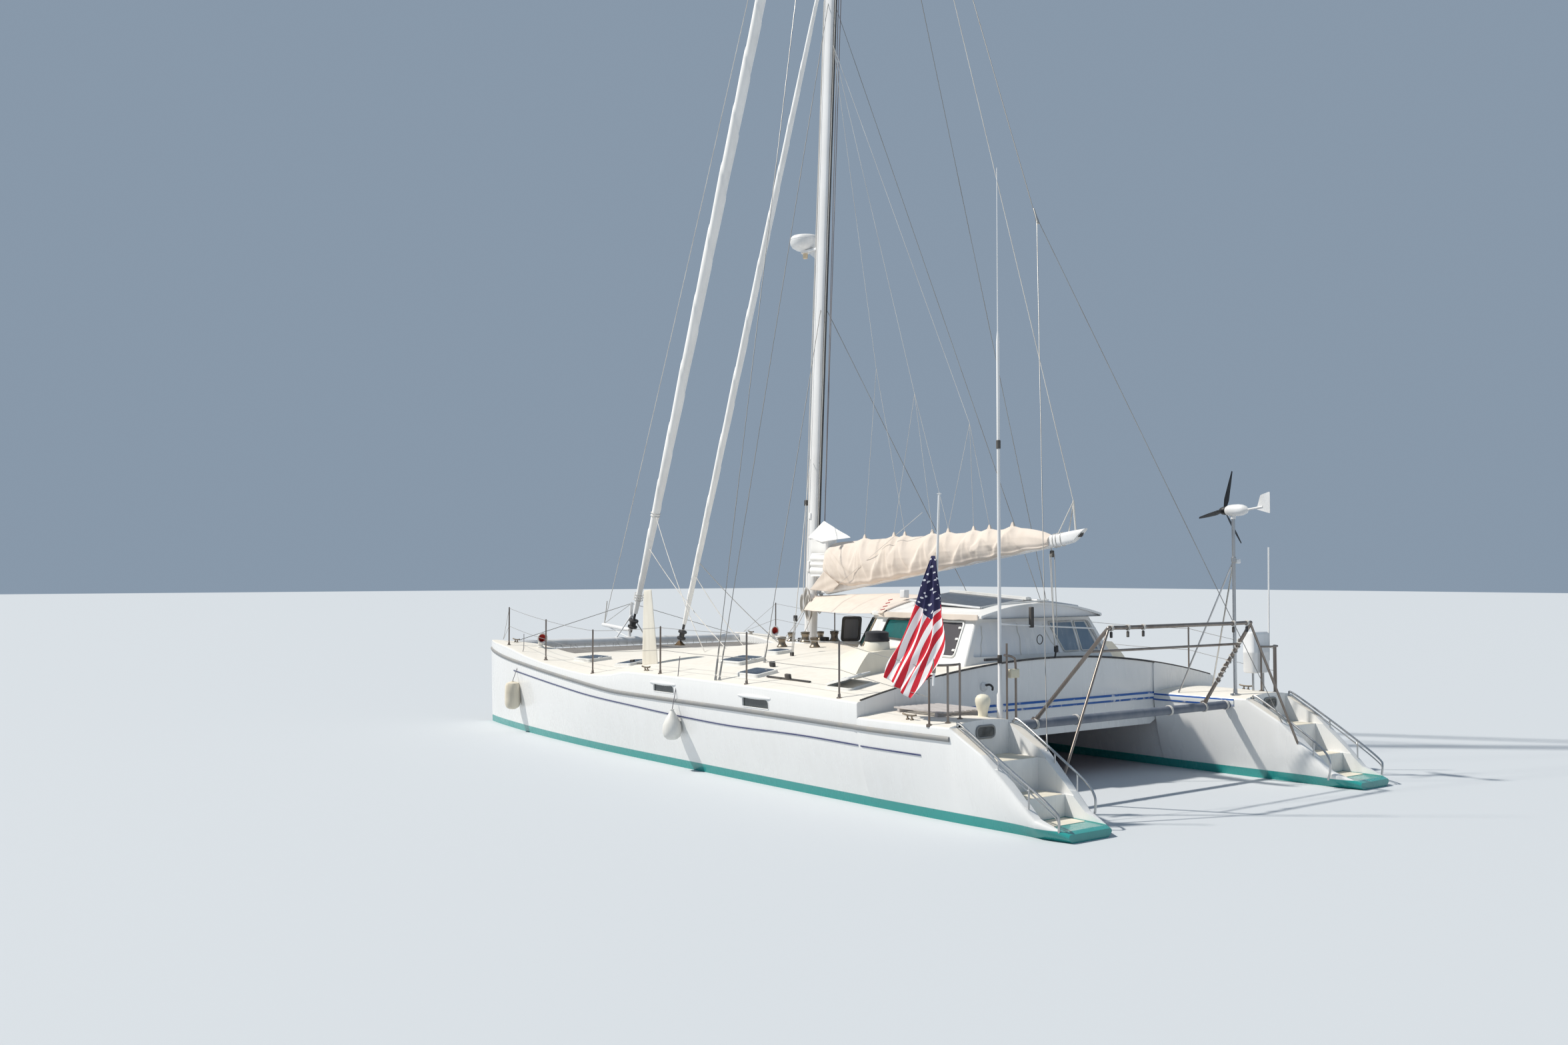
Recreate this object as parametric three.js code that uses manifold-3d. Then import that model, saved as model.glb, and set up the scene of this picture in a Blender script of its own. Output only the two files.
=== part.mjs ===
// Sailing catamaran of about 14 m, afloat with its whole hulls, sails furled and stowed.
// Millimetres. +X is towards the bows, +Y is port and +Z is up. The origin lies amidships
// on the centreline, at the waterline.

import * as THREE from 'three';
import { mergeVertices } from 'three/addons/utils/BufferGeometryUtils.js';
import Module from 'manifold-3d';

const wasm = await Module();
wasm.setup();

// Driving dimensions
const GAP = 0.4; // left between fixed pieces that touch
const SEAT = 0.3; // left at pins, shafts and pivots
const BORE_SIDES = 12;
const HULL_Y = 2733; // centreline of each hull
const STEP_X = -4220; // where the flush deck ends and the lower aft deck begins
const AFT_WALL_X = -4200;
const DECK_FRONT_X = 4600;
const MAST_FOOT = new THREE.Vector3(948, 0, 1584);
const MAST_RAKE = THREE.MathUtils.degToRad(3);
const MAST_LENGTH = 17050;
const MAST_CHORD = 250;
const MAST_WIDTH = 160;
const BEAM_X = 6560;
const BEAM_Z = 1395;
const BEAM_R = 80;
const AFT_BEAM_X = -5330;
const AFT_BEAM_Z = 950;
const AFT_BEAM_R = 55;
const SOLE_Z = 700;
const PI = Math.PI;

const FINISH = {
  gelcoat: { color: 0xf2f1ec, roughness: 0.3, metalness: 0 },
  deck: { color: 0xe9dfc6, roughness: 0.8, metalness: 0 },
  steel: { color: 0xb9bcc0, roughness: 0.25, metalness: 1 },
  alloy: { color: 0xd8dadb, roughness: 0.4, metalness: 0.8 },
  white: { color: 0xf4f4f2, roughness: 0.4, metalness: 0 },
  canvas: { color: 0xe6d6b8, roughness: 0.95, metalness: 0 },
  sail: { color: 0xf0ede4, roughness: 0.9, metalness: 0 },
  net: { color: 0x8f8b84, roughness: 0.95, metalness: 0 },
  glass: { color: 0x1f5a5a, roughness: 0.1, metalness: 0.1 },
  vinyl: { color: 0x9aa5ab, roughness: 0.5, metalness: 0 },
  black: { color: 0x1c1c1e, roughness: 0.6, metalness: 0 },
  bronze: { color: 0x8a6b3c, roughness: 0.4, metalness: 1 },
  flag: { color: 0xb02030, roughness: 0.9, metalness: 0 },
};

// Straight-line interpolation in a table whose first column falls
function between(table, x, column) {
  if (x >= table[0][0]) return table[0][column];
  for (let i = 1; i < table.length; i += 1) {
    if (x >= table[i][0]) {
      const share = (x - table[i][0]) / (table[i - 1][0] - table[i][0]);
      return table[i][column] + share * (table[i - 1][column] - table[i][column]);
    }
  }
  return table[table.length - 1][column];
}

// Solids: closed geometry in, closed geometry out

function solidOf(geometry) {
  let plain = geometry.clone();
  plain.deleteAttribute('normal');
  plain.deleteAttribute('uv');
  plain = mergeVertices(plain, 1e-3);
  return new wasm.Manifold(new wasm.Mesh({
    numProp: 3,
    vertProperties: new Float32Array(plain.attributes.position.array),
    triVerts: new Uint32Array(plain.index.array),
  }));
}

function geometryOf(solid) {
  const mesh = solid.getMesh();
  const geometry = new THREE.BufferGeometry();
  geometry.setAttribute('position', new THREE.BufferAttribute(mesh.vertProperties, 3));
  geometry.setIndex(new THREE.BufferAttribute(mesh.triVerts, 1));
  return geometry;
}

function join(...geometries) {
  return geometryOf(geometries.map(solidOf).reduce((sum, next) => sum.add(next)));
}

function cut(body, ...tools) {
  return geometryOf(tools.map(solidOf).reduce((rest, tool) => rest.subtract(tool), solidOf(body)));
}

function overlapOf(a, b) {
  return geometryOf(solidOf(a).intersect(solidOf(b)));
}

function moved(geometry, x, y, z) {
  return geometry.clone().translate(x, y, z);
}

function placed(geometry, matrix) {
  return geometry.clone().applyMatrix4(matrix);
}

// A surface through rings of points, each ring closed, with flat ends
function loft(rings) {
  const count = rings[0].length;
  const points = rings.flat();
  const faces = [];
  for (let i = 0; i + 1 < rings.length; i += 1) {
    for (let j = 0; j < count; j += 1) {
      const a = i * count + j;
      const b = i * count + ((j + 1) % count);
      faces.push(a, b, a + count, b, b + count, a + count);
    }
  }
  [0, rings.length - 1].forEach((i) => {
    const middle = rings[i].reduce((sum, p) => sum.clone().add(p)).divideScalar(count);
    const hub = points.push(middle) - 1;
    for (let j = 0; j < count; j += 1) {
      const a = i * count + j;
      const b = i * count + ((j + 1) % count);
      if (i === 0) faces.push(b, a, hub);
      else faces.push(a, b, hub);
    }
  });
  const geometry = new THREE.BufferGeometry();
  geometry.setFromPoints(points);
  geometry.setIndex(faces);
  return volumeOf(geometry) < 0 ? flipped(geometry) : geometry;
}

// A cloth under rows of points, of one thickness measured straight down
function clothOf(rows, thick) {
  const [along, across] = [rows.length, rows[0].length];
  const top = rows.flat();
  const under = top.length;
  const points = [...top, ...top.map((p) => new THREE.Vector3(p.x, p.y, p.z - thick))];
  const at = (i, j) => i * across + j;
  const faces = [];
  for (let i = 0; i + 1 < along; i += 1) {
    for (let j = 0; j + 1 < across; j += 1) {
      const [a, b, c, d] = [at(i, j), at(i + 1, j), at(i + 1, j + 1), at(i, j + 1)];
      faces.push(a, b, c, a, c, d);
      faces.push(a + under, c + under, b + under, a + under, d + under, c + under);
    }
  }
  const rim = [];
  for (let i = 0; i + 1 < along; i += 1) rim.push(at(i, 0));
  for (let j = 0; j + 1 < across; j += 1) rim.push(at(along - 1, j));
  for (let i = along - 1; i > 0; i -= 1) rim.push(at(i, across - 1));
  for (let j = across - 1; j > 0; j -= 1) rim.push(at(0, j));
  rim.forEach((p, k) => {
    const q = rim[(k + 1) % rim.length];
    faces.push(q, p, p + under, q, p + under, q + under);
  });
  const geometry = new THREE.BufferGeometry();
  geometry.setFromPoints(points);
  geometry.setIndex(faces);
  return volumeOf(geometry) < 0 ? flipped(geometry) : geometry;
}

function volumeOf(geometry) {
  const position = geometry.attributes.position;
  const index = geometry.index.array;
  const [a, b, c] = [new THREE.Vector3(), new THREE.Vector3(), new THREE.Vector3()];
  let sum = 0;
  for (let i = 0; i < index.length; i += 3) {
    a.fromBufferAttribute(position, index[i]);
    b.fromBufferAttribute(position, index[i + 1]);
    c.fromBufferAttribute(position, index[i + 2]);
    sum += a.dot(b.cross(c));
  }
  return sum / 6;
}

function flipped(geometry) {
  const result = geometry.clone();
  const index = Array.from(result.index.array);
  for (let i = 0; i < index.length; i += 3) {
    [index[i], index[i + 1]] = [index[i + 1], index[i]];
  }
  result.setIndex(index);
  return result;
}

// The same piece on the starboard side
function mirrored(geometry) {
  const plain = geometry.index ? geometry : mergeVertices(geometry, 1e-3);
  return flipped(plain.clone().scale(1, -1, 1));
}

function box(x0, x1, y0, y1, z0, z1) {
  const shape = new THREE.BoxGeometry(x1 - x0, y1 - y0, z1 - z0);
  return shape.translate((x0 + x1) / 2, (y0 + y1) / 2, (z0 + z1) / 2);
}

function circle(radius, sides) {
  const shape = new THREE.Shape();
  for (let i = 0; i < sides; i += 1) {
    const turn = (2 * PI * i) / sides;
    if (i === 0) shape.moveTo(radius, 0);
    else shape.lineTo(radius * Math.cos(turn), radius * Math.sin(turn));
  }
  shape.closePath();
  return shape;
}

// A round bar between two points, its ends of one or two radii
function rod(from, to, radius, sides = 8, endRadius = radius) {
  const start = new THREE.Vector3(...from);
  const end = new THREE.Vector3(...to);
  const way = end.clone().sub(start);
  const bar = new THREE.CylinderGeometry(endRadius, radius, way.length(), sides, 1);
  const turn = new THREE.Quaternion().setFromUnitVectors(new THREE.Vector3(0, 1, 0), way.normalize());
  return bar.applyQuaternion(turn).translate(...start.add(end).divideScalar(2).toArray());
}

// A round tube bent smoothly through points
function tube(points, radius, steps, sides = 8, tension = 0.5) {
  const path = points.map((p) => new THREE.Vector3(...p));
  const curve = new THREE.CatmullRomCurve3(path, false, 'catmullrom', tension);
  return new THREE.ExtrudeGeometry(circle(radius, sides), {
    extrudePath: curve,
    steps,
    bevelEnabled: false,
  });
}

// A turned piece about the vertical: [radius, height] from the axis round to the axis
function turned(profile, sides = 12) {
  return new THREE.LatheGeometry(profile.map(([r, z]) => new THREE.Vector2(r, z)), sides)
    .rotateX(PI / 2);
}

// A flat outline in x and z, given a thickness along y
function plateXZ(outline, y0, y1) {
  const shape = new THREE.Shape(outline.map(([x, z]) => new THREE.Vector2(x, z)));
  const slab = new THREE.ExtrudeGeometry(shape, { depth: y1 - y0, bevelEnabled: false });
  return slab.rotateX(PI / 2).translate(0, y1, 0);
}

// A flat outline in x and y, given a thickness along z
function plateXY(outline, z0, z1) {
  const shape = new THREE.Shape(outline.map(([x, y]) => new THREE.Vector2(x, y)));
  const slab = new THREE.ExtrudeGeometry(shape, { depth: z1 - z0, bevelEnabled: false });
  return slab.translate(0, 0, z0);
}

// Hull form: half beams from the hull's own centreline, heights from the waterline
const HULL = [
  // x, half beam at the deck, deck edge, half beam at the waterline, bottom
  [6850, 60, 1480, 22, -60],
  [6500, 190, 1465, 90, -250],
  [5800, 335, 1435, 190, -400],
  [4600, 470, 1300, 330, -500],
  [3300, 600, 1205, 425, -550],
  [2100, 690, 1160, 475, -580],
  [1500, 705, 1190, 485, -585],
  [900, 715, 1270, 490, -585],
  [-600, 720, 1280, 490, -570],
  [-2400, 715, 1265, 480, -520],
  [-4219, 690, 1215, 450, -420],
  [-4221, 690, 1045, 450, -420],
  [-5590, 560, 1040, 405, -255],
  [-6040, 520, 790, 375, -175],
  [-6430, 480, 450, 350, -110],
  [-6700, 450, 200, 340, -60],
  [-7060, 330, 90, 270, -10],
];
const CROWN = [
  // x, deck height on the boat's centreline
  [6850, 1500],
  [5800, 1470],
  [4600, 1345],
  [3600, 1360],
  [2750, 1435],
  [1000, 1600],
  [-4220, 1600],
];
const AFT_CROWN = 55; // how far the aft decks rise between their edges

function deckHeight(x, y) {
  const halfBeam = between(HULL, x, 1);
  const edge = between(HULL, x, 2);
  if (x < STEP_X) {
    const across = (Math.abs(y) - HULL_Y) / halfBeam;
    return x < -5600 ? edge : edge + AFT_CROWN * (1 - across * across);
  }
  const crown = between(CROWN, x, 1);
  const share = Math.abs(y) / (HULL_Y + halfBeam);
  return crown - (crown - edge) * share * share;
}

// One cross-section of the port hull, grown outwards by a margin
function hullRing(station, grow) {
  const [x, deckHalf, , waterHalf, bottom] = station;
  const ring = [];
  const side = (way, level) => {
    const top = deckHeight(x, HULL_Y + way * deckHalf);
    const reach = waterHalf + (deckHalf - waterHalf) * Math.sin((PI / 2) * level);
    ring.push(new THREE.Vector3(x, HULL_Y + way * (reach + grow), top * level));
  };
  const bilge = (way, angle) => ring.push(new THREE.Vector3(
    x,
    HULL_Y + way * (waterHalf + grow) * Math.cos(angle),
    (bottom - grow) * Math.sin(angle),
  ));
  [1, 0.5, 0, -0.5, -1].forEach((share) => ring.push(new THREE.Vector3(
    x,
    HULL_Y + share * (deckHalf + grow),
    deckHeight(x, HULL_Y + share * deckHalf) + grow,
  )));
  [0.75, 0.5, 0.25, 0].forEach((level) => side(-1, level));
  [PI / 6, PI / 3].forEach((angle) => bilge(-1, angle));
  bilge(1, PI / 2);
  [PI / 3, PI / 6].forEach((angle) => bilge(1, angle));
  [0, 0.25, 0.5, 0.75].forEach((level) => side(1, level));
  return ring;
}

function hullBody(grow) {
  return loft(HULL.map((station) => hullRing(station, grow)));
}

// Stern steps cut between the sloping side walls
const STEPS = [
  // forward end, tread height, half width
  [-5590, 700, 370],
  [-6040, 350, 355],
  [-6430, 110, 340],
];

function sternSteps() {
  return STEPS.map(([x, z, half]) => box(-7400, x, HULL_Y - half, HULL_Y + half, z, 1400));
}

// Daggerboards: a tapered board in a slot that leans a little forward
const BOARD = {
  x: 1150, y: 2900, z: 1280, chord: 440, topChord: 215, thick: 60, top: 1180, foot: -1780, play: 1.4,
};
const BOARD_LEAN = THREE.MathUtils.degToRad(4);

function boardRing(chord, thick, z) {
  const sides = 12;
  return Array.from({ length: sides }, (_, i) => {
    const turn = (2 * PI * (i + 0.5)) / sides;
    return new THREE.Vector3((chord / 2) * Math.cos(turn), (thick / 2) * Math.sin(turn), z);
  });
}

function leaned(geometry) {
  return geometry.rotateY(BOARD_LEAN).translate(BOARD.x, BOARD.y, BOARD.z);
}

function daggerboard() {
  return leaned(loft([
    boardRing(BOARD.chord * 0.8, BOARD.thick, BOARD.foot),
    boardRing(BOARD.chord, BOARD.thick, BOARD.foot + 120),
    boardRing(BOARD.chord, BOARD.thick, 100),
    boardRing(BOARD.topChord, BOARD.thick * 0.8, BOARD.top),
  ]));
}

function boardSlot() {
  const chord = BOARD.chord + BOARD.play;
  const thick = BOARD.thick + BOARD.play;
  return leaned(loft([boardRing(chord, thick, -2600), boardRing(chord, thick, 600)]));
}

// A round hole's radius, so that its flats clear a turning shaft
function boreRadius(shaft) {
  return (shaft + SEAT) / Math.cos(PI / BORE_SIDES);
}

// Rudders, saildrives and propellers under each hull
const RUDDER = { x: -5760, chord: 420, thick: 50, top: -285, foot: -1150, stock: 24, stockTop: 60 };
const DRIVE = { x: -4020, z: -800, hub: 48, nose: 150, length: 320 };
const PROP = { x: -4236, hubLength: 120 };

function rudder() {
  const blade = (z, chord, shift) => [
    new THREE.Vector3(RUDDER.x + chord * 0.25 + shift, HULL_Y, z),
    new THREE.Vector3(RUDDER.x + chord * 0.05 + shift, HULL_Y + RUDDER.thick / 2, z),
    new THREE.Vector3(RUDDER.x - chord * 0.25 + shift, HULL_Y + RUDDER.thick / 2.6, z),
    new THREE.Vector3(RUDDER.x - chord * 0.75 + shift, HULL_Y + 4, z),
    new THREE.Vector3(RUDDER.x - chord * 0.75 + shift, HULL_Y - 4, z),
    new THREE.Vector3(RUDDER.x - chord * 0.25 + shift, HULL_Y - RUDDER.thick / 2.6, z),
    new THREE.Vector3(RUDDER.x + chord * 0.05 + shift, HULL_Y - RUDDER.thick / 2, z),
  ];
  const fin = loft([
    blade(RUDDER.foot, RUDDER.chord * 0.75, -10),
    blade(RUDDER.foot + 100, RUDDER.chord * 0.9, 0),
    blade(RUDDER.top, RUDDER.chord, 0),
  ]);
  const { x, top, stock, stockTop } = RUDDER;
  return join(fin, rod([x, HULL_Y, top - 35], [x, HULL_Y, stockTop], stock, BORE_SIDES));
}

function rudderTube() {
  const { x, stock, stockTop } = RUDDER;
  return rod([x, HULL_Y, -500], [x, HULL_Y, stockTop + SEAT], boreRadius(stock), BORE_SIDES);
}

function saildrive(hullSkin) {
  const leg = (z, chord, thick) => [
    new THREE.Vector3(DRIVE.x + chord / 2, HULL_Y, z),
    new THREE.Vector3(DRIVE.x, HULL_Y + thick / 2, z),
    new THREE.Vector3(DRIVE.x - chord / 2, HULL_Y, z),
    new THREE.Vector3(DRIVE.x, HULL_Y - thick / 2, z),
  ];
  const strut = loft([leg(DRIVE.z, 190, 60), leg(-520, 230, 80), leg(-380, 280, 100)]);
  const { x, z, hub, nose, length } = DRIVE;
  const pod = turned([[0, 0], [hub * 0.6, 25], [hub, 90], [hub, length], [0, length]])
    .rotateY(-PI / 2).translate(x + nose, HULL_Y, z);
  return cut(join(strut, pod), hullSkin);
}

function propeller() {
  const length = PROP.hubLength;
  const hub = turned([[0, 0], [22, 20], [40, 60], [44, length], [0, length]])
    .rotateY(PI / 2).translate(DRIVE.x + DRIVE.nose - DRIVE.length - SEAT - length, 0, 0);
  const blades = [0, 1, 2].map((i) => {
    const blade = new THREE.BoxGeometry(16, 90, 170);
    blade.rotateZ(0.5).translate(PROP.x, 0, 120);
    return blade.rotateX((2 * PI * i) / 3);
  });
  return moved(join(hub, ...blades), 0, HULL_Y, DRIVE.z);
}

// Deck hatches: a raised frame on the deck and a lid hinged at its forward edge
const HATCH = [
  // name, centre x, centre y, length, width, opening at rest in degrees
  ['hatch_fore_port', 3500, 2560, 560, 440, 0],
  ['hatch_fore_starboard', 3500, -2560, 560, 440, 0],
  ['hatch_mid_port', -480, 2380, 560, 480, 0],
  ['hatch_mid_starboard', -480, -2380, 560, 480, 0],
  ['hatch_aft_port', -3500, 2920, 470, 400, 14],
  ['hatch_mast', 100, -305, 400, 400, 84],
];
const FRAME_HEIGHT = 22;
const FRAME_WIDTH = 35;
const LID_THICK = 32;

// Where a hatch lies: its own x forward, y to port and z out of the deck
function hatchPlace(x, y) {
  const step = 20;
  const along = (deckHeight(x + step, y) - deckHeight(x - step, y)) / (2 * step);
  const across = (deckHeight(x, y + step) - deckHeight(x, y - step)) / (2 * step);
  const forward = new THREE.Vector3(1, 0, along).normalize();
  const up = new THREE.Vector3(-along, -across, 1).normalize();
  const port = up.clone().cross(forward);
  const matrix = new THREE.Matrix4().makeBasis(forward, port, up);
  return matrix.setPosition(x, y, deckHeight(x, y) + 4);
}

function hatchFrame([, x, y, length, width]) {
  const l = length / 2;
  const w = width / 2;
  const rim = cut(
    box(-l, l, -w, w, -60, FRAME_HEIGHT),
    box(-l + FRAME_WIDTH, l - FRAME_WIDTH, -w + FRAME_WIDTH, w - FRAME_WIDTH, 4, 60),
  );
  return placed(rim, hatchPlace(x, y));
}

function hatchLid([, x, y, length, width, opening]) {
  const l = length / 2;
  const w = width / 2;
  const seat = FRAME_HEIGHT + GAP;
  const lid = join(
    box(-l, l, -w, w, seat, seat + LID_THICK - 10),
    box(-l + 40, l - 40, -w + 40, w - 40, seat + 5, seat + LID_THICK),
  );
  lid.translate(-l, 0, -seat).rotateY(THREE.MathUtils.degToRad(opening)).translate(l, 0, seat);
  return placed(lid, hatchPlace(x, y));
}

// Pilothouse outline: [x, half width] forward to aft, at the deck and under the roof
const HOUSE_LOW = { z: 1550, plan: [[-760, 500], [-1670, 1220], [-4000, 1460]] };
const HOUSE_TOP = { z: 2120, plan: [[-1180, 480], [-1930, 1080], [-3860, 1110]] };
const HOUSE_WALL = 45;

function houseRing(z, inset) {
  const share = (z - HOUSE_LOW.z) / (HOUSE_TOP.z - HOUSE_LOW.z);
  const half = HOUSE_LOW.plan.map(([x, y], i) => {
    const [topX, topY] = HOUSE_TOP.plan[i];
    const px = x + share * (topX - x);
    const py = y + share * (topY - y);
    const shiftX = [-inset, -inset * 0.55, inset][i];
    return [px + shiftX, py - inset * [0.45, 0.95, 1][i]];
  });
  const port = half.map(([x, y]) => new THREE.Vector3(x, y, z));
  const starboard = half.map(([x, y]) => new THREE.Vector3(x, -y, z)).reverse();
  return [...port, ...starboard];
}

function houseCore(inset) {
  return loft([houseRing(1300, inset), houseRing(2300, inset)]);
}

// Window holes: side lights in x and z, front lights in y and z on their own faces
const SIDE_LIGHTS = [
  [[-2080, 1830], [-2160, 2080], [-2820, 2080], [-2820, 1800]],
  [[-2950, 1640], [-2950, 2080], [-3690, 2080], [-3745, 1640]],
];

function frontLight(x, y, aim, halfWidth, low, high) {
  const pane = box(-500, 300, -halfWidth, halfWidth, low, high);
  return pane.rotateZ(aim).translate(x, y, 0);
}

function houseShell(deckSkin) {
  const walls = overlapOf(houseCore(0), box(-4500, 0, -2000, 2000, 1320, HOUSE_TOP.z));
  const shell = cut(walls, houseCore(HOUSE_WALL), deckSkin);
  const lights = SIDE_LIGHTS.map((outline) => plateXZ(outline, -2000, 2000));
  const quarter = Math.atan2(910, 720);
  const corners = [1, -1].map((side) => frontLight(-1390, side * 800, side * quarter, 400, 1665, 2060));
  const front = frontLight(-900, 0, 0, 400, 1665, 2060);
  const doorway = [[-1290, 1640], [1290, 1640], [1060, 2070], [-1060, 2070]];
  const back = loft([-4200, -3700].map((x) => doorway.map(([y, z]) => new THREE.Vector3(x, y, z))));
  return cut(shell, ...lights, ...corners, front, back);
}

// A thin skin just inside the house walls, glass forward and clear cloth aft
function houseSkin(thick, low, high, x0, x1) {
  const skin = cut(houseCore(HOUSE_WALL + GAP), houseCore(HOUSE_WALL + GAP + thick));
  return overlapOf(skin, box(x0, x1, -2000, 2000, low, high));
}

// Roof of the pilothouse, crowned across and a little along
const ROOF = [
  // x, half width, edge height, middle height
  [-1060, 500, 2200, 2330],
  [-1500, 830, 2180, 2360],
  [-1950, 1130, 2168, 2372],
  [-3000, 1150, 2168, 2360],
  [-4020, 1170, 2162, 2312],
];

function roofTop() {
  return loft(ROOF.map(([x, half, edge, middle]) => {
    const ring = [[-half, 2120 + GAP], [half, 2120 + GAP]];
    [1, 0.66, 0.33, 0, -0.33, -0.66, -1].forEach((share) => {
      ring.push([share * half, edge + (middle - edge) * (1 - share * share)]);
    });
    return ring.map(([y, z]) => new THREE.Vector3(x, y, z));
  }));
}

function solarPanels(roof) {
  const half = (side) => {
    const corners = [[-2350, 60, 2445], [-2350, 860, 2352], [-3700, 860, 2272], [-3700, 60, 2362]];
    const low = corners.map(([x, y, z]) => new THREE.Vector3(x, side * y, z - 28));
    const high = corners.map(([x, y, z]) => new THREE.Vector3(x, side * y, z));
    return loft([low, high]);
  };
  const feet = [[-2400, 120, 2422], [-2400, 800, 2345], [-3650, 120, 2345], [-3650, 800, 2268]];
  const leg = (x, y, z) => rod([x, y, 2200], [x, y, z], 14, 6);
  const legs = feet.flatMap(([x, y, z]) => [leg(x, y, z), leg(x, -y, z)]);
  const ties = [box(-3600, -3560, -90, 90, 2335, 2355), box(-2500, -2460, -90, 90, 2400, 2425)];
  return cut(join(half(1), half(-1), ...ties, ...legs), moved(roof, 0, 0, GAP));
}

// Bridgedeck between the hulls, with the sole of the pilothouse sunk in it
const UNDERSIDE = [
  // x, height of the underside
  [4600, 1170],
  [3300, 900],
  [2100, 700],
  [1500, 640],
  [-4200, 610],
];

function bridgeRing(x) {
  const inner = HULL_Y - between(HULL, x, 1);
  const low = between(UNDERSIDE, x, 1);
  const high = deckHeight(x, inner);
  const ring = [];
  [1, 0.66, 0.33, 0, -0.33, -0.66, -1].forEach((share) => {
    const y = share * (inner - 2);
    ring.push(new THREE.Vector3(x, y, deckHeight(x, y)));
  });
  ring.push(new THREE.Vector3(x, -(inner - 2), high - 4));
  ring.push(new THREE.Vector3(x, -(inner + 150), high - 160));
  ring.push(new THREE.Vector3(x, -(inner + 200), low));
  ring.push(new THREE.Vector3(x, inner + 200, low));
  ring.push(new THREE.Vector3(x, inner + 150, high - 160));
  ring.push(new THREE.Vector3(x, inner - 2, high - 4));
  return ring;
}

const BRIDGE_STATIONS = [4600, 3600, 3300, 2750, 2100, 1500, 1000, 900, -600, -2400, AFT_WALL_X];

function bridgeRaw() {
  return loft(BRIDGE_STATIONS.map(bridgeRing));
}

// Everything below the raised middle deck, used to seat what stands on it
function deckSkin(raise) {
  const ring = (x) => {
    const inner = HULL_Y - between(HULL, x, 1);
    const top = [1, 0.66, 0.33, 0, -0.33, -0.66, -1].map((share) => {
      const y = share * (inner - 2);
      return new THREE.Vector3(x, y, deckHeight(x, y) + raise);
    });
    return [...top, new THREE.Vector3(x, -(inner - 2), -200), new THREE.Vector3(x, inner - 2, -200)];
  };
  return loft(BRIDGE_STATIONS.map(ring));
}

function cockpitWell() {
  const plan = [[-1020, 400], [-1780, 1060], [-3860, 1300]];
  return plateXY([...plan, ...plan.map(([x, y]) => [x, -y]).reverse()], SOLE_Z, 2000);
}

// Winch: a drum on a foot
function winch(x, y, z, radius, height) {
  const r = radius;
  return moved(turned([
    [0, -60], [r * 1.25, -60], [r * 1.25, 12], [r, 25], [r * 0.8, height * 0.5], [r, height * 0.8],
    [r * 1.1, height * 0.9], [r * 1.1, height], [0, height],
  ], 12), x, y, z);
}

// Mast frame: heights along the mast from its foot, then raked aft
function raked(geometry) {
  return geometry.rotateY(-MAST_RAKE).translate(MAST_FOOT.x, MAST_FOOT.y, MAST_FOOT.z);
}

function mastPoint(x, y, height) {
  return new THREE.Vector3(x, y, height).applyAxisAngle(new THREE.Vector3(0, 1, 0), -MAST_RAKE)
    .add(MAST_FOOT).toArray();
}

function mastRing(height, chord, width) {
  const sides = 14;
  return Array.from({ length: sides }, (_, i) => {
    const turn = (2 * PI * i) / sides;
    return new THREE.Vector3((chord / 2) * Math.cos(turn), (width / 2) * Math.sin(turn), height);
  });
}

const GOOSE = { x: -255, z: 860, pin: 11 }; // boom pivot in the mast frame
const BOOM_END = [-4680, 0, 3200];
const TAPER_START = 14500;
const TAPER = 0.7; // the mast's section at the top, as a share of that below

// The mast's section all the way up, grown outwards by a margin
function mastPole(grow, foot, top) {
  return raked(loft([
    mastRing(foot, MAST_CHORD + 2 * grow, MAST_WIDTH + 2 * grow),
    mastRing(TAPER_START, MAST_CHORD + 2 * grow, MAST_WIDTH + 2 * grow),
    mastRing(top, MAST_CHORD * TAPER + 2 * grow, MAST_WIDTH * TAPER + 2 * grow),
  ]));
}

function mastCrane(grow) {
  const low = MAST_LENGTH - 10 - grow;
  return raked(box(-230 - grow, 200 + grow, -45 - grow, 45 + grow, low, MAST_LENGTH + 40 + grow));
}

function mast(deck) {
  const lugs = [-52, 40].map((shift) => raked(box(
    GOOSE.x - 32, -MAST_CHORD / 2 + 30, -32, 32, GOOSE.z + shift, GOOSE.z + shift + 12,
  )));
  const pin = raked(rod([GOOSE.x, 0, GOOSE.z - 46], [GOOSE.x, 0, GOOSE.z + 46], GOOSE.pin, BORE_SIDES));
  return cut(join(mastPole(0, -80, MAST_LENGTH), ...lugs, pin, mastCrane(0)), deck);
}

// The spar itself, grown outwards by a margin
function boomSpar(grow) {
  const pivot = new THREE.Vector3(...mastPoint(GOOSE.x, 0, GOOSE.z));
  const way = new THREE.Vector3(...BOOM_END).sub(pivot);
  const ring = (share, width, depth) => {
    const middle = pivot.clone().addScaledVector(way, share);
    const sides = 12;
    return Array.from({ length: sides }, (_, i) => {
      const turn = (2 * PI * (i + 0.5)) / sides;
      return new THREE.Vector3(
        middle.x + (depth / 2 + grow) * Math.sin(turn) * 0.138,
        (width / 2 + grow) * Math.cos(turn),
        middle.z + (depth / 2 + grow) * Math.sin(turn),
      );
    });
  };
  return loft([ring(0.018, 90, 110), ring(0.03, 120, 165), ring(0.985, 120, 165), ring(1, 105, 150)]);
}

function boom() {
  const eye = raked(cut(
    join(
      rod([GOOSE.x, 0, GOOSE.z - 34], [GOOSE.x, 0, GOOSE.z + 34], 30, 12),
      box(GOOSE.x - 130, GOOSE.x, -26, 26, GOOSE.z - 30, GOOSE.z + 30),
    ),
    rod([GOOSE.x, 0, GOOSE.z - 60], [GOOSE.x, 0, GOOSE.z + 60], boreRadius(GOOSE.pin), BORE_SIDES),
  ));
  return join(eye, boomSpar(0));
}

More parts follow.
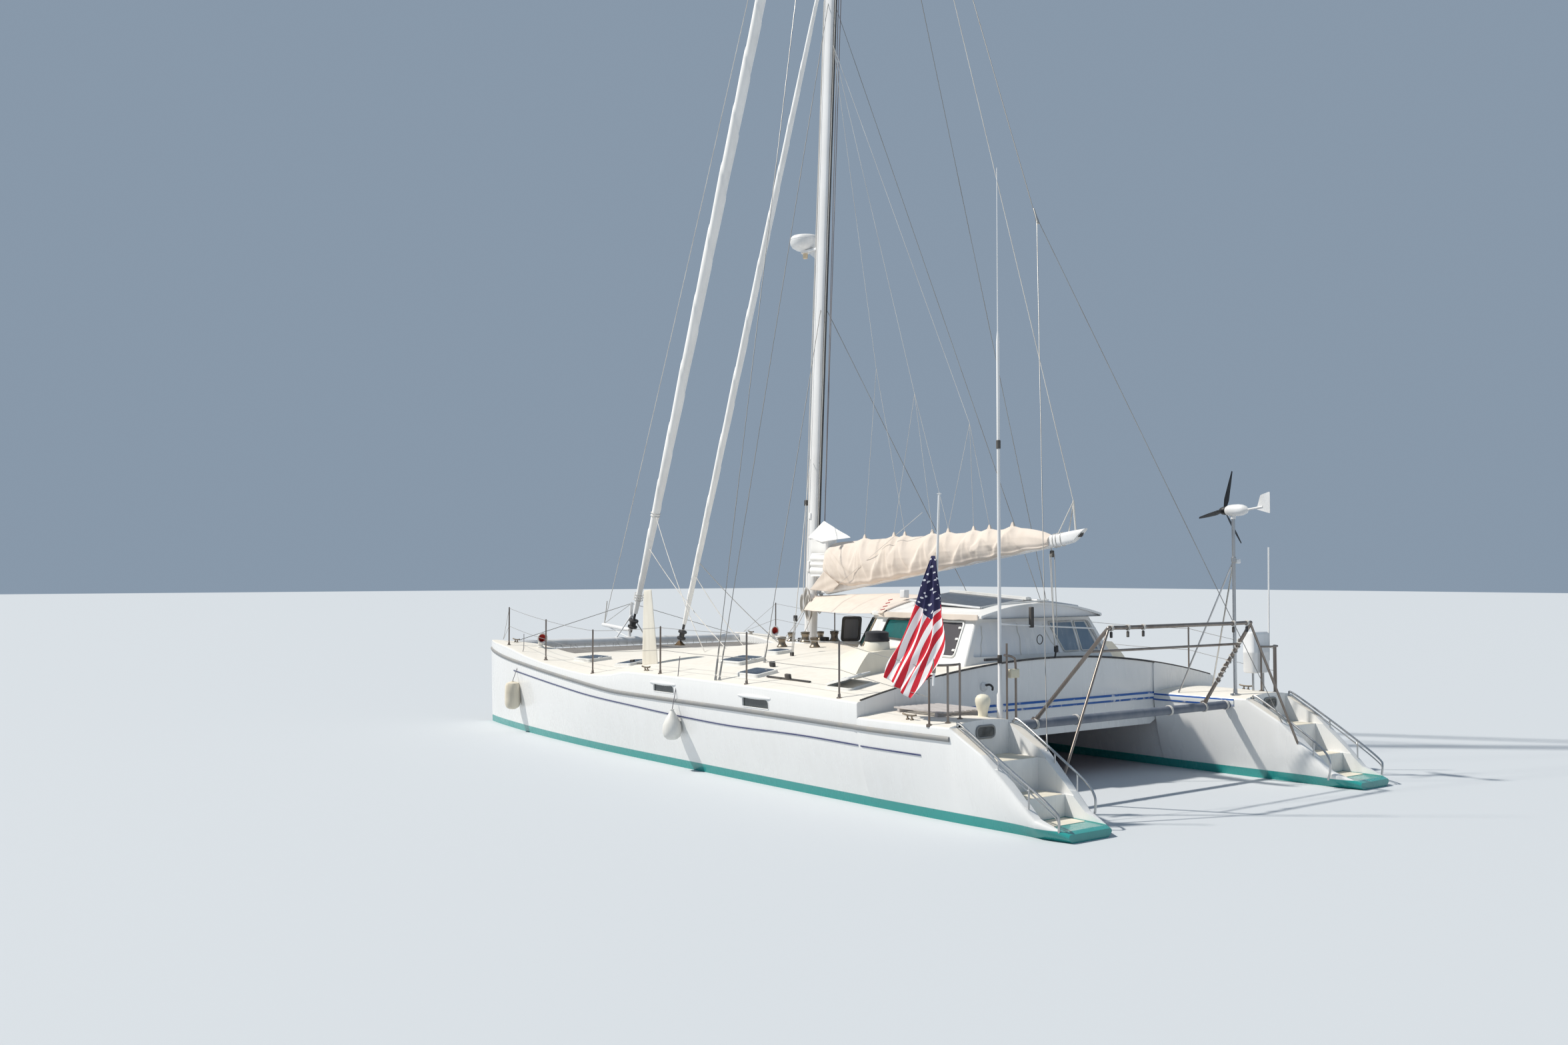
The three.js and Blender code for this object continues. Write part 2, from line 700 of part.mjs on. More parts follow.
// Sail bag along the boom, lying over the spar with its sides hanging down past it
const BAG = [
  // share of the boom, half width, heights of its bottom and top from the boom's middle
  [0.03, 120, 84, 690],
  [0.07, 150, 60, 735],
  [0.16, 165, -40, 690],
  [0.25, 170, -60, 638],
  [0.41, 165, -60, 532],
  [0.56, 155, -60, 442],
  [0.71, 140, -60, 352],
  [0.79, 125, -60, 312],
  [0.87, 100, -60, 200],
  [0.905, 85, -50, 115],
];

function sailBag() {
  const pivot = new THREE.Vector3(...mastPoint(GOOSE.x, 0, GOOSE.z));
  const end = new THREE.Vector3(...BOOM_END);
  const cover = loft(BAG.map(([share, half, low, high]) => {
    const middle = pivot.clone().lerp(end, share);
    const at = (y, z) => new THREE.Vector3(middle.x, y, middle.z + z);
    const mid = (low + high) / 2;
    const swell = low + (mid - low) * 0.5;
    const shoulder = high - (high - mid) * 0.3;
    return [
      at(-half * 0.75, low), at(half * 0.75, low), at(half, swell), at(half, mid),
      at(half * 0.55, shoulder), at(0, high), at(-half * 0.55, shoulder), at(-half, mid), at(-half, swell),
    ];
  }));
  return cut(cover, boomSpar(GAP));
}

// Furled headsails: a spindle round each stay, with its drum
const TACK = [4820, 0, 1384]; // staysail

// Bracket that reaches forward of the bridgedeck under the staysail's tack
function tackPlate(raise) {
  return box(DECK_FRONT_X - 80, TACK[0] + 50, -60, 60, 1315, TACK[2] + raise);
}

function furledSail(tack, head, drumRadius, radii) {
  const start = new THREE.Vector3(...tack);
  const end = new THREE.Vector3(...head);
  const length = start.distanceTo(end);
  const profile = [
    [0, 0], [14, 0], [14, 120], [drumRadius, 130], [drumRadius, 150], [drumRadius * 0.6, 155],
    [drumRadius * 0.6, 250], [drumRadius, 255], [drumRadius, 275], [24, 285], [24, 420],
    ...radii.map(([share, radius]) => [radius, 420 + share * (length - 900)]),
    [10, length - 420], [10, length], [0, length],
  ];
  const roll = turned(profile, 12);
  const turn = new THREE.Quaternion()
    .setFromUnitVectors(new THREE.Vector3(0, 0, 1), end.clone().sub(start).normalize());
  return roll.applyQuaternion(turn).translate(...tack);
}

// Wire shroud or stay, ending a little short of the spar that holds it
function wire(from, to, radius = 7) {
  return rod(from, to, radius, 6);
}

// A stanchion with a foot
function post(x, y, z, height) {
  return join(
    rod([x, y, z - 40], [x, y, z + height], 13, 8),
    rod([x, y, z - 40], [x, y, z + 14], 34, 8),
  );
}

const STANCHIONS = [
  // x, y from the centreline
  [5800, 2955],
  [4100, 3110],
  [2100, 3345],
  [110, 3375],
  [-1990, 3385],
  [-3840, 3370],
];
const RAIL_HEIGHT = 670;

function sideRail(hullSkin) {
  const tops = STANCHIONS.map(([x, y]) => [x, y, deckHeight(x, y)]);
  const posts = tops.map(([x, y, z]) => post(x, y, z, RAIL_HEIGHT));
  const wires = [];
  for (let i = 0; i + 1 < tops.length; i += 1) {
    [RAIL_HEIGHT - 20, RAIL_HEIGHT / 2].forEach((rise) => {
      const [a, b] = [tops[i], tops[i + 1]];
      wires.push(rod([a[0], a[1], a[2] + rise], [b[0], b[1], b[2] + rise], 5, 5));
    });
  }
  return cut(join(...posts, ...wires), hullSkin);
}

// Stern guard at each quarter: a short bent tube on three legs
const GUARD = { z: 1700, path: [[-5297, 3300], [-5385, 3245], [-5426, 3141], [-5415, 3010], [-5361, 2892]] };

function sternGuard(hullSkin) {
  const top = tube(GUARD.path.map(([x, y]) => [x, y, GUARD.z]), 14, 16, 8);
  const legs = [0, 2, 4].map((i) => rod([...GUARD.path[i], 900], [...GUARD.path[i], GUARD.z], 13, 8));
  return cut(join(top, ...legs), hullSkin);
}

// Davit frame over the aft beam, with a prop from each scoop wall
function davits(hullSkin, otherHullSkin, beam) {
  const foot = [AFT_BEAM_X, 1630, AFT_BEAM_Z + 40];
  const bend = [-6206, 1380, 2087];
  const side = (way) => [
    rod([foot[0], way * foot[1], foot[2]], [bend[0], way * bend[1], bend[2]], 24, 8),
    rod([-6300, way * 2300, 430], [bend[0], way * bend[1], bend[2]], 16, 8),
    new THREE.SphereGeometry(30, 8, 6).translate(bend[0], way * bend[1], bend[2]),
  ];
  const bar = rod([bend[0], -bend[1], bend[2]], [bend[0], bend[1], bend[2]], 24, 8);
  const lower = rod([-5990, -1441, 1812], [-5990, 1441, 1812], 16, 8);
  return cut(join(...side(1), ...side(-1), bar, lower), hullSkin, otherHullSkin, beam);
}

// Wind generator on the starboard quarter
const TURBINE = { x: -5330, y: -2330, top: 3440, hubZ: 3560, nose: 110, strutTop: 2890 };

function turbineMast(hullSkin) {
  const { x, y, top, strutTop } = TURBINE;
  return cut(join(
    rod([x, y, 700], [x, y, top], 24, 10),
    rod([-4560, -2140, 1040], [x, y, strutTop], 12, 6),
    rod([-4460, -3060, 1040], [x, y, strutTop], 12, 6),
    box(x - 40, x + 40, y - 110, y - 15, strutTop - 50, strutTop + 10),
  ), hullSkin);
}

function turbineBody() {
  const { x, y, top, hubZ, nose } = TURBINE;
  const pod = turned([[0, 0], [50, 0], [78, 60], [80, 200], [60, 300], [0, 340]])
    .rotateY(-PI / 2).translate(x + nose, y, hubZ);
  const neck = rod([x, y, top + SEAT], [x, y, hubZ], 34, 10);
  const tail = rod([x - 200, y, hubZ], [x - 430, y, hubZ + 30], 14, 8);
  const fin = plateXZ([
    [x - 360, hubZ], [x - 420, hubZ + 190], [x - 560, hubZ + 230], [x - 560, hubZ - 60],
  ], y - 4, y + 4);
  return join(pod, neck, tail, fin);
}

function turbineRotor() {
  const { x, y, hubZ, nose } = TURBINE;
  const back = nose + SEAT;
  const hub = turned([[0, 0], [60, 0], [60, 40], [36, 90], [0, 105]])
    .rotateY(PI / 2).translate(back, 0, 0);
  const blades = [0, 1, 2].map((i) => {
    const blade = loft([
      [[0, -38], [14, 0], [0, 38], [-6, 0]].map(([dx, dy]) => new THREE.Vector3(back + 22 + dx, dy, 30)),
      [[0, -8], [6, 6], [0, 20], [-3, 6]].map(([dx, dy]) => new THREE.Vector3(back + 22 + dx, dy, 580)),
    ]);
    return blade.rotateX((2 * PI * i) / 3 + 0.35);
  });
  return moved(join(hub, ...blades), x, y, hubZ);
}

// Ensign on its staff, clamped to the port guard
const STAFF = { low: [-5372, 3305, 1480], high: [-5474, 3305, 3585], clampX: -5378 };
const ENSIGN = [
  // x, z of the hanging cloth's outline
  [-5382, 2895], [-5467, 2682], [-5545, 2307], [-5591, 2086], [-5510, 1795], [-4968, 1302],
  [-4541, 1540], [-4612, 1705], [-4855, 1925], [-5141, 2386],
];

function flagstaff() {
  const [legX, legY] = GUARD.path[0];
  const clamp = box(STAFF.clampX, legX + 16, legY - 20, STAFF.low[1] + 10, 1560, 1600);
  const leg = rod([legX, legY, 800], [legX, legY, GUARD.z], 13 + GAP, 8);
  return cut(join(rod(STAFF.low, STAFF.high, 14, 8), clamp), leg);
}

function ensign() {
  return plateXZ(ENSIGN, STAFF.low[1] + 14 + GAP, STAFF.low[1] + 26);
}

// White canister and aerial on the starboard quarter
function quarterLocker(hullSkin) {
  return cut(join(
    box(-5335, -5135, -3170, -2770, 1335, 1900),
    rod([-5260, -2850, 1000], [-5260, -2850, 1400], 16, 8),
    rod([-5260, -3090, 1000], [-5260, -3090, 1400], 16, 8),
    rod([-5320, -3140, 1500], [-5340, -3140, 3070], 16, 8, 12),
  ), hullSkin);
}

// Ventilator on each foredeck, its mouth facing aft
function cowl() {
  const neck = rod([5370, 2560, 1380], [5370, 2560, 1520], 42, 10);
  const bell = turned([[0, 0], [45, 12], [62, 60], [82, 120], [0, 120]], 12)
    .rotateY(-PI / 2).translate(5425, 2560, 1540);
  return join(neck, bell);
}

// Satellite dome on the port aft deck
function dome() {
  const shell = turned([[0, -60], [70, -60], [40, 60], [85, 130], [85, 190], [50, 245], [0, 260]]);
  return moved(shell, -5330, 2640, 1085);
}

// Fenders squeezed a little against the port topsides
function fender(x, y, z, radius, length, taper) {
  return moved(turned([
    [0, 0], [radius * 0.7, 20], [radius, 90], [radius, length * 0.6], [radius * taper, length - 60],
    [30, length], [0, length],
  ]), x, y, z);
}

// Sun awning from the mast over the front of the roof
const AWNING = [
  // x, half width, height in the middle, height at the edges
  [800, 440, 2345, 2120],
  [-200, 665, 2387, 2120],
  [-1054, 865, 2405, 2124],
  [-1600, 1030, 2412, 2140],
  [-2140, 1190, 2412, 2162],
];

function awning(mastSkin, roof) {
  const rows = AWNING.map(([x, half, middle, edge]) => [1, 0.66, 0.33, 0, -0.33, -0.66, -1].map((share) => {
    const level = edge + (middle - edge) * (1 - Math.abs(share) ** 1.5);
    return new THREE.Vector3(x, share * half, level);
  }));
  return cut(clothOf(rows, 8), mastSkin, moved(roof, 0, 0, GAP));
}

// Side coaming beside the pilothouse: a shoulder that rises from the side deck to an upright after face
const COAMING = [
  // foot x and y, crest x, y and z, inner edge x, y and z
  [-850, 550, -970, 500, 1600, -1000, 420, 1600],
  [-1245, 1105, -1353, 909, 1633, -1396, 819, 1644],
  [-1660, 1600, -1750, 1300, 1660, -1800, 1100, 1680],
  [-2158, 1985, -2209, 1663, 1675, -2244, 1185, 1701],
  [-2719, 2333, -2714, 2022, 1688, -2722, 1243, 1718],
  [-3280, 2680, -3220, 2380, 1700, -3200, 1300, 1735],
];
const COAMING_WINCH = [-2980, 2020, 1690]; // foot of the covered winch on the shoulder
const COAMING_SUNK = 20; // how far the uncut shoulder reaches under the deck
const SEAM_HALF = 12; // half width of the strip that seats it where hull and bridgedeck meet

// A narrow strip under the deck surface along the joint of hull and bridgedeck
function seamSkin() {
  return loft(BRIDGE_STATIONS.map((x) => {
    const inner = HULL_Y - between(HULL, x, 1);
    const [low, high] = [inner - SEAM_HALF, inner + SEAM_HALF];
    return [
      new THREE.Vector3(x, low, deckHeight(x, low) + GAP),
      new THREE.Vector3(x, low, 1000),
      new THREE.Vector3(x, high, 1000),
      new THREE.Vector3(x, high, deckHeight(x, high) + GAP),
    ];
  }));
}

function sideCoaming(turn, deckSkin, hullSkin) {
  const shoulder = loft(COAMING.map(([footX, footY, crestX, crestY, crestZ, innerX, innerY, innerZ]) => {
    const [footZ, innerDeck] = [deckHeight(footX, footY), deckHeight(innerX, innerY)];
    return [
      new THREE.Vector3(footX, footY, footZ - COAMING_SUNK),
      new THREE.Vector3(footX, footY, footZ + GAP),
      new THREE.Vector3(crestX, crestY, crestZ),
      new THREE.Vector3((crestX + innerX) / 2, (crestY + innerY) / 2, (crestZ + innerZ) / 2 + 20),
      new THREE.Vector3(innerX, innerY, innerZ),
      new THREE.Vector3(innerX, innerY, innerDeck - COAMING_SUNK),
    ];
  }));
  const seated = cut(turn(shoulder), houseCore(-GAP), deckSkin, hullSkin, turn(seamSkin()));
  return join(seated, turn(winch(...COAMING_WINCH, 110, 250)));
}

// Headsail gear at the bow: an upright pole on the beam, a short sprit and its strut
function bowPole(grow) {
  return rod([6640, 0, 1380], [6540, 0, 2145], 34 + grow, 10, 30 + grow);
}

function bowGear(beam) {
  const sprit = rod([6610, 0, 1600], [7680, 0, 1677], 40, 10, 32);
  const strut = rod([7620, 0, 1672], [6620, 0, 1500], 10, 6);
  return cut(join(bowPole(0), sprit, strut), beam);
}

const root = new THREE.Group();

function add(name, geometry, finish) {
  const mesh = new THREE.Mesh(geometry, new THREE.MeshStandardMaterial(finish));
  mesh.name = name;
  root.add(mesh);
}

// Hulls
const skinPort = hullBody(GAP);
const skinStarboard = mirrored(skinPort);
const portFrames = HATCH.filter(([, , y]) => y > 1500).map(hatchFrame);
const starboardFrames = HATCH.filter(([, , y]) => y < -1500).map(hatchFrame);
const hullPlain = join(cut(hullBody(0), ...sternSteps(), boardSlot(), rudderTube()), cowl());
add('hull_port', join(hullPlain, ...portFrames, dome()), FINISH.gelcoat);
add('hull_starboard', join(mirrored(hullPlain), ...starboardFrames), FINISH.gelcoat);
[['port', (g) => g], ['starboard', mirrored]].forEach(([side, turn]) => {
  add(`daggerboard_${side}`, turn(daggerboard()), FINISH.canvas);
  add(`rudder_${side}`, turn(rudder()), FINISH.black);
  add(`saildrive_${side}`, turn(saildrive(skinPort)), FINISH.alloy);
  add(`propeller_${side}`, turn(propeller()), FINISH.bronze);
});

// Bridgedeck and pilothouse
const mastHatch = HATCH.find(([name]) => name === 'hatch_mast');
const deck = deckSkin(GAP);
const bridge = cut(
  join(
    cut(bridgeRaw(), skinPort, skinStarboard, cockpitWell()),
    hatchFrame(mastHatch),
    tackPlate(0),
  ),
  box(-60, 260, -465, -145, 1380, 1800),
);
add('bridgedeck', bridge, FINISH.deck);
add('pilothouse', houseShell(deck), FINISH.gelcoat);
add('house_glass', houseSkin(8, 1620, 2110, -3700, 0), FINISH.glass);
add('cockpit_curtain', houseSkin(10, 1610, 2110, -5000, -3702), FINISH.vinyl);
add('side_coaming_port', sideCoaming((g) => g, deck, skinPort), FINISH.gelcoat);
add('side_coaming_starboard', sideCoaming(mirrored, deck, skinStarboard), FINISH.gelcoat);
const roof = roofTop();
add('house_roof', roof, FINISH.white);
add('solar_panels', solarPanels(roof), FINISH.black);
HATCH.forEach((row) => add(row[0], hatchLid(row), FINISH.glass));

// Cockpit under the roof
add('cockpit_seats', join(
  box(-3800, -2100, 720, 1040, SOLE_Z + GAP, 1120),
  box(-3800, -2100, -1040, -720, SOLE_Z + GAP, 1120),
  box(-3840, -3500, -1040, 1040, SOLE_Z + GAP, 1120),
), FINISH.canvas);
add('helm_pedestal', join(
  box(-2180, -2040, -90, 90, SOLE_Z + GAP, 1500),
  rod([-2200, 0, 1400], [-2140, 0, 1400], 40, 10),
), FINISH.white);
const WHEEL = { x: -2220 - SEAT, z: 1400, radius: 290 };
const wheelRim = new THREE.TorusGeometry(WHEEL.radius, 14, 6, 20).rotateY(PI / 2);
const spokes = [0, 1, 2].map((i) => rod([0, 0, -286], [0, 0, 286], 8, 6).rotateX((PI * i) / 3));
const wheelHub = rod([-20, 0, 0], [20, 0, 0], 34, 10);
add('helm_wheel', moved(join(wheelRim, ...spokes, wheelHub), WHEEL.x, 0, WHEEL.z), FINISH.steel);

// Crossbeams, net and bow gear
const skins = [skinPort, skinStarboard];
function crossbeam(x, z, radius, reach) {
  return rod([x, -reach, z], [x, reach, z], radius, 12);
}
const beamSkin = crossbeam(BEAM_X, BEAM_Z, BEAM_R + GAP, 2800);
const aftBeamSkin = crossbeam(AFT_BEAM_X, AFT_BEAM_Z, AFT_BEAM_R + GAP, 2500);
add('forward_beam', cut(crossbeam(BEAM_X, BEAM_Z, BEAM_R, 2800), ...skins), FINISH.alloy);
add('bow_gear', bowGear(beamSkin), FINISH.white);
const NET_Z = 1300;
add('trampoline', cut(
  box(DECK_FRONT_X + GAP, BEAM_X - 20, -2600, 2600, NET_Z - 6, NET_Z + 6), ...skins, beamSkin,
), FINISH.net);
add('aft_beam', cut(crossbeam(AFT_BEAM_X, AFT_BEAM_Z, AFT_BEAM_R, 2500), ...skins), FINISH.vinyl);
add('davit_frame', davits(skinPort, skinStarboard, aftBeamSkin), FINISH.steel);

// Mast, boom and sails
const mastSkin = mastPole(GAP, -200, MAST_LENGTH);
add('mast', mast(deck), FINISH.white);
add('boom', boom(), FINISH.white);
add('sail_bag', sailBag(), FINISH.canvas);
add('mast_winches', cut(join(
  plateXY([[1250, 420], [1250, -420], [560, -420], [560, 420]], 1500, 1612),
  winch(1060, 300, 1612, 60, 150), winch(1060, -300, 1612, 60, 150),
  winch(700, 300, 1612, 70, 170), winch(700, -300, 1612, 70, 170),
), deck, mastSkin), FINISH.steel);
add('radar', cut(join(
  moved(turned([[0, 0], [190, 0], [225, 40], [225, 130], [190, 200], [90, 235], [0, 240]], 16),
    ...mastPoint(430, 0, 6403)),
  raked(box(60, 480, -60, 60, 6390, 6410)),
), mastSkin), FINISH.white);
add('genoa', cut(furledSail([6560, 0, 1540], mastPoint(0, 0, 16600), 95, [
  [0, 45], [0.04, 62], [0.2, 88], [0.5, 100], [0.8, 78], [1, 40],
]), mastSkin, beamSkin, bowPole(2 * GAP)), FINISH.sail);
add('staysail', cut(furledSail(TACK, mastPoint(0, 0, 11300), 80, [
  [0, 35], [0.05, 50], [0.4, 62], [0.8, 48], [1, 28],
]), mastSkin, tackPlate(GAP)), FINISH.sail);

// Standing rigging
const CAP = [-1300, 3400, 1200];
[['port', 1], ['starboard', -1]].forEach(([side, way]) => {
  const skin = way > 0 ? skinPort : skinStarboard;
  add(`cap_shroud_${side}`, cut(wire([CAP[0], way * CAP[1], CAP[2]], mastPoint(0, 0, 16250)), skin, mastSkin),
    FINISH.steel);
  add(`lower_shroud_${side}`, cut(
    wire([CAP[0] - 60, way * (CAP[1] - 10), CAP[2]], mastPoint(-30, 0, 10300)), skin, mastSkin,
  ), FINISH.steel);
});
const backstay = wire(mastPoint(-180, 0, MAST_LENGTH + 10), [-3940, 0, 7450]);
add('backstay', cut(backstay, mastCrane(GAP)), FINISH.steel);
[['port', 1], ['starboard', -1]].forEach(([side, way]) => {
  const skin = way > 0 ? skinPort : skinStarboard;
  add(`bridle_${side}`, cut(wire([-3960, way * 14, 7440], [-6150, way * 2350, 500]), skin), FINISH.steel);
});

// Guard rails and quarter fittings
add('rail_port', sideRail(skinPort), FINISH.steel);
add('rail_starboard', mirrored(sideRail(skinPort)), FINISH.steel);
add('stern_guard_port', sternGuard(skinPort), FINISH.steel);
add('stern_guard_starboard', mirrored(sternGuard(skinPort)), FINISH.steel);
add('turbine_mast', turbineMast(skinStarboard), FINISH.alloy);
add('turbine_body', turbineBody(), FINISH.white);
add('turbine_rotor', turbineRotor(), FINISH.black);
add('radio_mast', cut(moved(turned([
  [0, 0], [34, 0], [34, 300], [20, 320], [19, 4350], [7, 4400], [5, 6300], [0, 6300],
], 8), -5480, 2380, 1050), skinPort), FINISH.white);
add('quarter_locker', quarterLocker(skinStarboard), FINISH.white);
add('flagstaff', flagstaff(), FINISH.white);
add('ensign', ensign(), FINISH.flag);
add('fender_bow', cut(fender(5090, 3226, 380, 130, 480, 0.95), skinPort), FINISH.canvas);
add('fender_mid', cut(fender(-410, 3508, 420, 132, 420, 0.5), skinPort), FINISH.white);
add('sun_awning', awning(mastSkin, roof), FINISH.canvas);

export default root;
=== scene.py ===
import math

import bmesh
import bpy
import numpy as np
from mathutils import Matrix, Vector


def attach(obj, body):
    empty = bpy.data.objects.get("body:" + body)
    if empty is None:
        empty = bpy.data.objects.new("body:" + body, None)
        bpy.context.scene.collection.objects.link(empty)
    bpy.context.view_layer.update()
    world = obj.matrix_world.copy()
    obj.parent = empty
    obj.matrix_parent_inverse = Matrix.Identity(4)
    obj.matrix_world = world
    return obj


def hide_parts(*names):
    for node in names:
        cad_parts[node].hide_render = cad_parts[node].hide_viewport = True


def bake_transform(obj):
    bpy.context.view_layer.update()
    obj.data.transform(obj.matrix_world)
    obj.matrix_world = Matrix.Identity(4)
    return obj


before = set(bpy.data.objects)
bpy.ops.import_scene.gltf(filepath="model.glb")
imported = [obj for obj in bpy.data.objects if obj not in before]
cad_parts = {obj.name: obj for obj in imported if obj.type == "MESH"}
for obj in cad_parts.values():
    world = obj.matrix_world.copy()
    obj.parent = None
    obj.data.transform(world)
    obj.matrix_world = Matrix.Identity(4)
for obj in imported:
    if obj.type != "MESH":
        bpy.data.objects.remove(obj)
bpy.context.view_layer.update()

# Camera, floor and light
# The camera stands low off the port quarter, as the photograph was taken. The floor lies at the
# waterline, and one high sun from the port bow is softened by a bright pale sky.
camera_data = bpy.data.cameras.new("camera")
camera_data.sensor_width = 36
camera_data.lens = 30.77
camera_data.clip_end = 400
camera = bpy.data.objects.new("camera", camera_data)
camera.location = (-16.063, 13.518, 2.711)
camera.rotation_euler = (math.radians(92.16), 0, math.radians(-127.35))
bpy.context.scene.collection.objects.link(camera)
bpy.context.scene.camera = camera

floor_mesh = bpy.data.meshes.new("floor")
floor_reach = 180
floor_mesh.from_pydata([(-floor_reach, -floor_reach, 0), (floor_reach, -floor_reach, 0),
    (floor_reach, floor_reach, 0), (-floor_reach, floor_reach, 0)], [], [(0, 1, 2, 3)])
floor = bpy.data.objects.new("floor", floor_mesh)
bpy.context.scene.collection.objects.link(floor)
floor_paint = bpy.data.materials.new("floor_paint")
floor_paint.use_nodes = True
floor_shader = floor_paint.node_tree.nodes["Principled BSDF"]
floor_shader.inputs["Base Color"].default_value = (0.55, 0.58, 0.61, 1)
floor_shader.inputs["Roughness"].default_value = 0.9
floor_mesh.materials.append(floor_paint)

sky = bpy.data.worlds.new("sky")
sky.use_nodes = True
sky.node_tree.nodes["Background"].inputs["Color"].default_value = (0.62, 0.79, 1.0, 1)
sky.node_tree.nodes["Background"].inputs["Strength"].default_value = 0.4
bpy.context.scene.world = sky
sun_data = bpy.data.lights.new("sun", "SUN")
sun_data.energy = 4.1
sun_data.color = (1.0, 0.95, 0.87)
sun_data.angle = math.radians(2.0)
sun = bpy.data.objects.new("sun", sun_data)
sun.rotation_euler = Vector((0.4, 0.5, 0.8)).to_track_quat("Z", "Y").to_euler()
bpy.context.scene.collection.objects.link(sun)
bpy.context.scene.view_settings.view_transform = "Standard"

# Hulls
# Two slender white hulls of glass fibre, each with a plumb stem, a flush deck that steps down aft and
# a scoop of steps at the stern. Each is one closed skin, with the steps cut out of it.
HULL_Y = 2.733
STEP_X = -4.22
HULL_X = np.array([-7.06, -6.7, -6.43, -6.04, -5.59, -4.22, -2.4, -0.6, 0.9, 1.5, 2.1, 3.3, 4.6, 5.8, 6.5,
    6.85])
HALF_DECK = np.array([330, 450, 480, 520, 560, 690, 715, 720, 715, 705, 690, 600, 470, 335, 190, 60]) / 1000
HALF_WATER = np.array([270, 340, 350, 375, 405, 450, 480, 490, 490, 485, 475, 425, 330, 190, 90, 22]) / 1000
KEEL_Z = -np.array([10, 60, 110, 175, 255, 420, 520, 570, 585, 585, 580, 550, 500, 400, 250, 60]) / 1000
EDGE_FORE = np.array([1215, 1265, 1280, 1270, 1190, 1160, 1205, 1300, 1435, 1465, 1480]) / 1000
EDGE_AFT = np.array([90, 200, 450, 790, 1040, 1045]) / 1000
CROWN_X = np.array([-4.22, 1.0, 2.75, 3.6, 4.6, 5.8, 6.85])
CROWN_Z = np.array([1.6, 1.6, 1.435, 1.36, 1.345, 1.47, 1.5])


def fair(x, knots, values):
    """Smooth curve through knots: cubics whose slopes are harmonic means of the chords beside them."""
    chord = np.diff(values) / np.diff(knots)
    slope = np.zeros_like(values)
    agree = chord[1:] * chord[:-1] > 0
    mean = 2 * chord[1:] * chord[:-1] / np.where(agree, chord[1:] + chord[:-1], 1)
    slope[1:-1] = np.where(agree, mean, 0)
    slope[0], slope[-1] = chord[0], chord[-1]
    x = np.clip(x, knots[0], knots[-1])
    i = np.clip(np.searchsorted(knots, x) - 1, 0, len(knots) - 2)
    step = knots[i + 1] - knots[i]
    t = (x - knots[i]) / step
    rise = (1 + 2 * t) * (1 - t) ** 2 * values[i] + t * t * (3 - 2 * t) * values[i + 1]
    return rise + step * (t * (1 - t) ** 2 * slope[i] + t * t * (t - 1) * slope[i + 1])


def deck_height(x, y, curve=fair):
    """Height of the deck: it falls from the crown with the square of y, and aft arches over each hull."""
    x, y = np.broadcast_arrays(np.asarray(x, float), np.abs(np.asarray(y, float)))
    half = curve(x, HULL_X, HALF_DECK)
    fore_edge = curve(x, HULL_X[5:], EDGE_FORE)
    crown = curve(x, CROWN_X, CROWN_Z)
    share = y / (HULL_Y + half)
    flush = crown - (crown - fore_edge) * share ** 2
    aft_edge = np.interp(x, HULL_X[:6], EDGE_AFT)
    arch = np.where(x < -5.595, 0, 0.055 * (1 - ((y - HULL_Y) / half) ** 2))
    return np.where(x < STEP_X, aft_edge + arch, flush)


def side_reach(x, z):
    """Half width of a hull at height z: a quarter sine from the waterline to the deck edge."""
    half = fair(x, HULL_X, HALF_DECK)
    water = fair(x, HULL_X, HALF_WATER)
    top = deck_height(x, HULL_Y + half)
    return water + (half - water) * np.sin(np.pi / 2 * np.clip(z / top, 0, 1))


def xyz(x, y, z):
    """Points from their three coordinates, each a number or a grid of them."""
    return np.stack(np.broadcast_arrays(x, y, z), -1)


def hull_rings(x):
    """Closed sections: deck, rounded edge, sine-shaped side, elliptical bottom, and the same way back up."""
    half = fair(x, HULL_X, HALF_DECK)
    water = fair(x, HULL_X, HALF_WATER)
    keel = fair(x, HULL_X, KEEL_Z)
    edge = np.minimum(0.028, half * 0.3)
    points = [(s * (half - edge), deck_height(x, HULL_Y + s * (half - edge)))
        for s in np.linspace(1, -1, 13)]
    for way in (-1, 1):
        top = deck_height(x, HULL_Y + way * (half - edge)) - edge
        arc = [(way * (half - edge + edge * math.cos(a)), top + edge * math.sin(a))
            for a in np.radians((67, 45, 22, 0))]
        side = [(way * (water + (half - water) * math.sin(math.pi / 2 * level)), top * level)
            for level in np.linspace(1, 0, 12)[1:]]
        bilge = [(way * water * math.cos(a), keel * math.sin(a)) for a in np.radians((15, 30, 45, 60, 75))]
        run = arc + side + bilge
        if way < 0:
            points += run + [(0, keel)]
        else:
            points += run[::-1]
    return np.stack([xyz(x, HULL_Y + y, z) for y, z in points], 1)


def skin(grid, ring=True, ends=True):
    """Points and faces of a grid of points: a quad in each cell, rows closed if ring, with flat ends."""
    rows, columns = grid.shape[:2]
    number = np.arange(rows * columns).reshape(rows, columns)
    if ring:
        number = np.column_stack([number, number[:, 0]])
    cells = np.stack([number[:-1, :-1], number[:-1, 1:], number[1:, 1:], number[1:, :-1]], -1)
    faces = cells.reshape(-1, 4).tolist()
    if ring and ends:
        faces += [number[0, :-1][::-1].tolist(), number[-1, :-1].tolist()]
    return grid.reshape(-1, 3), faces


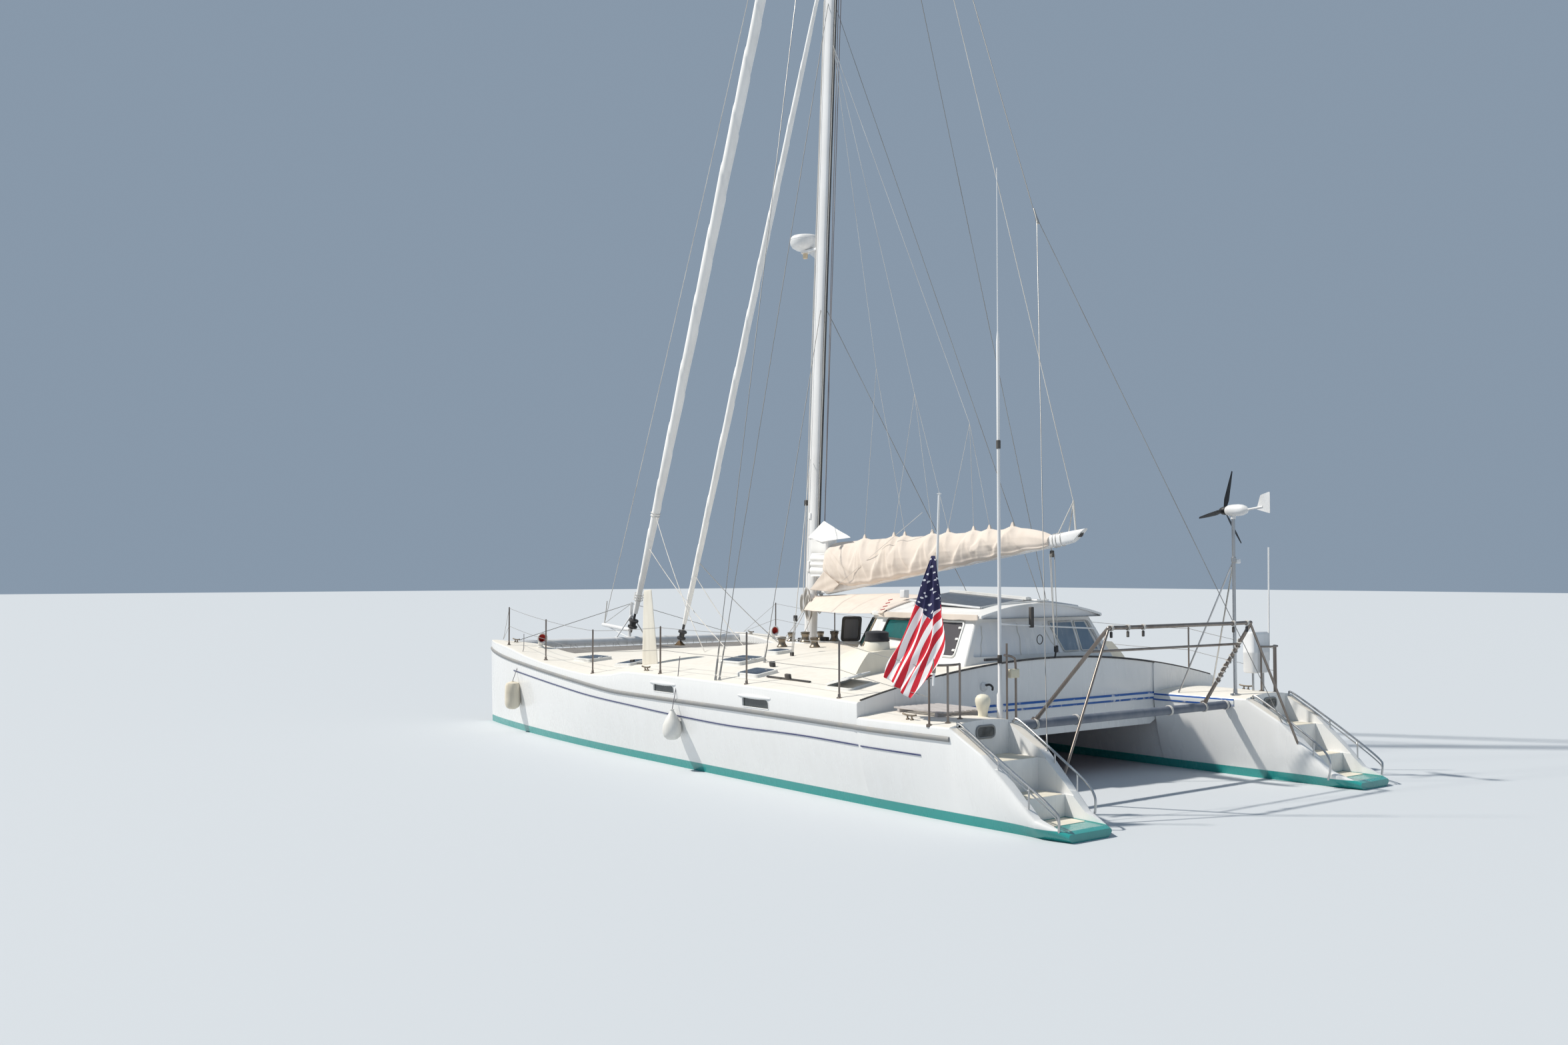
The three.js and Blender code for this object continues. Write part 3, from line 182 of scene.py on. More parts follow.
def mesh_of(name, shapes, tint, flip=False):
    """One mesh from several shapes, its faces turned outwards, or inwards if flip."""
    points, faces, start = [], [], 0
    for shape_points, shape_faces in shapes:
        points.append(shape_points)
        faces += [[start + i for i in face] for face in shape_faces]
        start += len(shape_points)
    mesh = bpy.data.meshes.new(name)
    mesh.from_pydata(np.concatenate(points).tolist(), [], faces)
    shell = bmesh.new()
    shell.from_mesh(mesh)
    bmesh.ops.recalc_face_normals(shell, faces=shell.faces)
    if flip:
        bmesh.ops.reverse_faces(shell, faces=shell.faces)
    shell.to_mesh(mesh)
    shell.free()
    mesh.materials.append(tint)
    return mesh


def smooth(mesh, sharp):
    """Shade a mesh smooth, up to the angle sharp between two faces."""
    mesh.polygons.foreach_set("use_smooth", np.ones(len(mesh.polygons), bool))
    mesh.set_sharp_from_angle(angle=math.radians(sharp))


def piece(name, shapes, tint, stands_for=None, body="boat", sharp=35, flip=False):
    """One mesh object from several shapes, with its body and the node that it replaces."""
    mesh = mesh_of(name, shapes, tint, flip)
    smooth(mesh, sharp)
    thing = bpy.data.objects.new(name, mesh)
    bpy.context.scene.collection.objects.link(thing)
    if body:
        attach(thing, body)
    if stands_for:
        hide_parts(stands_for)
    return thing


def block(x0, x1, y0, y1, z0, z1):
    """A box as two rings of four points."""
    ring = np.array([(x0, y0), (x1, y0), (x1, y1), (x0, y1)])
    grid = np.stack([at_level(ring, z) for z in (z0, z1)])
    return skin(grid)


def round_box(x0, x1, y0, y1, z0, z1, r, steps=3):
    """A box whose edges are rounded by r: rings of a rounded outline, drawn in near the top and bottom."""
    turn = np.linspace(0, np.pi / 2, steps + 1)
    rings = []
    levels = [(z0 + r - r * math.cos(a), r - r * math.sin(a)) for a in turn]
    levels += [(z1 - r + r * math.sin(a), r - r * math.cos(a)) for a in turn]
    for z, inset in levels:
        corner = r + 1e-5
        ring = []
        for i, (cx, cy) in enumerate(((x1 - r, y1 - r), (x0 + r, y1 - r), (x0 + r, y0 + r),
                (x1 - r, y0 + r))):
            a = turn + i * np.pi / 2
            reach = corner - inset
            ring.append(xyz(cx + reach * np.cos(a), cy + reach * np.sin(a), z))
        rings.append(np.concatenate(ring))
    return skin(np.stack(rings))


def placed(shape, matrix):
    """The shape's points carried by a 4 by 4 matrix."""
    points, faces = shape
    matrix = np.array(matrix)
    return points @ matrix[:3, :3].T + matrix[:3, 3], faces


def moved(shape, at):
    """The shape moved by a distance."""
    return placed(shape, Matrix.Translation(at))


def at_level(flat, z):
    """A flat outline as points at one height."""
    return np.column_stack([flat, np.full(len(flat), z)])


def mirrored(shape):
    """The shape on the other side of the boat: y turned round."""
    points, faces = shape
    return points * (1, -1, 1), [face[::-1] for face in faces]


def feed(tree, node, **inputs):
    """Give inputs of a node a value or a link from an output; _ stands for a space in their names."""
    for key, value in inputs.items():
        socket = node.inputs[key.replace("_", " ")]
        if hasattr(value, "is_output"):
            tree.links.new(value, socket)
        else:
            socket.default_value = value


def node(tree, kind, settings=None, **inputs):
    """A new shader node with its settings and inputs."""
    made = tree.nodes.new("ShaderNode" + kind)
    for key, value in (settings or {}).items():
        setattr(made, key, value)
    feed(tree, made, **inputs)
    return made


def calc(tree, kind, *values):
    """The output of a sum worked out by a maths node from values or outputs."""
    made = node(tree, "Math", {"operation": kind})
    for socket, value in zip(made.inputs, values):
        if hasattr(value, "is_output"):
            tree.links.new(value, socket)
        else:
            socket.default_value = value
    return made.outputs["Value"]


def mixed(tree, share, first, second):
    """The output of a node that mixes two colours by a share."""
    return node(tree, "Mix", {"data_type": "RGBA"}, Factor=share, A=first, B=second).outputs["Result"]


def ranged(tree, value, low, high, to_low=0.0, to_high=1.0):
    """The output of a node that carries one range of values to another."""
    return node(tree, "MapRange", Value=value, From_Min=low, From_Max=high, To_Min=to_low,
        To_Max=to_high).outputs["Result"]


def object_place(tree):
    """The output that gives each point's place on the boat."""
    return node(tree, "TexCoord").outputs["Object"]


def weathering():
    """Node group: a colour broken by broad stains, upright streaks and a fine grain, with their height."""
    group = bpy.data.node_groups.new("weathering", "ShaderNodeTree")
    for name, kind, value in (("Colour", "Color", (0.8, 0.8, 0.8, 1)),
            ("Stain", "Color", (0.4, 0.36, 0.3, 1)), ("Amount", "Float", 0.15), ("Grain", "Float", 120.0),
            ("Roughness", "Float", 0.4)):
        socket = group.interface.new_socket(name=name, in_out="INPUT", socket_type="NodeSocket" + kind)
        socket.default_value = value
    for name, kind in (("Colour", "Color"), ("Roughness", "Float"), ("Height", "Float")):
        group.interface.new_socket(name=name, in_out="OUTPUT", socket_type="NodeSocket" + kind)
    given = group.nodes.new("NodeGroupInput").outputs
    place = object_place(group)

    def noise(scale, detail, stretch):
        stretched = node(group, "Mapping", Vector=place, Scale=stretch).outputs["Vector"]
        return node(group, "TexNoise", Vector=stretched, Scale=scale, Detail=detail).outputs["Fac"]

    both = calc(group, "MULTIPLY", noise(1.3, 4, (1, 1, 1)), noise(9.0, 3, (1, 1, 0.09)))
    spread = ranged(group, both, 0.16, 0.42)
    share = calc(group, "MULTIPLY", spread, given["Amount"])
    feed(group, group.nodes.new("NodeGroupOutput"),
        Colour=mixed(group, share, given["Colour"], given["Stain"]),
        Roughness=calc(group, "MULTIPLY_ADD", spread, 0.22, given["Roughness"]),
        Height=noise(given["Grain"], 2, (1, 1, 1)))
    return group


WEATHERING = weathering()


def bare(name):
    """A new material, its node tree and its shader."""
    material = bpy.data.materials.new(name)
    material.use_nodes = True
    return material, material.node_tree, material.node_tree.nodes["Principled BSDF"]


def worn(name, colour, roughness, stain, amount, grain=120.0):
    """A material coloured and roughened by the weathering group, with its tree, shader and group."""
    material, tree, shader = bare(name)
    group = node(tree, "Group", {"node_tree": WEATHERING, "name": "worn"}, Colour=(*colour, 1),
        Stain=(*stain, 1), Amount=amount, Grain=grain, Roughness=roughness)
    feed(tree, shader, Base_Color=group.outputs["Colour"], Roughness=group.outputs["Roughness"])
    return material, tree, shader, group


def paint(name, colour, roughness=0.4, stain=(0.42, 0.38, 0.31), amount=0.12, grain=140.0, bump=0.02,
        metal=0.0, coat=0.0, depth=0.004):
    """A finish whose colour, roughness and height come from the weathering group."""
    material, tree, shader, group = worn(name, colour, roughness, stain, amount, grain)
    relief = node(tree, "Bump", {"name": "relief"}, Strength=bump, Distance=depth,
        Height=group.outputs["Height"])
    feed(tree, shader, Normal=relief.outputs["Normal"], Metallic=metal, Coat_Weight=coat)
    return material


def angles(count):
    """Even angles round a circle."""
    return np.linspace(0, 2 * np.pi, count, endpoint=False)


def banded(material, low_colour, level, softness=0.004):
    """Below a height, the material takes another colour, as bottom paint does at the waterline."""
    tree = material.node_tree
    height = node(tree, "SeparateXYZ", Vector=object_place(tree)).outputs["Z"]
    share = ranged(tree, height, level - softness, level + softness)
    own = tree.nodes["worn"].outputs["Colour"]
    feed(tree, tree.nodes["Principled BSDF"], Base_Color=mixed(tree, share, (*low_colour, 1), own))
    return material


topsides = banded(paint("topsides", (0.82, 0.82, 0.81), 0.2, amount=0.06, grain=60, bump=0.01, coat=0.4),
    (0.02, 0.3, 0.28), 0.115)
deck_paint = paint("deck_paint", (0.8, 0.76, 0.69), 0.62, amount=0.2, grain=420, bump=0.25, depth=0.002)


def cut_away(thing, cutters):
    """Boolean differences, one after the other, kept in the thing's own mesh."""
    for shape, tint in cutters:
        mesh = mesh_of("cutter", [shape], tint)
        tool = bpy.data.objects.new("cutter", mesh)
        bpy.context.scene.collection.objects.link(tool)
        modifier = thing.modifiers.new("cut", "BOOLEAN")
        modifier.operation = "DIFFERENCE"
        modifier.solver = "EXACT"
        modifier.object = tool
        if hasattr(modifier, "material_mode"):
            modifier.material_mode = "TRANSFER"
        graph = bpy.context.evaluated_depsgraph_get()
        result = bpy.data.meshes.new_from_object(thing.evaluated_get(graph))
        thing.modifiers.clear()
        old = thing.data
        name = old.name
        thing.data = result
        bpy.data.meshes.remove(old)
        result.name = name
        bpy.data.objects.remove(tool)
        bpy.data.meshes.remove(mesh)
    smooth(thing.data, 32)


def repaint(thing, tint, chosen):
    """Faces that a rule picks, by how far each looks up and how high it lies, take a second finish."""
    mesh = thing.data
    mesh.materials.append(tint)
    count = len(mesh.polygons)
    normal, middle, index = np.zeros(count * 3), np.zeros(count * 3), np.zeros(count, int)
    mesh.polygons.foreach_get("normal", normal)
    mesh.polygons.foreach_get("center", middle)
    mesh.polygons.foreach_get("material_index", index)
    index[chosen(normal[2::3], middle[2::3])] = len(mesh.materials) - 1
    mesh.polygons.foreach_set("material_index", index)


SIDES = (("port", lambda shape: shape), ("starboard", mirrored))
WAYS = (("port", 1), ("starboard", -1))
stations = np.unique(np.concatenate([np.linspace(-7.06, -4.221, 34), np.linspace(-4.2195, 6.85, 74),
    HULL_X[:5]]))
rings = hull_rings(stations)
stem = np.array([[1, math.cos(a), 0.045 * math.sin(a)] for a in np.radians((30, 55, 75, 88))])
nose = np.stack([xyz(rings[-1, :, 0] + ahead, HULL_Y + (rings[-1, :, 1] - HULL_Y) * narrow,
    rings[-1, :, 2]) for _, narrow, ahead in stem])
hull_shape = skin(np.concatenate([rings, nose]))
STEPS = ((-5.59, 0.7, 0.37), (-6.04, 0.35, 0.355), (-6.43, 0.11, 0.34))
for side, turn in SIDES:
    hull = piece(f"hull_skin_{side}", [turn(hull_shape)], topsides, f"hull_{side}")
    cut_away(hull, [(turn(block(-7.4, x, HULL_Y - w, HULL_Y + w, z, 1.4)), topsides) for x, z, w in STEPS])
    repaint(hull, deck_paint, lambda up, height: (up > 0.8) & (height > 0.55))

# Bridgedeck
# The flush deck goes straight across between the hulls, crowned in the middle. Below it the wet deck is
# painted dark red, and aft it ends in an upright wall with a white moulding along it.
UNDER_X = np.array([-4.2, 1.5, 2.1, 3.3, 4.6])
UNDER_Z = np.array([0.61, 0.64, 0.7, 0.9, 1.17])
bridge_x = np.unique(np.concatenate([np.linspace(-4.2, 4.6, 60), UNDER_X]))
inner = HULL_Y - fair(bridge_x, HULL_X, HALF_DECK) + 0.03
top_rows = [(s * inner, deck_height(bridge_x, s * inner)) for s in np.linspace(1, -1, 25)]
wet = np.interp(bridge_x, UNDER_X, UNDER_Z)
low_rows = [(s * (inner + 0.12), wet + 0.1 * max(abs(s) - 0.9, 0) / 0.1) for s in np.linspace(-1, 1, 21)]
bridge_grid = np.stack([xyz(bridge_x, y, z) for y, z in top_rows + low_rows], 1)
wet_paint = paint("wet_deck_paint", (0.25, 0.035, 0.035), 0.55, amount=0.25)
bridge = piece("bridgedeck_skin", [skin(bridge_grid)], topsides, "bridgedeck")
well = np.array([(-1.02, 0.4), (-1.78, 1.06), (-3.86, 1.3)])


def both_sides(half):
    """A closed plan from its port half."""
    return np.concatenate([half, (half * (1, -1))[::-1]])


well = both_sides(well)
well_shape = skin(np.stack([at_level(well, z) for z in (0.7, 2.0)]))
sole_paint = paint("sole_paint", (0.55, 0.5, 0.42), 0.6, amount=0.3, grain=300, bump=0.2)
cut_away(bridge, [(well_shape, sole_paint), (block(-0.06, 0.26, -0.465, -0.145, 1.38, 2.0), sole_paint)])
repaint(bridge, deck_paint, lambda up, height: (up > 0.8) & (height > 1.2))
repaint(bridge, wet_paint, lambda up, height: (up < -0.5) & (height < 1.25))

# Trim along the hulls
# A grey half-round rub rail of rubber and a thin dark blue painted line run along each outer side. Above
# the rail two small lights are let into the side, each under a moulded eyebrow.
RUB_X = np.array([-5.8, -4.5, -2.2, 1.1, 2.5, 5.4, 6.8])
RUB_Z = np.array([0.915, 0.925, 0.945, 0.955, 1.03, 1.21, 1.335])
LINE_X = np.array([-6.0, -4.33, -3.15, -1.7, -0.15, 0.8, 1.85, 3.58, 5.25])
LINE_Z = np.array([0.695, 0.718, 0.735, 0.716, 0.75, 0.787, 0.83, 0.929, 1.03])


def hull_strip(xs, heights, profile):
    """A bar along a hull's outer side: at each station, (rise, stand-off) pairs from the skin."""
    rows = [xyz(xs, HULL_Y + side_reach(xs, heights + rise) + out, heights + rise)
        for rise, out in profile]
    return skin(np.stack(rows, 1))


def unit(rows):
    """Each row made one long."""
    return rows / np.linalg.norm(rows, axis=1, keepdims=True)


def rounded(points, reach, steps=6):
    """A closed outline whose corners are parabolas that begin the distance reach from each corner."""
    p = np.asarray(points, float)
    before, after = np.roll(p, 1, 0) - p, np.roll(p, -1, 0) - p
    reach = np.broadcast_to(reach, len(p))[:, None]
    a, b = p + unit(before) * reach, p + unit(after) * reach
    s = np.linspace(0, 1, steps)[None, :, None]
    return ((1 - s) ** 2 * a[:, None] + 2 * s * (1 - s) * p[:, None] + s * s * b[:, None]).reshape(-1,
        p.shape[1])


def tube(path, radius, sides=10):
    """A bar along a path: circles square to it, set out from the path's flattest direction."""
    path = np.asarray(path, float)
    way = unit(np.gradient(path, axis=0))
    flat = np.linalg.svd(path - path.mean(0))[2][-1]
    side = unit(np.cross(way, flat))
    lift = np.cross(side, way)
    a = angles(sides)
    r = np.broadcast_to(radius, len(path))[:, None, None]
    ring = np.cos(a)[None, :, None] * side[:, None] + np.sin(a)[None, :, None] * lift[:, None]
    return skin(path[:, None] + r * ring)


def loop(path, radius, sides=8):
    """A closed ring of bar along a flat closed path, each circle set out from the plane of the path."""
    path = np.asarray(path, float)
    way = unit(np.roll(path, -1, 0) - np.roll(path, 1, 0))
    flat = np.linalg.svd(path - path.mean(0))[2][-1]
    side = np.cross(way, flat)
    a = angles(sides)
    ring = np.cos(a)[None, :, None] * side[:, None] + np.sin(a)[None, :, None] * flat
    grid = path[:, None] + radius * ring
    return skin(np.concatenate([grid, grid[:1]]), ends=False)


def prism(outline, back, front):
    """A plate: the outline moved by two offsets, with a flat face at each."""
    outline = np.asarray(outline, float)
    return skin(np.stack([outline + back, outline + front]))


rub_x = np.linspace(-5.6, 6.8, 110)
line_x = np.linspace(-5.18, 5.25, 140)
half_round = [(0.03 * math.sin(a), 0.026 * math.cos(a)) for a in np.radians((-90, -60, -30, 0, 30, 60, 90))]
half_round += [(0.03, -0.006), (-0.03, -0.006)]
rub_rail = hull_strip(rub_x, fair(rub_x, RUB_X, RUB_Z), half_round)
fine_line = hull_strip(line_x, fair(line_x, LINE_X, LINE_Z),
    [(-0.008, 0.01), (0.008, 0.01), (0.008, -0.004), (-0.008, -0.004)])
rubber_grey = paint("rubber_grey", (0.25, 0.255, 0.26), 0.5, amount=0.35, grain=90, bump=0.06)
line_blue = paint("line_blue", (0.025, 0.035, 0.13), 0.35, (0.3, 0.32, 0.4), 0.3)
smoked = paint("smoked_pane", (0.02, 0.028, 0.03), 0.08, (0.1, 0.11, 0.11), 0.35, bump=0.0, coat=0.5)
frame_white = paint("frame_white", (0.78, 0.78, 0.76), 0.35, amount=0.25, bump=0.02)
SIDE_PORTS = ((-0.35, 0.17, 1.05, 1.145), (-2.53, -1.98, 1.005, 1.115))


def port_outline(x0, x1, z0, z1, grow=0.0):
    """Outline of a side light on the hull's skin: a rounded bar whose after top corner is drawn well in."""
    flat = np.array([(x0 - grow, z0 - grow), (x1 + grow, z0 - grow), (x1 + grow, z1 + grow),
        (x0 - grow, z1 + grow)])
    x, z = rounded(flat, (0.02, 0.02, 0.02, 0.06)).T
    return xyz(x, HULL_Y + side_reach(x, z), z)


def eyebrow(x0, x1, z):
    """A moulded brow: half a lens in section, its depth falling to nothing at both ends as a sine."""
    x = np.linspace(x0 - 0.05, x1 + 0.09, 22)
    swell = np.sin(np.pi * np.linspace(0.04, 0.96, 22)) ** 0.6
    rows = [(0.03 * math.cos(a), 0.034 * math.sin(a)) for a in np.linspace(0, math.pi, 9)] + [(0, -0.01)]
    grid = [xyz(x, HULL_Y + side_reach(x, z + rise * swell) + out * swell, z + rise * swell)
        for rise, out in rows]
    return skin(np.stack(grid, 1))


for side, turn in SIDES:
    outlines = [port_outline(*light) for light in SIDE_PORTS]
    cut_away(bpy.data.objects[f"hull_skin_{side}"],
        [(turn(prism(outline, (0, -0.03, 0), (0, 0.05, 0))), topsides) for outline in outlines])
    piece(f"rub_rail_{side}", [turn(rub_rail)], rubber_grey)
    piece(f"fine_line_{side}", [turn(fine_line)], line_blue)
    piece(f"side_port_panes_{side}", [turn(prism(outline, (0, -0.028, 0), (0, -0.018, 0)))
        for outline in outlines], smoked)
    rims = [turn(loop(port_outline(*light, grow=0.006), 0.007)) for light in SIDE_PORTS]
    rims += [turn(eyebrow(x0, x1, z1 + 0.022)) for x0, x1, z0, z1 in SIDE_PORTS]
    piece(f"side_port_rims_{side}", rims, topsides)

# Moulding across the stern
# A white moulding with a worn blue line along each edge crosses the after wall and runs on along the
# inner edge of each after deck. A dark rubber capping covers the top edge of the wall.
MOULD_LOW = 0.955
MOULD_HIGH = 1.055


def edge_lined(name, low, high, width, line_colour, ground_colour):
    """White between two heights, with a line of another colour along each, rubbed through in places."""
    material = paint(name, ground_colour, 0.35, amount=0.2)
    tree = material.node_tree
    place = object_place(tree)
    height = node(tree, "SeparateXYZ", Vector=place).outputs["Z"]
    far = calc(tree, "ABSOLUTE", calc(tree, "SUBTRACT", height, (low + high) / 2))
    left = ranged(tree, node(tree, "TexNoise", Vector=place, Scale=7.0, Detail=6.0).outputs["Fac"], 0.3,
        0.42)
    share = calc(tree, "MULTIPLY", calc(tree, "GREATER_THAN", far, (high - low) / 2 - width), left)
    own = tree.nodes["worn"].outputs["Colour"]
    feed(tree, tree.nodes["Principled BSDF"], Base_Color=mixed(tree, share, own, (*line_colour, 1)))
    return material


def beading(path, low, high, out, normal):
    """A strip with a rounded face along a level path, standing out along normal."""
    path = np.asarray(path, float)[:, None]
    profile = np.array([(low, -0.01), (low, out * 0.6), (low + 0.012, out), (high - 0.012, out),
        (high, out * 0.6), (high, -0.01)])
    grid = path + profile[None, :, 1:] * np.asarray(normal, float)[:, None]
    grid[..., 2] += profile[None, :, 0]
    return skin(grid)


wall_y = np.linspace(-2.05, 2.05, 30)
across = xyz(-4.2, wall_y, 0)
aft_x = np.linspace(-4.2, -5.42, 16)
inner_edge = xyz(aft_x, HULL_Y - side_reach(aft_x, 0.96), 0)
mould_shapes = [beading(across, MOULD_LOW, MOULD_HIGH, 0.014, np.tile((-1, 0, 0), (30, 1)))]
side_bead = beading(inner_edge, 0.935, 1.03, 0.012, np.tile((0, -1, 0), (16, 1)))
piece("stern_moulding", mould_shapes, edge_lined("mould_lined", MOULD_LOW, MOULD_HIGH, 0.028,
    (0.02, 0.12, 0.42), (0.8, 0.82, 0.83)))
side_lined = edge_lined("side_lined", 0.935, 1.03, 0.022, (0.02, 0.1, 0.38), (0.74, 0.76, 0.76))
piece("after_deck_mouldings", [side_bead, mirrored(side_bead)], side_lined)
cap_y = np.linspace(-3.36, 3.36, 60)
cap_path = xyz(STEP_X + 0.012, cap_y, deck_height(STEP_X + 0.01, cap_y) + 0.006)
black_rubber = paint("black_rubber", (0.03, 0.03, 0.035), 0.6, amount=0.3, bump=0.1)
piece("wall_capping", [tube(cap_path, 0.013)], black_rubber)

# Stern steps
# Each scoop has three moulded treads with a sanded cream pad, an oval light in the bulkhead at their top
# and a stainless handrail along each side wall.
pad_paint = paint("tread_pads", (0.72, 0.67, 0.56), 0.75, amount=0.25, grain=500, bump=0.4, depth=0.002)
steel = paint("polished_steel", (0.58, 0.59, 0.6), 0.2, (0.2, 0.16, 0.12), 0.35, bump=0.01, metal=1.0)
pads = []
for back, (x, z, width) in zip((-6.03, -6.42, -6.74), STEPS):
    w = width - 0.03
    outline = rounded([(x - 0.02, HULL_Y - w), (x - 0.02, HULL_Y + w), (back, HULL_Y + w),
        (back, HULL_Y - w)], 0.04)
    flat = at_level(outline, z)
    pads.append(prism(flat, (0, 0, -0.003), (0, 0, 0.004)))
oval = rounded([(2.59, 0.895), (2.87, 0.895), (2.87, 1.025), (2.59, 1.025)], 0.06, 8)
oval = xyz(-5.592, *oval.T)
OUTER_RAIL = [(-5.6, 3.17, 1.05), (-5.66, 3.175, 1.07), (-6.2, 3.165, 0.76), (-6.7, 3.13, 0.46),
    (-6.92, 3.11, 0.31), (-6.96, 3.1, 0.24), (-6.95, 3.09, 0.1)]
INNER_RAIL = [(-5.6, 2.3, 1.05), (-5.7, 2.29, 1.06), (-6.2, 2.285, 0.76), (-6.6, 2.27, 0.5),
    (-6.72, 2.262, 0.36), (-6.73, 2.262, 0.22), (-6.7, 2.262, 0.1)]


def spline(points, count=40):
    """A smooth path through points: each coordinate is a Catmull-Rom cubic of the point's number."""
    p = np.asarray(points, float)
    p = np.concatenate([2 * p[:1] - p[1:2], p, 2 * p[-1:] - p[-2:-1]])
    t = np.linspace(0, len(p) - 3 - 1e-9, count)
    i = t.astype(int)
    f = (t - i)[:, None]
    a, b, c, d = p[i], p[i + 1], p[i + 2], p[i + 3]
    return 0.5 * (2 * b + (c - a) * f + (2 * a - 5 * b + 4 * c - d) * f ** 2 + (3 * b - a - 3 * c + d)
        * f ** 3)


hand_rails = [tube(spline(OUTER_RAIL), 0.0135), tube(spline(INNER_RAIL), 0.0135)]
hand_rails += [tube(spline(np.array(OUTER_RAIL[:6]) - (0, 0, 0.055)), 0.008)]
hand_rails += [tube([(x, y, z), (x, y + 0.005, low)], 0.01)
    for x, y, z, low in ((-6.2, 3.165, 0.76, 0.6), (-6.6, 3.14, 0.52, 0.25), (-6.2, 2.285, 0.76, 0.6),
    (-6.5, 2.275, 0.56, 0.33))]
for side, turn in SIDES:
    piece(f"tread_pads_{side}", [turn(pad) for pad in pads], pad_paint)
    piece(f"stern_light_pane_{side}", [turn(prism(oval, (0, 0, 0), (-0.006, 0, 0)))], smoked)
    piece(f"stern_light_rim_{side}", [turn(loop(oval + (-0.004, 0, 0), 0.013))], rubber_grey)
    piece(f"step_rails_{side}", [turn(shape) for shape in hand_rails], steel)

# Daggerboards
# A thin board slides in a leaning slot through each hull. Drawn right up here, its cream top stands more
# than a metre over the deck, out of a raised collar.
def along(shape, at, lean=0.0):
    """The shape leaned about y, then moved to its place."""
    return placed(shape, Matrix.Translation(at) @ Matrix.Rotation(lean, 4, "Y"))


BOARD_AT = (1.15, 2.9, 1.28)
BOARD_LEAN = math.radians(4)
board_z = np.concatenate([[-1.78, -1.776, -1.765, -1.74, -1.66], np.linspace(-1.5, 1.1, 12),
    [1.15, 1.172, 1.18]])
board_chord = np.interp(board_z, [-1.78, -1.776, -1.74, -1.66, 0.1, 1.15, 1.172, 1.18],
    [0.3, 0.34, 0.39, 0.44, 0.44, 0.222, 0.216, 0.204])
board_thick = np.interp(board_z, [-1.78, -1.765, -1.66, 0.1, 1.15, 1.172, 1.18],
    [0.02, 0.05, 0.06, 0.06, 0.048, 0.044, 0.036])
ring_turn = angles(40)
board_grid = xyz(board_chord[:, None] / 2 * np.cos(ring_turn),
    board_thick[:, None] / 2 * np.sin(ring_turn) * (1 + 0.12 * np.cos(ring_turn)) / 1.12,
    np.repeat(board_z[:, None], 40, 1))
board_cream = paint("board_cream", (0.77, 0.73, 0.64), 0.5, (0.3, 0.25, 0.17), 0.35, bump=0.03)
collar = along(round_box(-0.255, 0.255, -0.062, 0.062, -0.16, -0.095, 0.012), BOARD_AT, BOARD_LEAN)
slot_ring = xyz(0.224 * np.cos(ring_turn), 0.034 * np.sin(ring_turn), 0)
slot_hole = along(prism(slot_ring, (0, 0, -2.6), (0, 0, 0.6)), BOARD_AT, BOARD_LEAN)
for side, turn in SIDES:
    piece(f"board_{side}", [turn(along(skin(board_grid), BOARD_AT, BOARD_LEAN))], board_cream,
        f"daggerboard_{side}", body=f"daggerboard_{side}")
    cut_away(bpy.data.objects[f"hull_skin_{side}"], [(turn(slot_hole), topsides)])

# Rudders, saildrives and propellers
# Under each stern hang a black rudder on a stock and, ahead of it, a cast saildrive leg with a folding
# three-bladed propeller of bronze.
def foil(stations, sides=28):
    """A blade of streamlined sections: each station gives nose x, tail x, half thickness and height."""
    stations = np.asarray(stations, float)
    s = angles(sides)
    share = (1 - np.cos(s)) / 2
    bulge = np.sin(s) * (1 - share) ** 0.35 * 1.25
    nose, tail, half, z = (stations[:, i:i + 1] for i in range(4))
    return skin(xyz(nose + (tail - nose) * share, half * bulge, z))


def turned(profile, sides=24):
    """A solid of revolution about z, from pairs of radius and height."""
    profile = np.asarray(profile, float)
    a = angles(sides)
    return skin(xyz(profile[:, :1] * np.cos(a), profile[:, :1] * np.sin(a),
        np.repeat(profile[:, 1:], sides, 1)))


def stand(at, way=(0, 0, 1), front=(1, 0, 0)):
    """The matrix that carries the origin to a point and z to a direction."""
    z = Vector(way).normalized()
    front = Vector(front)
    if abs(z.dot(front.normalized())) > 0.95:
        front = Vector((0, 0, 1)) if abs(z.z) < 0.9 else Vector((0, 1, 0))
    x = (front - z * z.dot(front)).normalized()
    turn = Matrix((x, z.cross(x), z)).transposed().to_4x4()
    return Matrix.Translation(at) @ turn


blade = foil([(-5.71, -6.0, 0.01, -1.15), (-5.68, -6.01, 0.022, -1.13), (-5.66, -6.05, 0.025, -1.05),
    (-5.655, -6.075, 0.025, -0.6), (-5.655, -6.075, 0.025, -0.285)])
stock = tube([(-5.76, 0, -0.33), (-5.76, 0, 0.06)], 0.024, 20)
leg = foil([(-3.925, -4.115, 0.03, -0.8), (-3.9, -4.135, 0.04, -0.52), (-3.88, -4.16, 0.05, -0.385)])
pod = placed(turned([(0.004, 0), (0.03, 0.02), (0.044, 0.06), (0.048, 0.11), (0.047, 0.32),
    (0.03, 0.321)]), stand((-3.87, 0, -0.8), (-1, 0, 0)))
hub = placed(turned([(0.044, 0), (0.044, 0.06), (0.04, 0.08), (0.022, 0.105), (0.004, 0.12)]),
    stand((-4.1903, 0, -0.8), (-1, 0, 0)))
blade_s, blade_t = np.meshgrid(np.linspace(0, 1, 9), angles(16), indexing="ij")
chord = 0.03 + 0.042 * np.sin(np.pi * np.clip(blade_s, 0.05, 0.97))
twist = math.radians(66) - math.radians(32) * blade_s
reach = 0.035 + 0.165 * blade_s
flat_y, flat_x = chord * np.cos(blade_t), 0.005 * np.sin(blade_t)
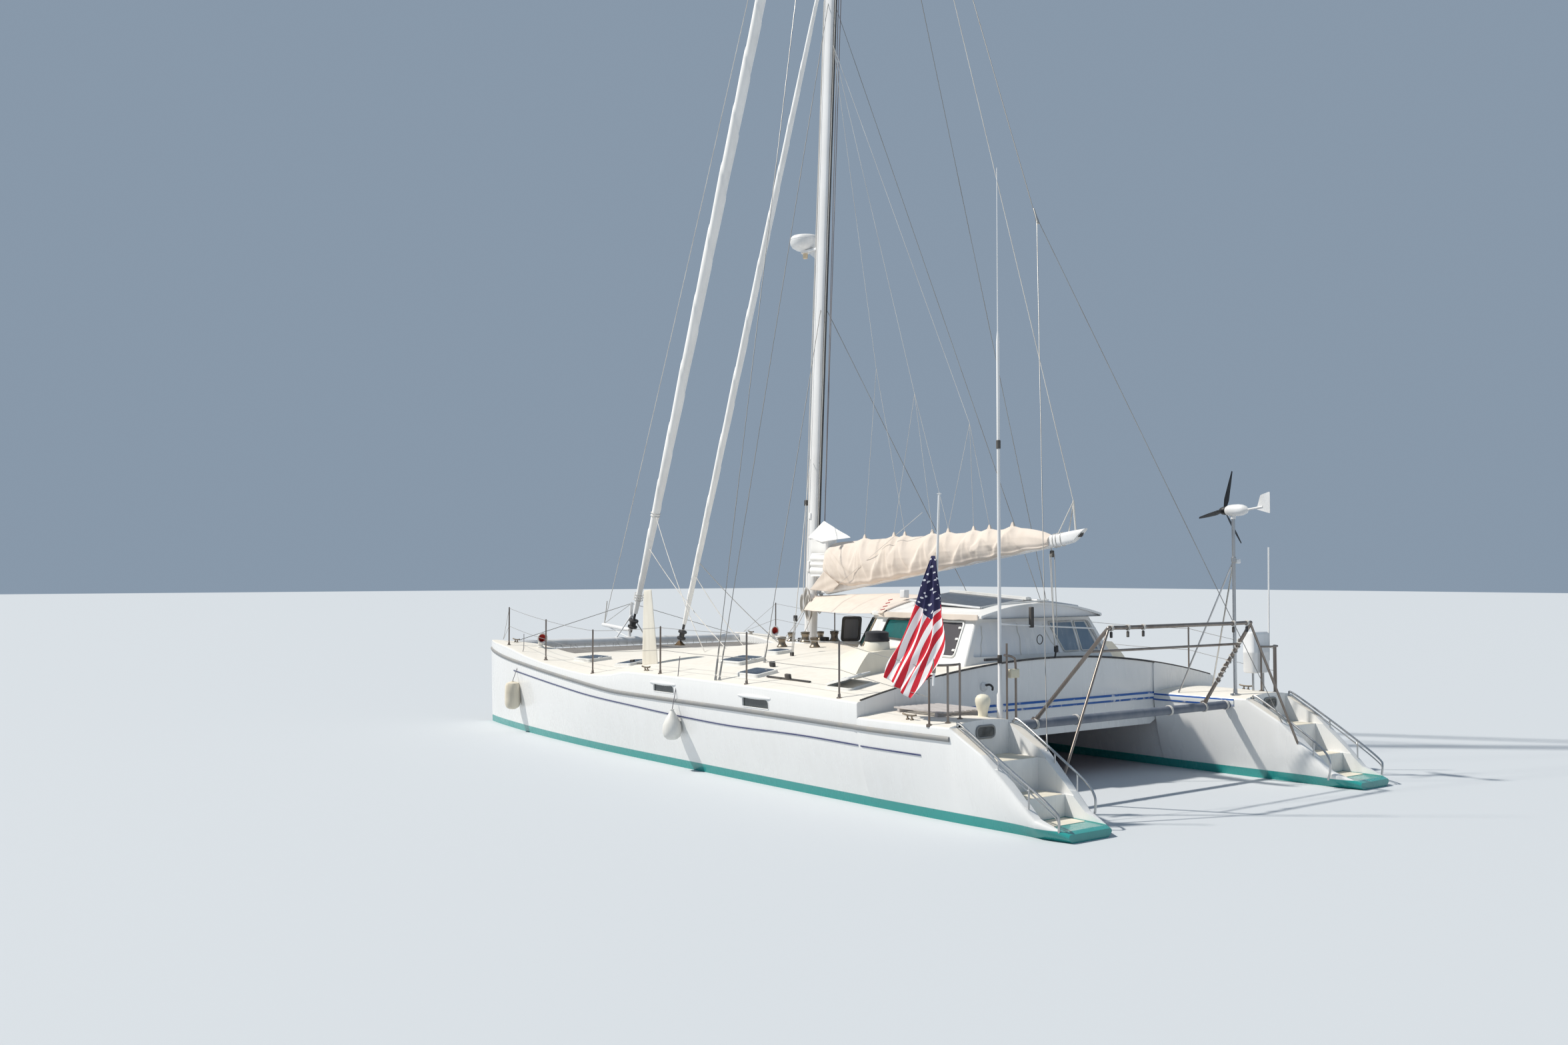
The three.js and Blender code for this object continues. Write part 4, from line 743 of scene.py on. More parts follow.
blade_grid = xyz(-4.236 + flat_y * np.cos(twist) + flat_x * np.sin(twist), flat_y * np.sin(twist)
    - flat_x * np.cos(twist), reach)
screw = [hub] + [placed(skin(blade_grid), Matrix.Translation((0, 0, -0.8))
    @ Matrix.Rotation(turn, 4, "X")) for turn in np.radians((0, 120, 240))]
foil_black = paint("rudder_black", (0.03, 0.035, 0.04), 0.5, (0.1, 0.14, 0.1), 0.5, bump=0.1)
cast_alloy = paint("cast_alloy", (0.45, 0.46, 0.47), 0.4, (0.2, 0.2, 0.16), 0.4, bump=0.1, metal=0.8)
bronze = paint("bronze", (0.42, 0.28, 0.13), 0.35, (0.12, 0.2, 0.14), 0.5, bump=0.1, metal=1.0)
for side, way in WAYS:
    hull_line = Matrix.Translation((0, way * HULL_Y, 0))
    piece(f"rudder_blade_{side}", [placed(blade, hull_line), placed(stock, hull_line)], foil_black,
        f"rudder_{side}", body=f"rudder_{side}")
    piece(f"drive_leg_{side}", [placed(leg, hull_line), placed(pod, hull_line)], cast_alloy,
        f"saildrive_{side}")
    piece(f"screw_{side}", [placed(shape, hull_line) for shape in screw], bronze,
        f"propeller_{side}", body=f"propeller_{side}")

# Deck hatches
# Each hatch is a cast rim on the deck with a hinged lid: a white frame round a pane of smoked acrylic,
# with two hinges forward and a black catch aft. A few small flush ones have no lid that opens here.
def deck_z(x, y):
    """The deck's height at one place."""
    return float(deck_height(x, y, np.interp))


def deck_place(x, y):
    """The matrix of a place on the deck: x forward, y to port and z square to the deck."""
    step = 0.02
    dx = (deck_z(x + step, y) - deck_z(x - step, y)) / (2 * step)
    dy = (deck_z(x, y + step) - deck_z(x, y - step)) / (2 * step)
    forward = Vector((1, 0, dx)).normalized()
    up = Vector((-dx, -dy, 1)).normalized()
    turn = Matrix((forward, up.cross(forward), up)).transposed().to_4x4()
    return Matrix.Translation((x, y, deck_z(x, y) + 0.004)) @ turn


def round_rect(length, width, reach):
    """A rectangle with rounded corners, centred on the origin."""
    x, y = length / 2, width / 2
    return rounded([(x, y), (-x, y), (-x, -y), (x, -y)], reach)


def plate(length, width, reach, z0, z1, edge=0.004):
    """A plate with rounded corners and eased edges, centred on the origin."""
    flat = round_rect(length, width, reach)
    far = unit(flat)
    levels = [(z0, 0), (z1 - edge, 0), (z1 - edge * 0.3, edge * 0.3), (z1, edge)]
    return skin(np.stack([at_level(flat - far * inset, z) for z, inset in levels]))


def rim_of(length, width, bar, reach, z0, z1):
    """A frame: an outer and an inner rounded outline, joined over the top by a rounded edge."""
    outer = round_rect(length, width, reach)
    inner = round_rect(length - 2 * bar, width - 2 * bar, reach * 0.6)
    share = np.array([0, 0, 0.06, 0.2, 0.8, 0.94, 1, 1])[:, None, None]
    z = np.array([z0, z1 - 0.008, z1 - 0.003, z1, z1, z1 - 0.003, z1 - 0.008, z0])
    flat = outer[None] * (1 - share) + inner[None] * share
    grid = np.concatenate([flat, np.broadcast_to(z[:, None, None], (8, len(outer), 1))], -1)
    return skin(np.concatenate([grid, grid[:1]]), ends=False)


HATCHES = (("hatch_fore_port", 3.5, 2.56, 0.56, 0.44, 0),
    ("hatch_fore_starboard", 3.5, -2.56, 0.56, 0.44, 0), ("hatch_mid_port", -0.48, 2.38, 0.56, 0.48, 0),
    ("hatch_mid_starboard", -0.48, -2.38, 0.56, 0.48, 0), ("hatch_aft_port", -3.5, 2.92, 0.47, 0.4, 14),
    ("hatch_mast", 0.1, -0.305, 0.4, 0.4, 84))
SEAT_Z = 0.0224
pane_blue = paint("pane_blue", (0.022, 0.036, 0.062), 0.18, (0.07, 0.09, 0.12), 0.4, bump=0.0)
lid_black = paint("lid_black", (0.03, 0.03, 0.035), 0.5, amount=0.3, bump=0.1)
lid_mesh = paint("lid_mesh", (0.17, 0.17, 0.18), 0.7, (0.35, 0.35, 0.36), 0.5, grain=60, bump=0.3)
# The after port hatch's pane is painted pale grey, not smoked: painted light that lightens the shade under
# its raised lid.
lid_pale_painted_light = paint("lid_pale_painted_light", (0.78, 0.78, 0.77), 0.25, (0.68, 0.67, 0.65), 0.4, bump=0.0, coat=0.3)
rims, fixed_lids, fixed_panes = [], [], []
for name, x, y, length, width, opening in HATCHES:
    place = deck_place(x, y)
    rims.append(placed(rim_of(length, width, 0.035, 0.06, -0.05, 0.022), place))
    swing = (Matrix.Translation((length / 2, 0, SEAT_Z)) @ Matrix.Rotation(math.radians(opening), 4, "Y")
        @ Matrix.Translation((-length / 2, 0, -SEAT_Z)))
    lid_place = place @ swing
    frame_shape = rim_of(length, width, 0.045, 0.06, SEAT_Z, 0.046)
    tabs = [moved(plate(0.05, 0.04, 0.01, 0.046, 0.054), (length / 2 - 0.03, s * width / 4, 0))
        for s in (-1, 1)]
    tabs.append(moved(plate(0.03, 0.07, 0.01, 0.046, 0.056), (-length / 2 + 0.02, 0, 0)))
    # The after port hatch takes the pale pane that is painted light; the mast hatch takes a black frame and
    # mesh.
    frame_tint, pane_tint = {"hatch_mast": (lid_black, lid_mesh),
        "hatch_aft_port": (frame_white, lid_pale_painted_light)}.get(name, (frame_white, pane_blue))
    piece(f"{name}_frame", [placed(shape, lid_place) for shape in (frame_shape, *tabs)], frame_tint,
        body=name)
    piece(f"{name}_pane", [placed(plate(length - 0.08, width - 0.08, 0.04, 0.034, 0.05), lid_place)],
        pane_tint, name, body=name)
for x, y, length, width in ((2.0, 2.7, 0.5, 0.4), (-1.6, 2.93, 0.5, 0.38), (-0.27, 1.57, 0.35, 0.32),
        (2.0, -2.7, 0.5, 0.4), (-0.27, -1.57, 0.35, 0.32)):
    place = deck_place(x, y)
    rims.append(placed(rim_of(length, width, 0.04, 0.06, -0.04, 0.022), place))
    fixed_lids.append(placed(rim_of(length - 0.01, width - 0.01, 0.04, 0.055, 0.0224, 0.042), place))
    fixed_panes.append(placed(plate(length - 0.08, width - 0.08, 0.04, 0.03, 0.045), place))
piece("hatch_rims", rims, frame_white)
piece("small_hatch_frames", fixed_lids, frame_white)
piece("small_hatch_panes", fixed_panes, pane_blue)

# Pilothouse walls
# The house is a moulded shell that leans in all round, with its shoulders at an angle. Its lights are
# let into it, the pillars between them are cream, and it is open aft under the roof.
HOUSE_LOW = np.array([(-0.76, 0.5), (-1.67, 1.22), (-4.0, 1.46)])
HOUSE_TOP = np.array([(-1.18, 0.48), (-1.93, 1.08), (-3.86, 1.11)])
LOW_Z = 1.55
TOP_Z = 2.12


def corners(z):
    """The house's three port corners at a height: each moves in a straight line from deck to roof."""
    share = (np.asarray(z, float)[..., None, None] - LOW_Z) / (TOP_Z - LOW_Z)
    return HOUSE_LOW + share * (HOUSE_TOP - HOUSE_LOW)


def house_plan(z, inset=0.0, reach=0.09):
    """The house's rounded outline at a height, drawn in by a distance."""
    half = corners(z) + inset * np.array([(-1, -0.45), (-0.55, -0.95), (1, -1)])
    return at_level(rounded(both_sides(half), (reach, reach, 0.05, 0.05, reach, reach), 7), z)


def side_wall(x, z, out=0.0):
    """A point of the port side wall: on the line between its two corners at that height."""
    a, b = corners(z)[..., 1, :], corners(z)[..., 2, :]
    y = a[..., 1] + (x - a[..., 0]) / (b[..., 0] - a[..., 0]) * (b[..., 1] - a[..., 1])
    return xyz(x, y + out, z)


def corner_wall(across, z, out=0.0):
    """A point of the port shoulder, by its share from the front corner to the side corner."""
    a, b = corners(z)[..., 0, :], corners(z)[..., 1, :]
    flat = a + across[..., None] * (b - a) + np.array([0.62, 0.78]) * out
    return np.concatenate([flat, z[..., None]], -1)


def front_wall(y, z, out=0.0):
    """A point of the front wall."""
    return xyz(corners(z)[..., 0, 0] + out, y, z)


wall_levels = (1.36, 1.5, 1.7, 1.9, 2.1195)
outer_wall = [house_plan(z) for z in wall_levels]
inner_wall = [house_plan(z, 0.045, 0.06) for z in wall_levels[::-1]]
shell_grid = np.stack(outer_wall + inner_wall + outer_wall[:1])
house_white = paint("house_white", (0.82, 0.815, 0.8), 0.35, amount=0.2, grain=80, bump=0.02, coat=0.2)
house = piece("house_walls", [skin(shell_grid, ends=False)], house_white, "pilothouse")
shell = bmesh.new()
shell.from_mesh(house.data)
bmesh.ops.remove_doubles(shell, verts=shell.verts, dist=1e-5)
shell.to_mesh(house.data)
shell.free()
FORE_LIGHT = rounded([(-2.08, 1.83), (-2.82, 1.8), (-2.82, 2.08), (-2.17, 2.08)], 0.035)
AFT_LIGHT = rounded([(-2.95, 1.64), (-3.745, 1.64), (-3.69, 2.08), (-2.95, 2.08)], 0.06)
CORNER_LIGHT = rounded([(0.1, 1.67), (0.9, 1.67), (0.9, 2.06), (0.1, 2.06)], 0.03)
FRONT_LIGHT = rounded([(-0.4, 1.67), (0.4, 1.67), (0.4, 2.06), (-0.4, 2.06)], 0.03)


def through(wall, outline, near, far):
    """A plate between two distances from a wall, with the outline of a light in that wall."""
    return skin(np.stack([wall(*outline.T, near), wall(*outline.T, far)]))


holes = []
for wall, outline in ((side_wall, FORE_LIGHT), (side_wall, AFT_LIGHT), (corner_wall, CORNER_LIGHT)):
    hole = through(wall, outline, 0.2, -0.2)
    holes += [hole, mirrored(hole)]
doorway = rounded([(-1.29, 1.64), (1.29, 1.64), (1.06, 2.07), (-1.06, 2.07)], 0.05)
doorway = xyz(0, *doorway.T)
holes += [through(front_wall, FRONT_LIGHT, 0.3, -0.3), prism(doorway, (-4.3, 0, 0), (-3.7, 0, 0))]
cut_away(house, [(hole, house_white) for hole in holes])

# Lights of the pilothouse
# The forward lights are blue-green glass in black rubber. The after side light is a dark insect mesh in
# a white frame with clips along its after edge.
teal, tree, shader, film = worn("teal_glass", (0.1, 0.46, 0.44), 0.03, (0.3, 0.42, 0.4), 0.25)
feed(tree, shader, Transmission_Weight=0.85, IOR=1.45, Metallic=0.0)
panes = [through(side_wall, FORE_LIGHT, -0.012, -0.02), through(corner_wall, CORNER_LIGHT, -0.012, -0.02)]
seals = [loop(side_wall(*FORE_LIGHT.T, 0.002), 0.012), loop(corner_wall(*CORNER_LIGHT.T, 0.001), 0.01)]
panes += [mirrored(shape) for shape in panes] + [through(front_wall, FRONT_LIGHT, -0.012, -0.02)]
seals += [mirrored(shape) for shape in seals] + [loop(front_wall(*FRONT_LIGHT.T, 0.001), 0.01)]
piece("house_panes", panes, teal, "house_glass")
piece("house_seals", seals, black_rubber)


def woven(name, colour, dark, pitch, bump, roughness=0.9, hole=None, sheen=0.0, amount=0.2,
        ways=("X", "Z")):
    """Cloth of two sets of threads, over and under, worked out from two waves of Object coordinates."""
    material = paint(name, colour, roughness, dark, amount, bump=bump)
    tree = material.node_tree
    place = object_place(tree)
    waves = [node(tree, "TexWave", {"bands_direction": way}, Vector=place, Scale=pitch, Distortion=0.6)
        for way in ways]
    cross = calc(tree, "ADD", waves[0].outputs["Fac"], waves[1].outputs["Fac"])
    feed(tree, tree.nodes["relief"], Height=cross)
    shader = tree.nodes["Principled BSDF"]
    feed(tree, shader, Sheen_Weight=sheen)
    if hole is not None:
        feed(tree, shader, Alpha=ranged(tree, cross, 0.5, 0.9, hole))
    return material


mesh_cloth = woven("insect_mesh", (0.06, 0.055, 0.065), (0.16, 0.15, 0.17), 90, 0.1, 0.7, hole=0.86)
mesh_pane = through(side_wall, AFT_LIGHT, -0.004, -0.012)
mesh_rim = loop(side_wall(*AFT_LIGHT.T, 0.004), 0.016)
piece("mesh_screens", [mesh_pane, mirrored(mesh_pane)], mesh_cloth)
clips = []
for level in (1.72, 1.86, 2.0):
    clip_x = np.interp(level, [1.64, 2.08], [-3.735, -3.68])
    at = side_wall(np.array(clip_x + 0.03), np.array(level), 0.012)
    clips.append(placed(plate(0.05, 0.03, 0.008, 0, 0.014), stand(at, (0.02, 1, 0.5))))
clip_shapes = [mesh_rim, mirrored(mesh_rim)] + clips + [mirrored(clip) for clip in clips]
piece("mesh_rims", clip_shapes, frame_white)
pillar_paint = paint("pillar_cream", (0.7, 0.56, 0.38), 0.45, amount=0.2)
pillar = np.stack([corner_wall(np.full(2, s), np.array([1.68, 2.08]), out)
    for s, out in ((0.93, 0.001), (0.93, 0.006), (0.985, 0.008), (0.985, 0.001))], 1)
piece("house_pillars", [skin(pillar), mirrored(skin(pillar))], pillar_paint)

# Cockpit curtain
# The after end of the house is closed by sheets of cloudy clear vinyl with white webbing sewn round
# them and slanting seams. Clearer blue-green panels are let into the starboard half; they are opaque,
# their dark blue partly a tint and partly painted shade of the cockpit seen through them.
# The vinyl's pale colour is partly its own cloudiness and partly painted light: it stands in for light
# shining through the sheet from behind.
vinyl, tree, shader, haze = worn("cloudy_vinyl_painted_backlight", (0.84, 0.85, 0.87), 0.12, (0.95, 0.94, 0.92), 0.9)
feed(tree, shader, Alpha=ranged(tree, haze.outputs["Height"], 0.0, 1.0, 0.92))


def sheet_shares(rows, columns, low=0):
    """Two grids of shares: the first from 0 to 1 down the rows, the second from low to 1 along them."""
    return np.meshgrid(np.linspace(0, 1, rows), np.linspace(low, 1, columns), indexing="ij")


def curtain_grid(columns=90, rows=26, out=0.0):
    """The curtain: it follows the house's after end, with slack sine waves that fade towards its edges."""
    u = np.linspace(-1, 1, columns)
    z = np.linspace(1.6, 2.105, rows)[:, None]
    share = (z - LOW_Z) / (TOP_Z - LOW_Z)
    back_x = -4.0 + 0.14 * share + 0.052 + out
    half = 1.46 - 0.35 * share - 0.052
    bend = np.clip((np.abs(u) - 0.9) / 0.1, 0, 1)
    y = np.sign(u) * (half * np.minimum(np.abs(u) / 0.9, 1))
    x = back_x + bend * 0.16
    slack = np.sin(np.pi * (z - 1.6) / 0.505) * (1 - bend)
    wave = 0.006 * np.sin(9 * u + 5 * z) + 0.004 * np.sin(23 * u - 14 * z)
    return xyz(x + slack * wave, y, z)


def cloth(name, grid, tint, stands_for=None, body="boat", thick=0.0012, sharp=60):
    """An open sheet on a grid of points, given its thickness by a Solidify modifier and smoothed."""
    thing = piece(name, [skin(grid, ring=False)], tint, stands_for, body, sharp)
    wall = thing.modifiers.new("cloth", "SOLIDIFY")
    wall.thickness = thick
    wall.offset = 0.0
    return thing


def spread(grid):
    """The cut size of a sheet before it was hung: the length of its middle row and of its middle column."""
    rows, columns = grid.shape[:2]
    along_row = np.linalg.norm(np.diff(grid[rows // 2], axis=0), axis=1).sum()
    down = np.linalg.norm(np.diff(grid[:, columns // 2], axis=0), axis=1).sum()
    return float(along_row), float(down)


def sheet_area(grid):
    """Area of a grid of quads: half the length of the cross product of each one's diagonals."""
    a, b = grid[1:, 1:] - grid[:-1, :-1], grid[:-1, 1:] - grid[1:, :-1]
    return float(np.linalg.norm(np.cross(a, b), axis=-1).sum() / 2)


def declare_cloth(grid):
    """Work out the sheet's flat size, widened where its area calls for it; nothing keeps the result."""
    wide, long = spread(grid)
    area = sheet_area(grid)
    wide = max(wide, area / long)


drape = curtain_grid()
curtain = cloth("cockpit_vinyl", drape, vinyl, "cockpit_curtain")
declare_cloth(drape)
webbing = paint("white_webbing", (0.72, 0.71, 0.68), 0.8, amount=0.3, grain=300, bump=0.2)
seam_lines = []
for start, end in (((-0.28, 0.02), (-0.12, 0.98)), ((0.22, 0.0), (0.26, 1.0)),
        ((0.72, 0.02), (0.8, 0.98)), ((0.88, 0.0), (0.88, 1.0)), ((-0.9, 0.0), (-0.9, 1.0)),
        ((-0.9, 0.02), (0.9, 0.02)), ((-0.9, 0.97), (0.9, 0.97))):
    t = np.linspace(0, 1, 24)[:, None]
    spot = np.array(start) * (1 - t) + np.array(end) * t
    column = np.clip(((spot[:, 0] + 1) / 2 * 89).round().astype(int), 0, 89)
    row = np.clip((spot[:, 1] * 25).round().astype(int), 0, 25)
    seam_path = drape[row, column] + (-0.004, 0, 0)
    seam_path = spline(seam_path[::4], 24)
    seam_lines.append(tube(seam_path, 0.006, 6))
piece("vinyl_seams", seam_lines, webbing)


def on_curtain(flat, out):
    """Places on the curtain from pairs of y and z, stood off it by a distance."""
    y, z = np.asarray(flat, float).T
    return xyz(-4.0 + 0.14 * (z - LOW_Z) / (TOP_Z - LOW_Z) + 0.05 - out, y, z)


# The clear panels are opaque sheets: their dark blue is partly a tint and partly painted shade of the
# cockpit behind them.
blue_panes_painted_shade = paint("blue_panes_painted_shade", (0.15, 0.22, 0.3), 0.12, (0.35, 0.4, 0.45), 0.5, bump=0.0, coat=0.3)
film_panes, film_hems = [], []
for edges in (((-0.29, 2.05), (-0.75, 2.05), (-0.8, 1.66), (-0.5, 1.66)),
        ((-0.8, 2.05), (-1.02, 2.05), (-1.2, 1.66), (-0.86, 1.66))):
    film = rounded(edges, 0.02)
    film_panes.append(skin(np.stack([on_curtain(film, 0.01), on_curtain(film, 0.013)])))
    film_hems.append(loop(on_curtain(film, 0.013), 0.008))
piece("curtain_windows", film_panes, blue_panes_painted_shade)
piece("curtain_window_hems", film_hems, webbing)

# Roof of the pilothouse
# A white moulded lid, crowned both ways, with a thin drip edge all round.
ROOF_X = np.array([-4.02, -3.0, -1.95, -1.5, -1.06])
ROOF_HALF = np.array([1.17, 1.15, 1.13, 0.83, 0.5])
ROOF_EDGE = np.array([2.162, 2.168, 2.168, 2.18, 2.2])
ROOF_MIDDLE = np.array([2.312, 2.36, 2.372, 2.36, 2.33])
roof_x = np.unique(np.concatenate([np.linspace(-4.02, -1.06, 46), ROOF_X]))
roof_half = fair(roof_x, ROOF_X, ROOF_HALF)
roof_edge, roof_middle = np.interp(roof_x, ROOF_X, ROOF_EDGE), fair(roof_x, ROOF_X, ROOF_MIDDLE)
drip = [(roof_half - 0.02, 2.1204), (roof_half + 0.002, 2.128),
    (roof_half + 0.006, (roof_edge + 2.12) / 2)]
roof_rows = [(s * roof_half, roof_edge + (roof_middle - roof_edge) * (1 - s * s))
    for s in np.linspace(1, -1, 29)]
roof_rows = drip + roof_rows + [(-y, z) for y, z in drip[::-1]]
roof_grid = np.stack([xyz(roof_x, y, z) for y, z in roof_rows], 1)
roof_lip = roof_grid[0] * (1, 0.975, 1)
roof_lip[:, 2] = np.maximum(2.1204, roof_lip[:, 2] - 0.024)
roof_end = [roof_lip + (0.07, 0, 0), roof_lip]
piece("roof_lid", [skin(np.concatenate([roof_end, roof_grid]))], house_white, "house_roof")
piece("curtain_top", [skin(np.stack([roof_lip + (0.05, 0, 0), roof_lip * (1, 0.998, 1)
    + (0.066, 0, 0)]))], vinyl)

# Solar panels
# Two framed panels of dark cells lie on short legs over the roof, sloping down aft and outboard, with a
# pale alloy bar between them.
cells, tree, shader = bare("solar_cells")
bricks = node(tree, "TexBrick", {"offset": 0.0}, Vector=object_place(tree), Scale=1.0, Brick_Width=4.0,
    Row_Height=0.09, Mortar_Size=0.006, Color1=(0.012, 0.017, 0.03, 1), Color2=(0.018, 0.024, 0.042, 1),
    Mortar=(0.3, 0.32, 0.34, 1))
feed(tree, shader, Base_Color=bricks.outputs["Color"], Roughness=0.3, Coat_Weight=0.25)
PANEL = np.array([(-2.35, 0.06, 2.445), (-2.35, 0.86, 2.352), (-3.7, 0.86, 2.272), (-3.7, 0.06, 2.362)])
panel_alloy = paint("panel_alloy", (0.7, 0.71, 0.72), 0.35, amount=0.2, metal=0.6)
u_side, v_side = (PANEL[1] - PANEL[0]), (PANEL[3] - PANEL[0])
panel_up = np.cross(v_side, u_side)
panel_up /= np.linalg.norm(panel_up)
panel_up *= np.sign(panel_up[2])


def panel_plate(inset, low, high, reach=0.012):
    """A plate in the panel's plane, inset from its edges, between two distances along its normal."""
    u, v = u_side / np.linalg.norm(u_side), v_side / np.linalg.norm(v_side)
    corner = np.array([PANEL[0] + inset * (u + v), PANEL[1] + inset * (v - u), PANEL[2] - inset * (u + v),
        PANEL[3] + inset * (u - v)])
    outline = rounded(corner, reach)
    return skin(np.stack([outline + panel_up * level for level in (low, high)]))


panel_bars = [tube(np.array([PANEL[i], PANEL[(i + 1) % 4]]) - 0.016 * panel_up, 0.016, 8) for i in range(4)]
cell_sheet = panel_plate(0.012, -0.012, -0.003)
feet = [(-2.4, 0.12, 2.4), (-2.4, 0.8, 2.325), (-3.65, 0.12, 2.33), (-3.65, 0.8, 2.25)]
legs = [tube([(x, y, 2.22), (x, y, z)], 0.012, 10) for x, y, z in feet]
bar_path = [np.array((-2.3, 0.0, 2.455)), np.array((-3.75, 0.0, 2.372))]
bridge_bar = skin(np.stack([point + np.array([(0, 0.05, -0.02), (0, -0.05, -0.02), (0, -0.05, 0.012),
    (0, -0.02, 0.018), (0, 0.02, 0.018), (0, 0.05, 0.012)]) for point in bar_path]))
metalwork = panel_bars + legs


def raised(shape):
    """The shape to starboard, drawn out aft, its outer fore corner lifted by a product of two shares."""
    points, faces = mirrored(shape)
    out, ahead = np.clip((-points[:, 1] - 0.06) / 0.8, 0, 1), np.clip((points[:, 0] + 3.75) / 1.4, 0, 1)
    long = xyz(-2.35 + (points[:, 0] + 2.35) * 1.12, points[:, 1], points[:, 2] + 0.055 * out * ahead)
    return long, faces


metalwork += [raised(shape) for shape in metalwork]
piece("panel_ridge", [bridge_bar, tube([(-3.99, 0.83, 2.3), (-3.99, -0.12, 2.352)], 0.012)], frame_white)
piece("panel_frames", metalwork, panel_alloy)
piece("panel_cells", [cell_sheet, raised(cell_sheet)], cells, "solar_panels")

# Sun awning
# A cream canvas sheet is laced from the mast over the front of the roof, with a narrow flap that runs on
# along the roof's port edge. It sags a little between its lacings and is tied down with red cord.
canvas = woven("cream_canvas", (0.745, 0.655, 0.575), (0.55, 0.47, 0.39), 210, 0.12, 0.9, sheen=0.2,
    amount=0.35)
AWNING_X = np.array([-2.12, -1.6, -1.054, -0.2, 0.8])
awning_u, awning_v = sheet_shares(90, 72, -1)
awning_x = 0.8 - 2.93 * awning_u
half = fair(awning_x, AWNING_X, np.array([1.19, 1.04, 0.875, 0.66, 0.25]))
middle = fair(awning_x, AWNING_X, np.array([2.412, 2.412, 2.405, 2.395, 2.345]))
edge = fair(awning_x, AWNING_X, np.array([2.155, 2.14, 2.125, 2.12, 2.12]))
scallop = 0.015 * np.abs(np.sin(np.pi * 6 * awning_u)) * np.clip((np.abs(awning_v) - 0.6) / 0.4, 0, 1) ** 2
awning_y = awning_v * (half - scallop)
awning_z = edge + (middle - edge) * (1 - np.abs(awning_v) ** (1.5 + 2.2 * np.clip(awning_u - 0.6, 0, 1)))
fan = np.arctan2(awning_v * half, awning_u * 2.9 + 0.15)
awning_z += 0.005 * np.sin(fan * 26) * awning_u * (1 - awning_u) * 3
awning_z -= 0.012 * np.sin(np.pi * np.clip(awning_u / 0.62, 0, 1)) * (1 - awning_v ** 2)
on_roof = np.clip(np.abs(awning_y) / fair(awning_x, ROOF_X, ROOF_HALF), 0, 1)
roof_level = np.interp(awning_x, ROOF_X, ROOF_EDGE)
roof_level += (fair(awning_x, ROOF_X, ROOF_MIDDLE) - roof_level) * (1 - on_roof ** 2) + 0.022
tight = np.clip((-1.2 - awning_x) / 0.5, 0, 1) * np.clip((1 - on_roof) * 12, 0, 1)
awning_z += (roof_level - awning_z) * tight
awning_grid = xyz(awning_x, awning_y, awning_z)
awning = cloth("awning", awning_grid, canvas, "sun_awning", thick=0.002)
declare_cloth(awning_grid)
flap_u, flap_v = sheet_shares(80, 12)
flap_x = -2.02 - 1.95 * flap_u
flap_y = fair(flap_x, ROOF_X, ROOF_HALF) + 0.014 + 0.006 * np.sin(19 * flap_u) * flap_v
flap_z = 2.178 - 0.07 * flap_v - 0.008 * np.abs(np.sin(6 * np.pi * flap_u)) * flap_v
flap_grid = xyz(flap_x, flap_y, flap_z)
flap = cloth("awning_flap", flap_grid, canvas, thick=0.002)
declare_cloth(flap_grid)
tie_red = paint("tie_red", (0.5, 0.03, 0.03), 0.7, (0.2, 0.05, 0.05), 0.3, grain=200, bump=0.2)
tie_shapes = [tube([(-2.1 - 0.02 * k, way * (1.18 - 0.03 * k), 2.2 + 0.045 * k),
    (-2.17 - 0.02 * k, way * (1.165 - 0.03 * k), 2.215 + 0.045 * k)], 0.006, 8) for k in range(4)
    for way in (-1, 1)]
piece("awning_ties", tie_shapes, tie_red)
piece("awning_hem", [tube(awning_grid[-1, 2:-2:3] - (0.004, 0, 0.01), 0.011, 8)], canvas)

# Seats in the cockpit
# Moulded lockers run down both sides and across the after end. On them lie cream cushions, each with a
# piped seam round its top and bottom.
locker_shapes = [round_box(-3.8, -2.1, 0.72, 1.04, 0.7004, 1.02, 0.02),
    round_box(-3.8, -2.1, -1.04, -0.72, 0.7004, 1.02, 0.02),
    round_box(-3.84, -3.5, -1.04, 1.04, 0.7004, 1.02, 0.02)]
piece("seat_lockers", locker_shapes, house_white)


def cushion(x0, x1, y0, y1, z0, z1):
    """A boxed pad: rounded outlines drawn in at mid-side and towards top and bottom, and a crowned top."""
    flat = rounded([(x1, y1), (x0, y1), (x0, y0), (x1, y0)], 0.035, 8)
    middle = np.array([(x0 + x1) / 2, (y0 + y1) / 2])
    far = flat - middle
    share = np.abs(far) / (np.array([x1 - x0, y1 - y0]) / 2)
    pull = 0.008 * np.cos(np.pi / 2 * np.clip(share.min(1), 0, 1))
    far = far * (1 - pull / np.linalg.norm(far, axis=1))[:, None]
    high = z1 - z0
    rings = []
    for grow, level in ((0.9, 0.0), (0.975, 0.06), (1.0, 0.24), (1.0, 0.3), (0.992, 0.45), (1.0, 0.62),
            (1.0, 0.68), (0.985, 0.8), (0.95, 0.87), (0.85, 0.93), (0.6, 0.98), (0.3, 1.0)):
        rings.append(at_level(middle + far * grow, z0 + high * level))
    return skin(np.stack(rings))


cushion_cloth = woven("cushion_cloth", (0.66, 0.58, 0.44), (0.42, 0.36, 0.27), 260, 0.1, 0.9, sheen=0.3)
CUSHIONS = ((-2.94, -2.11, 0.725, 1.035), (-3.48, -2.955, 0.725, 1.035), (-2.94, -2.11, -1.035, -0.725),
    (-3.48, -2.955, -1.035, -0.725), (-3.83, -3.505, 0.01, 1.035), (-3.83, -3.505, -1.035, -0.01))
for number, edges in enumerate(CUSHIONS):
    shape = cushion(*edges, 1.0205, 1.12)
    replaced = None if number else "cockpit_seats"
    pad = piece(f"seat_cushion_{number + 1}", [shape], cushion_cloth, replaced, sharp=60)
    pad.modifiers.new("round", "SUBSURF").levels = 1
    pad.modifiers["round"].render_levels = 1

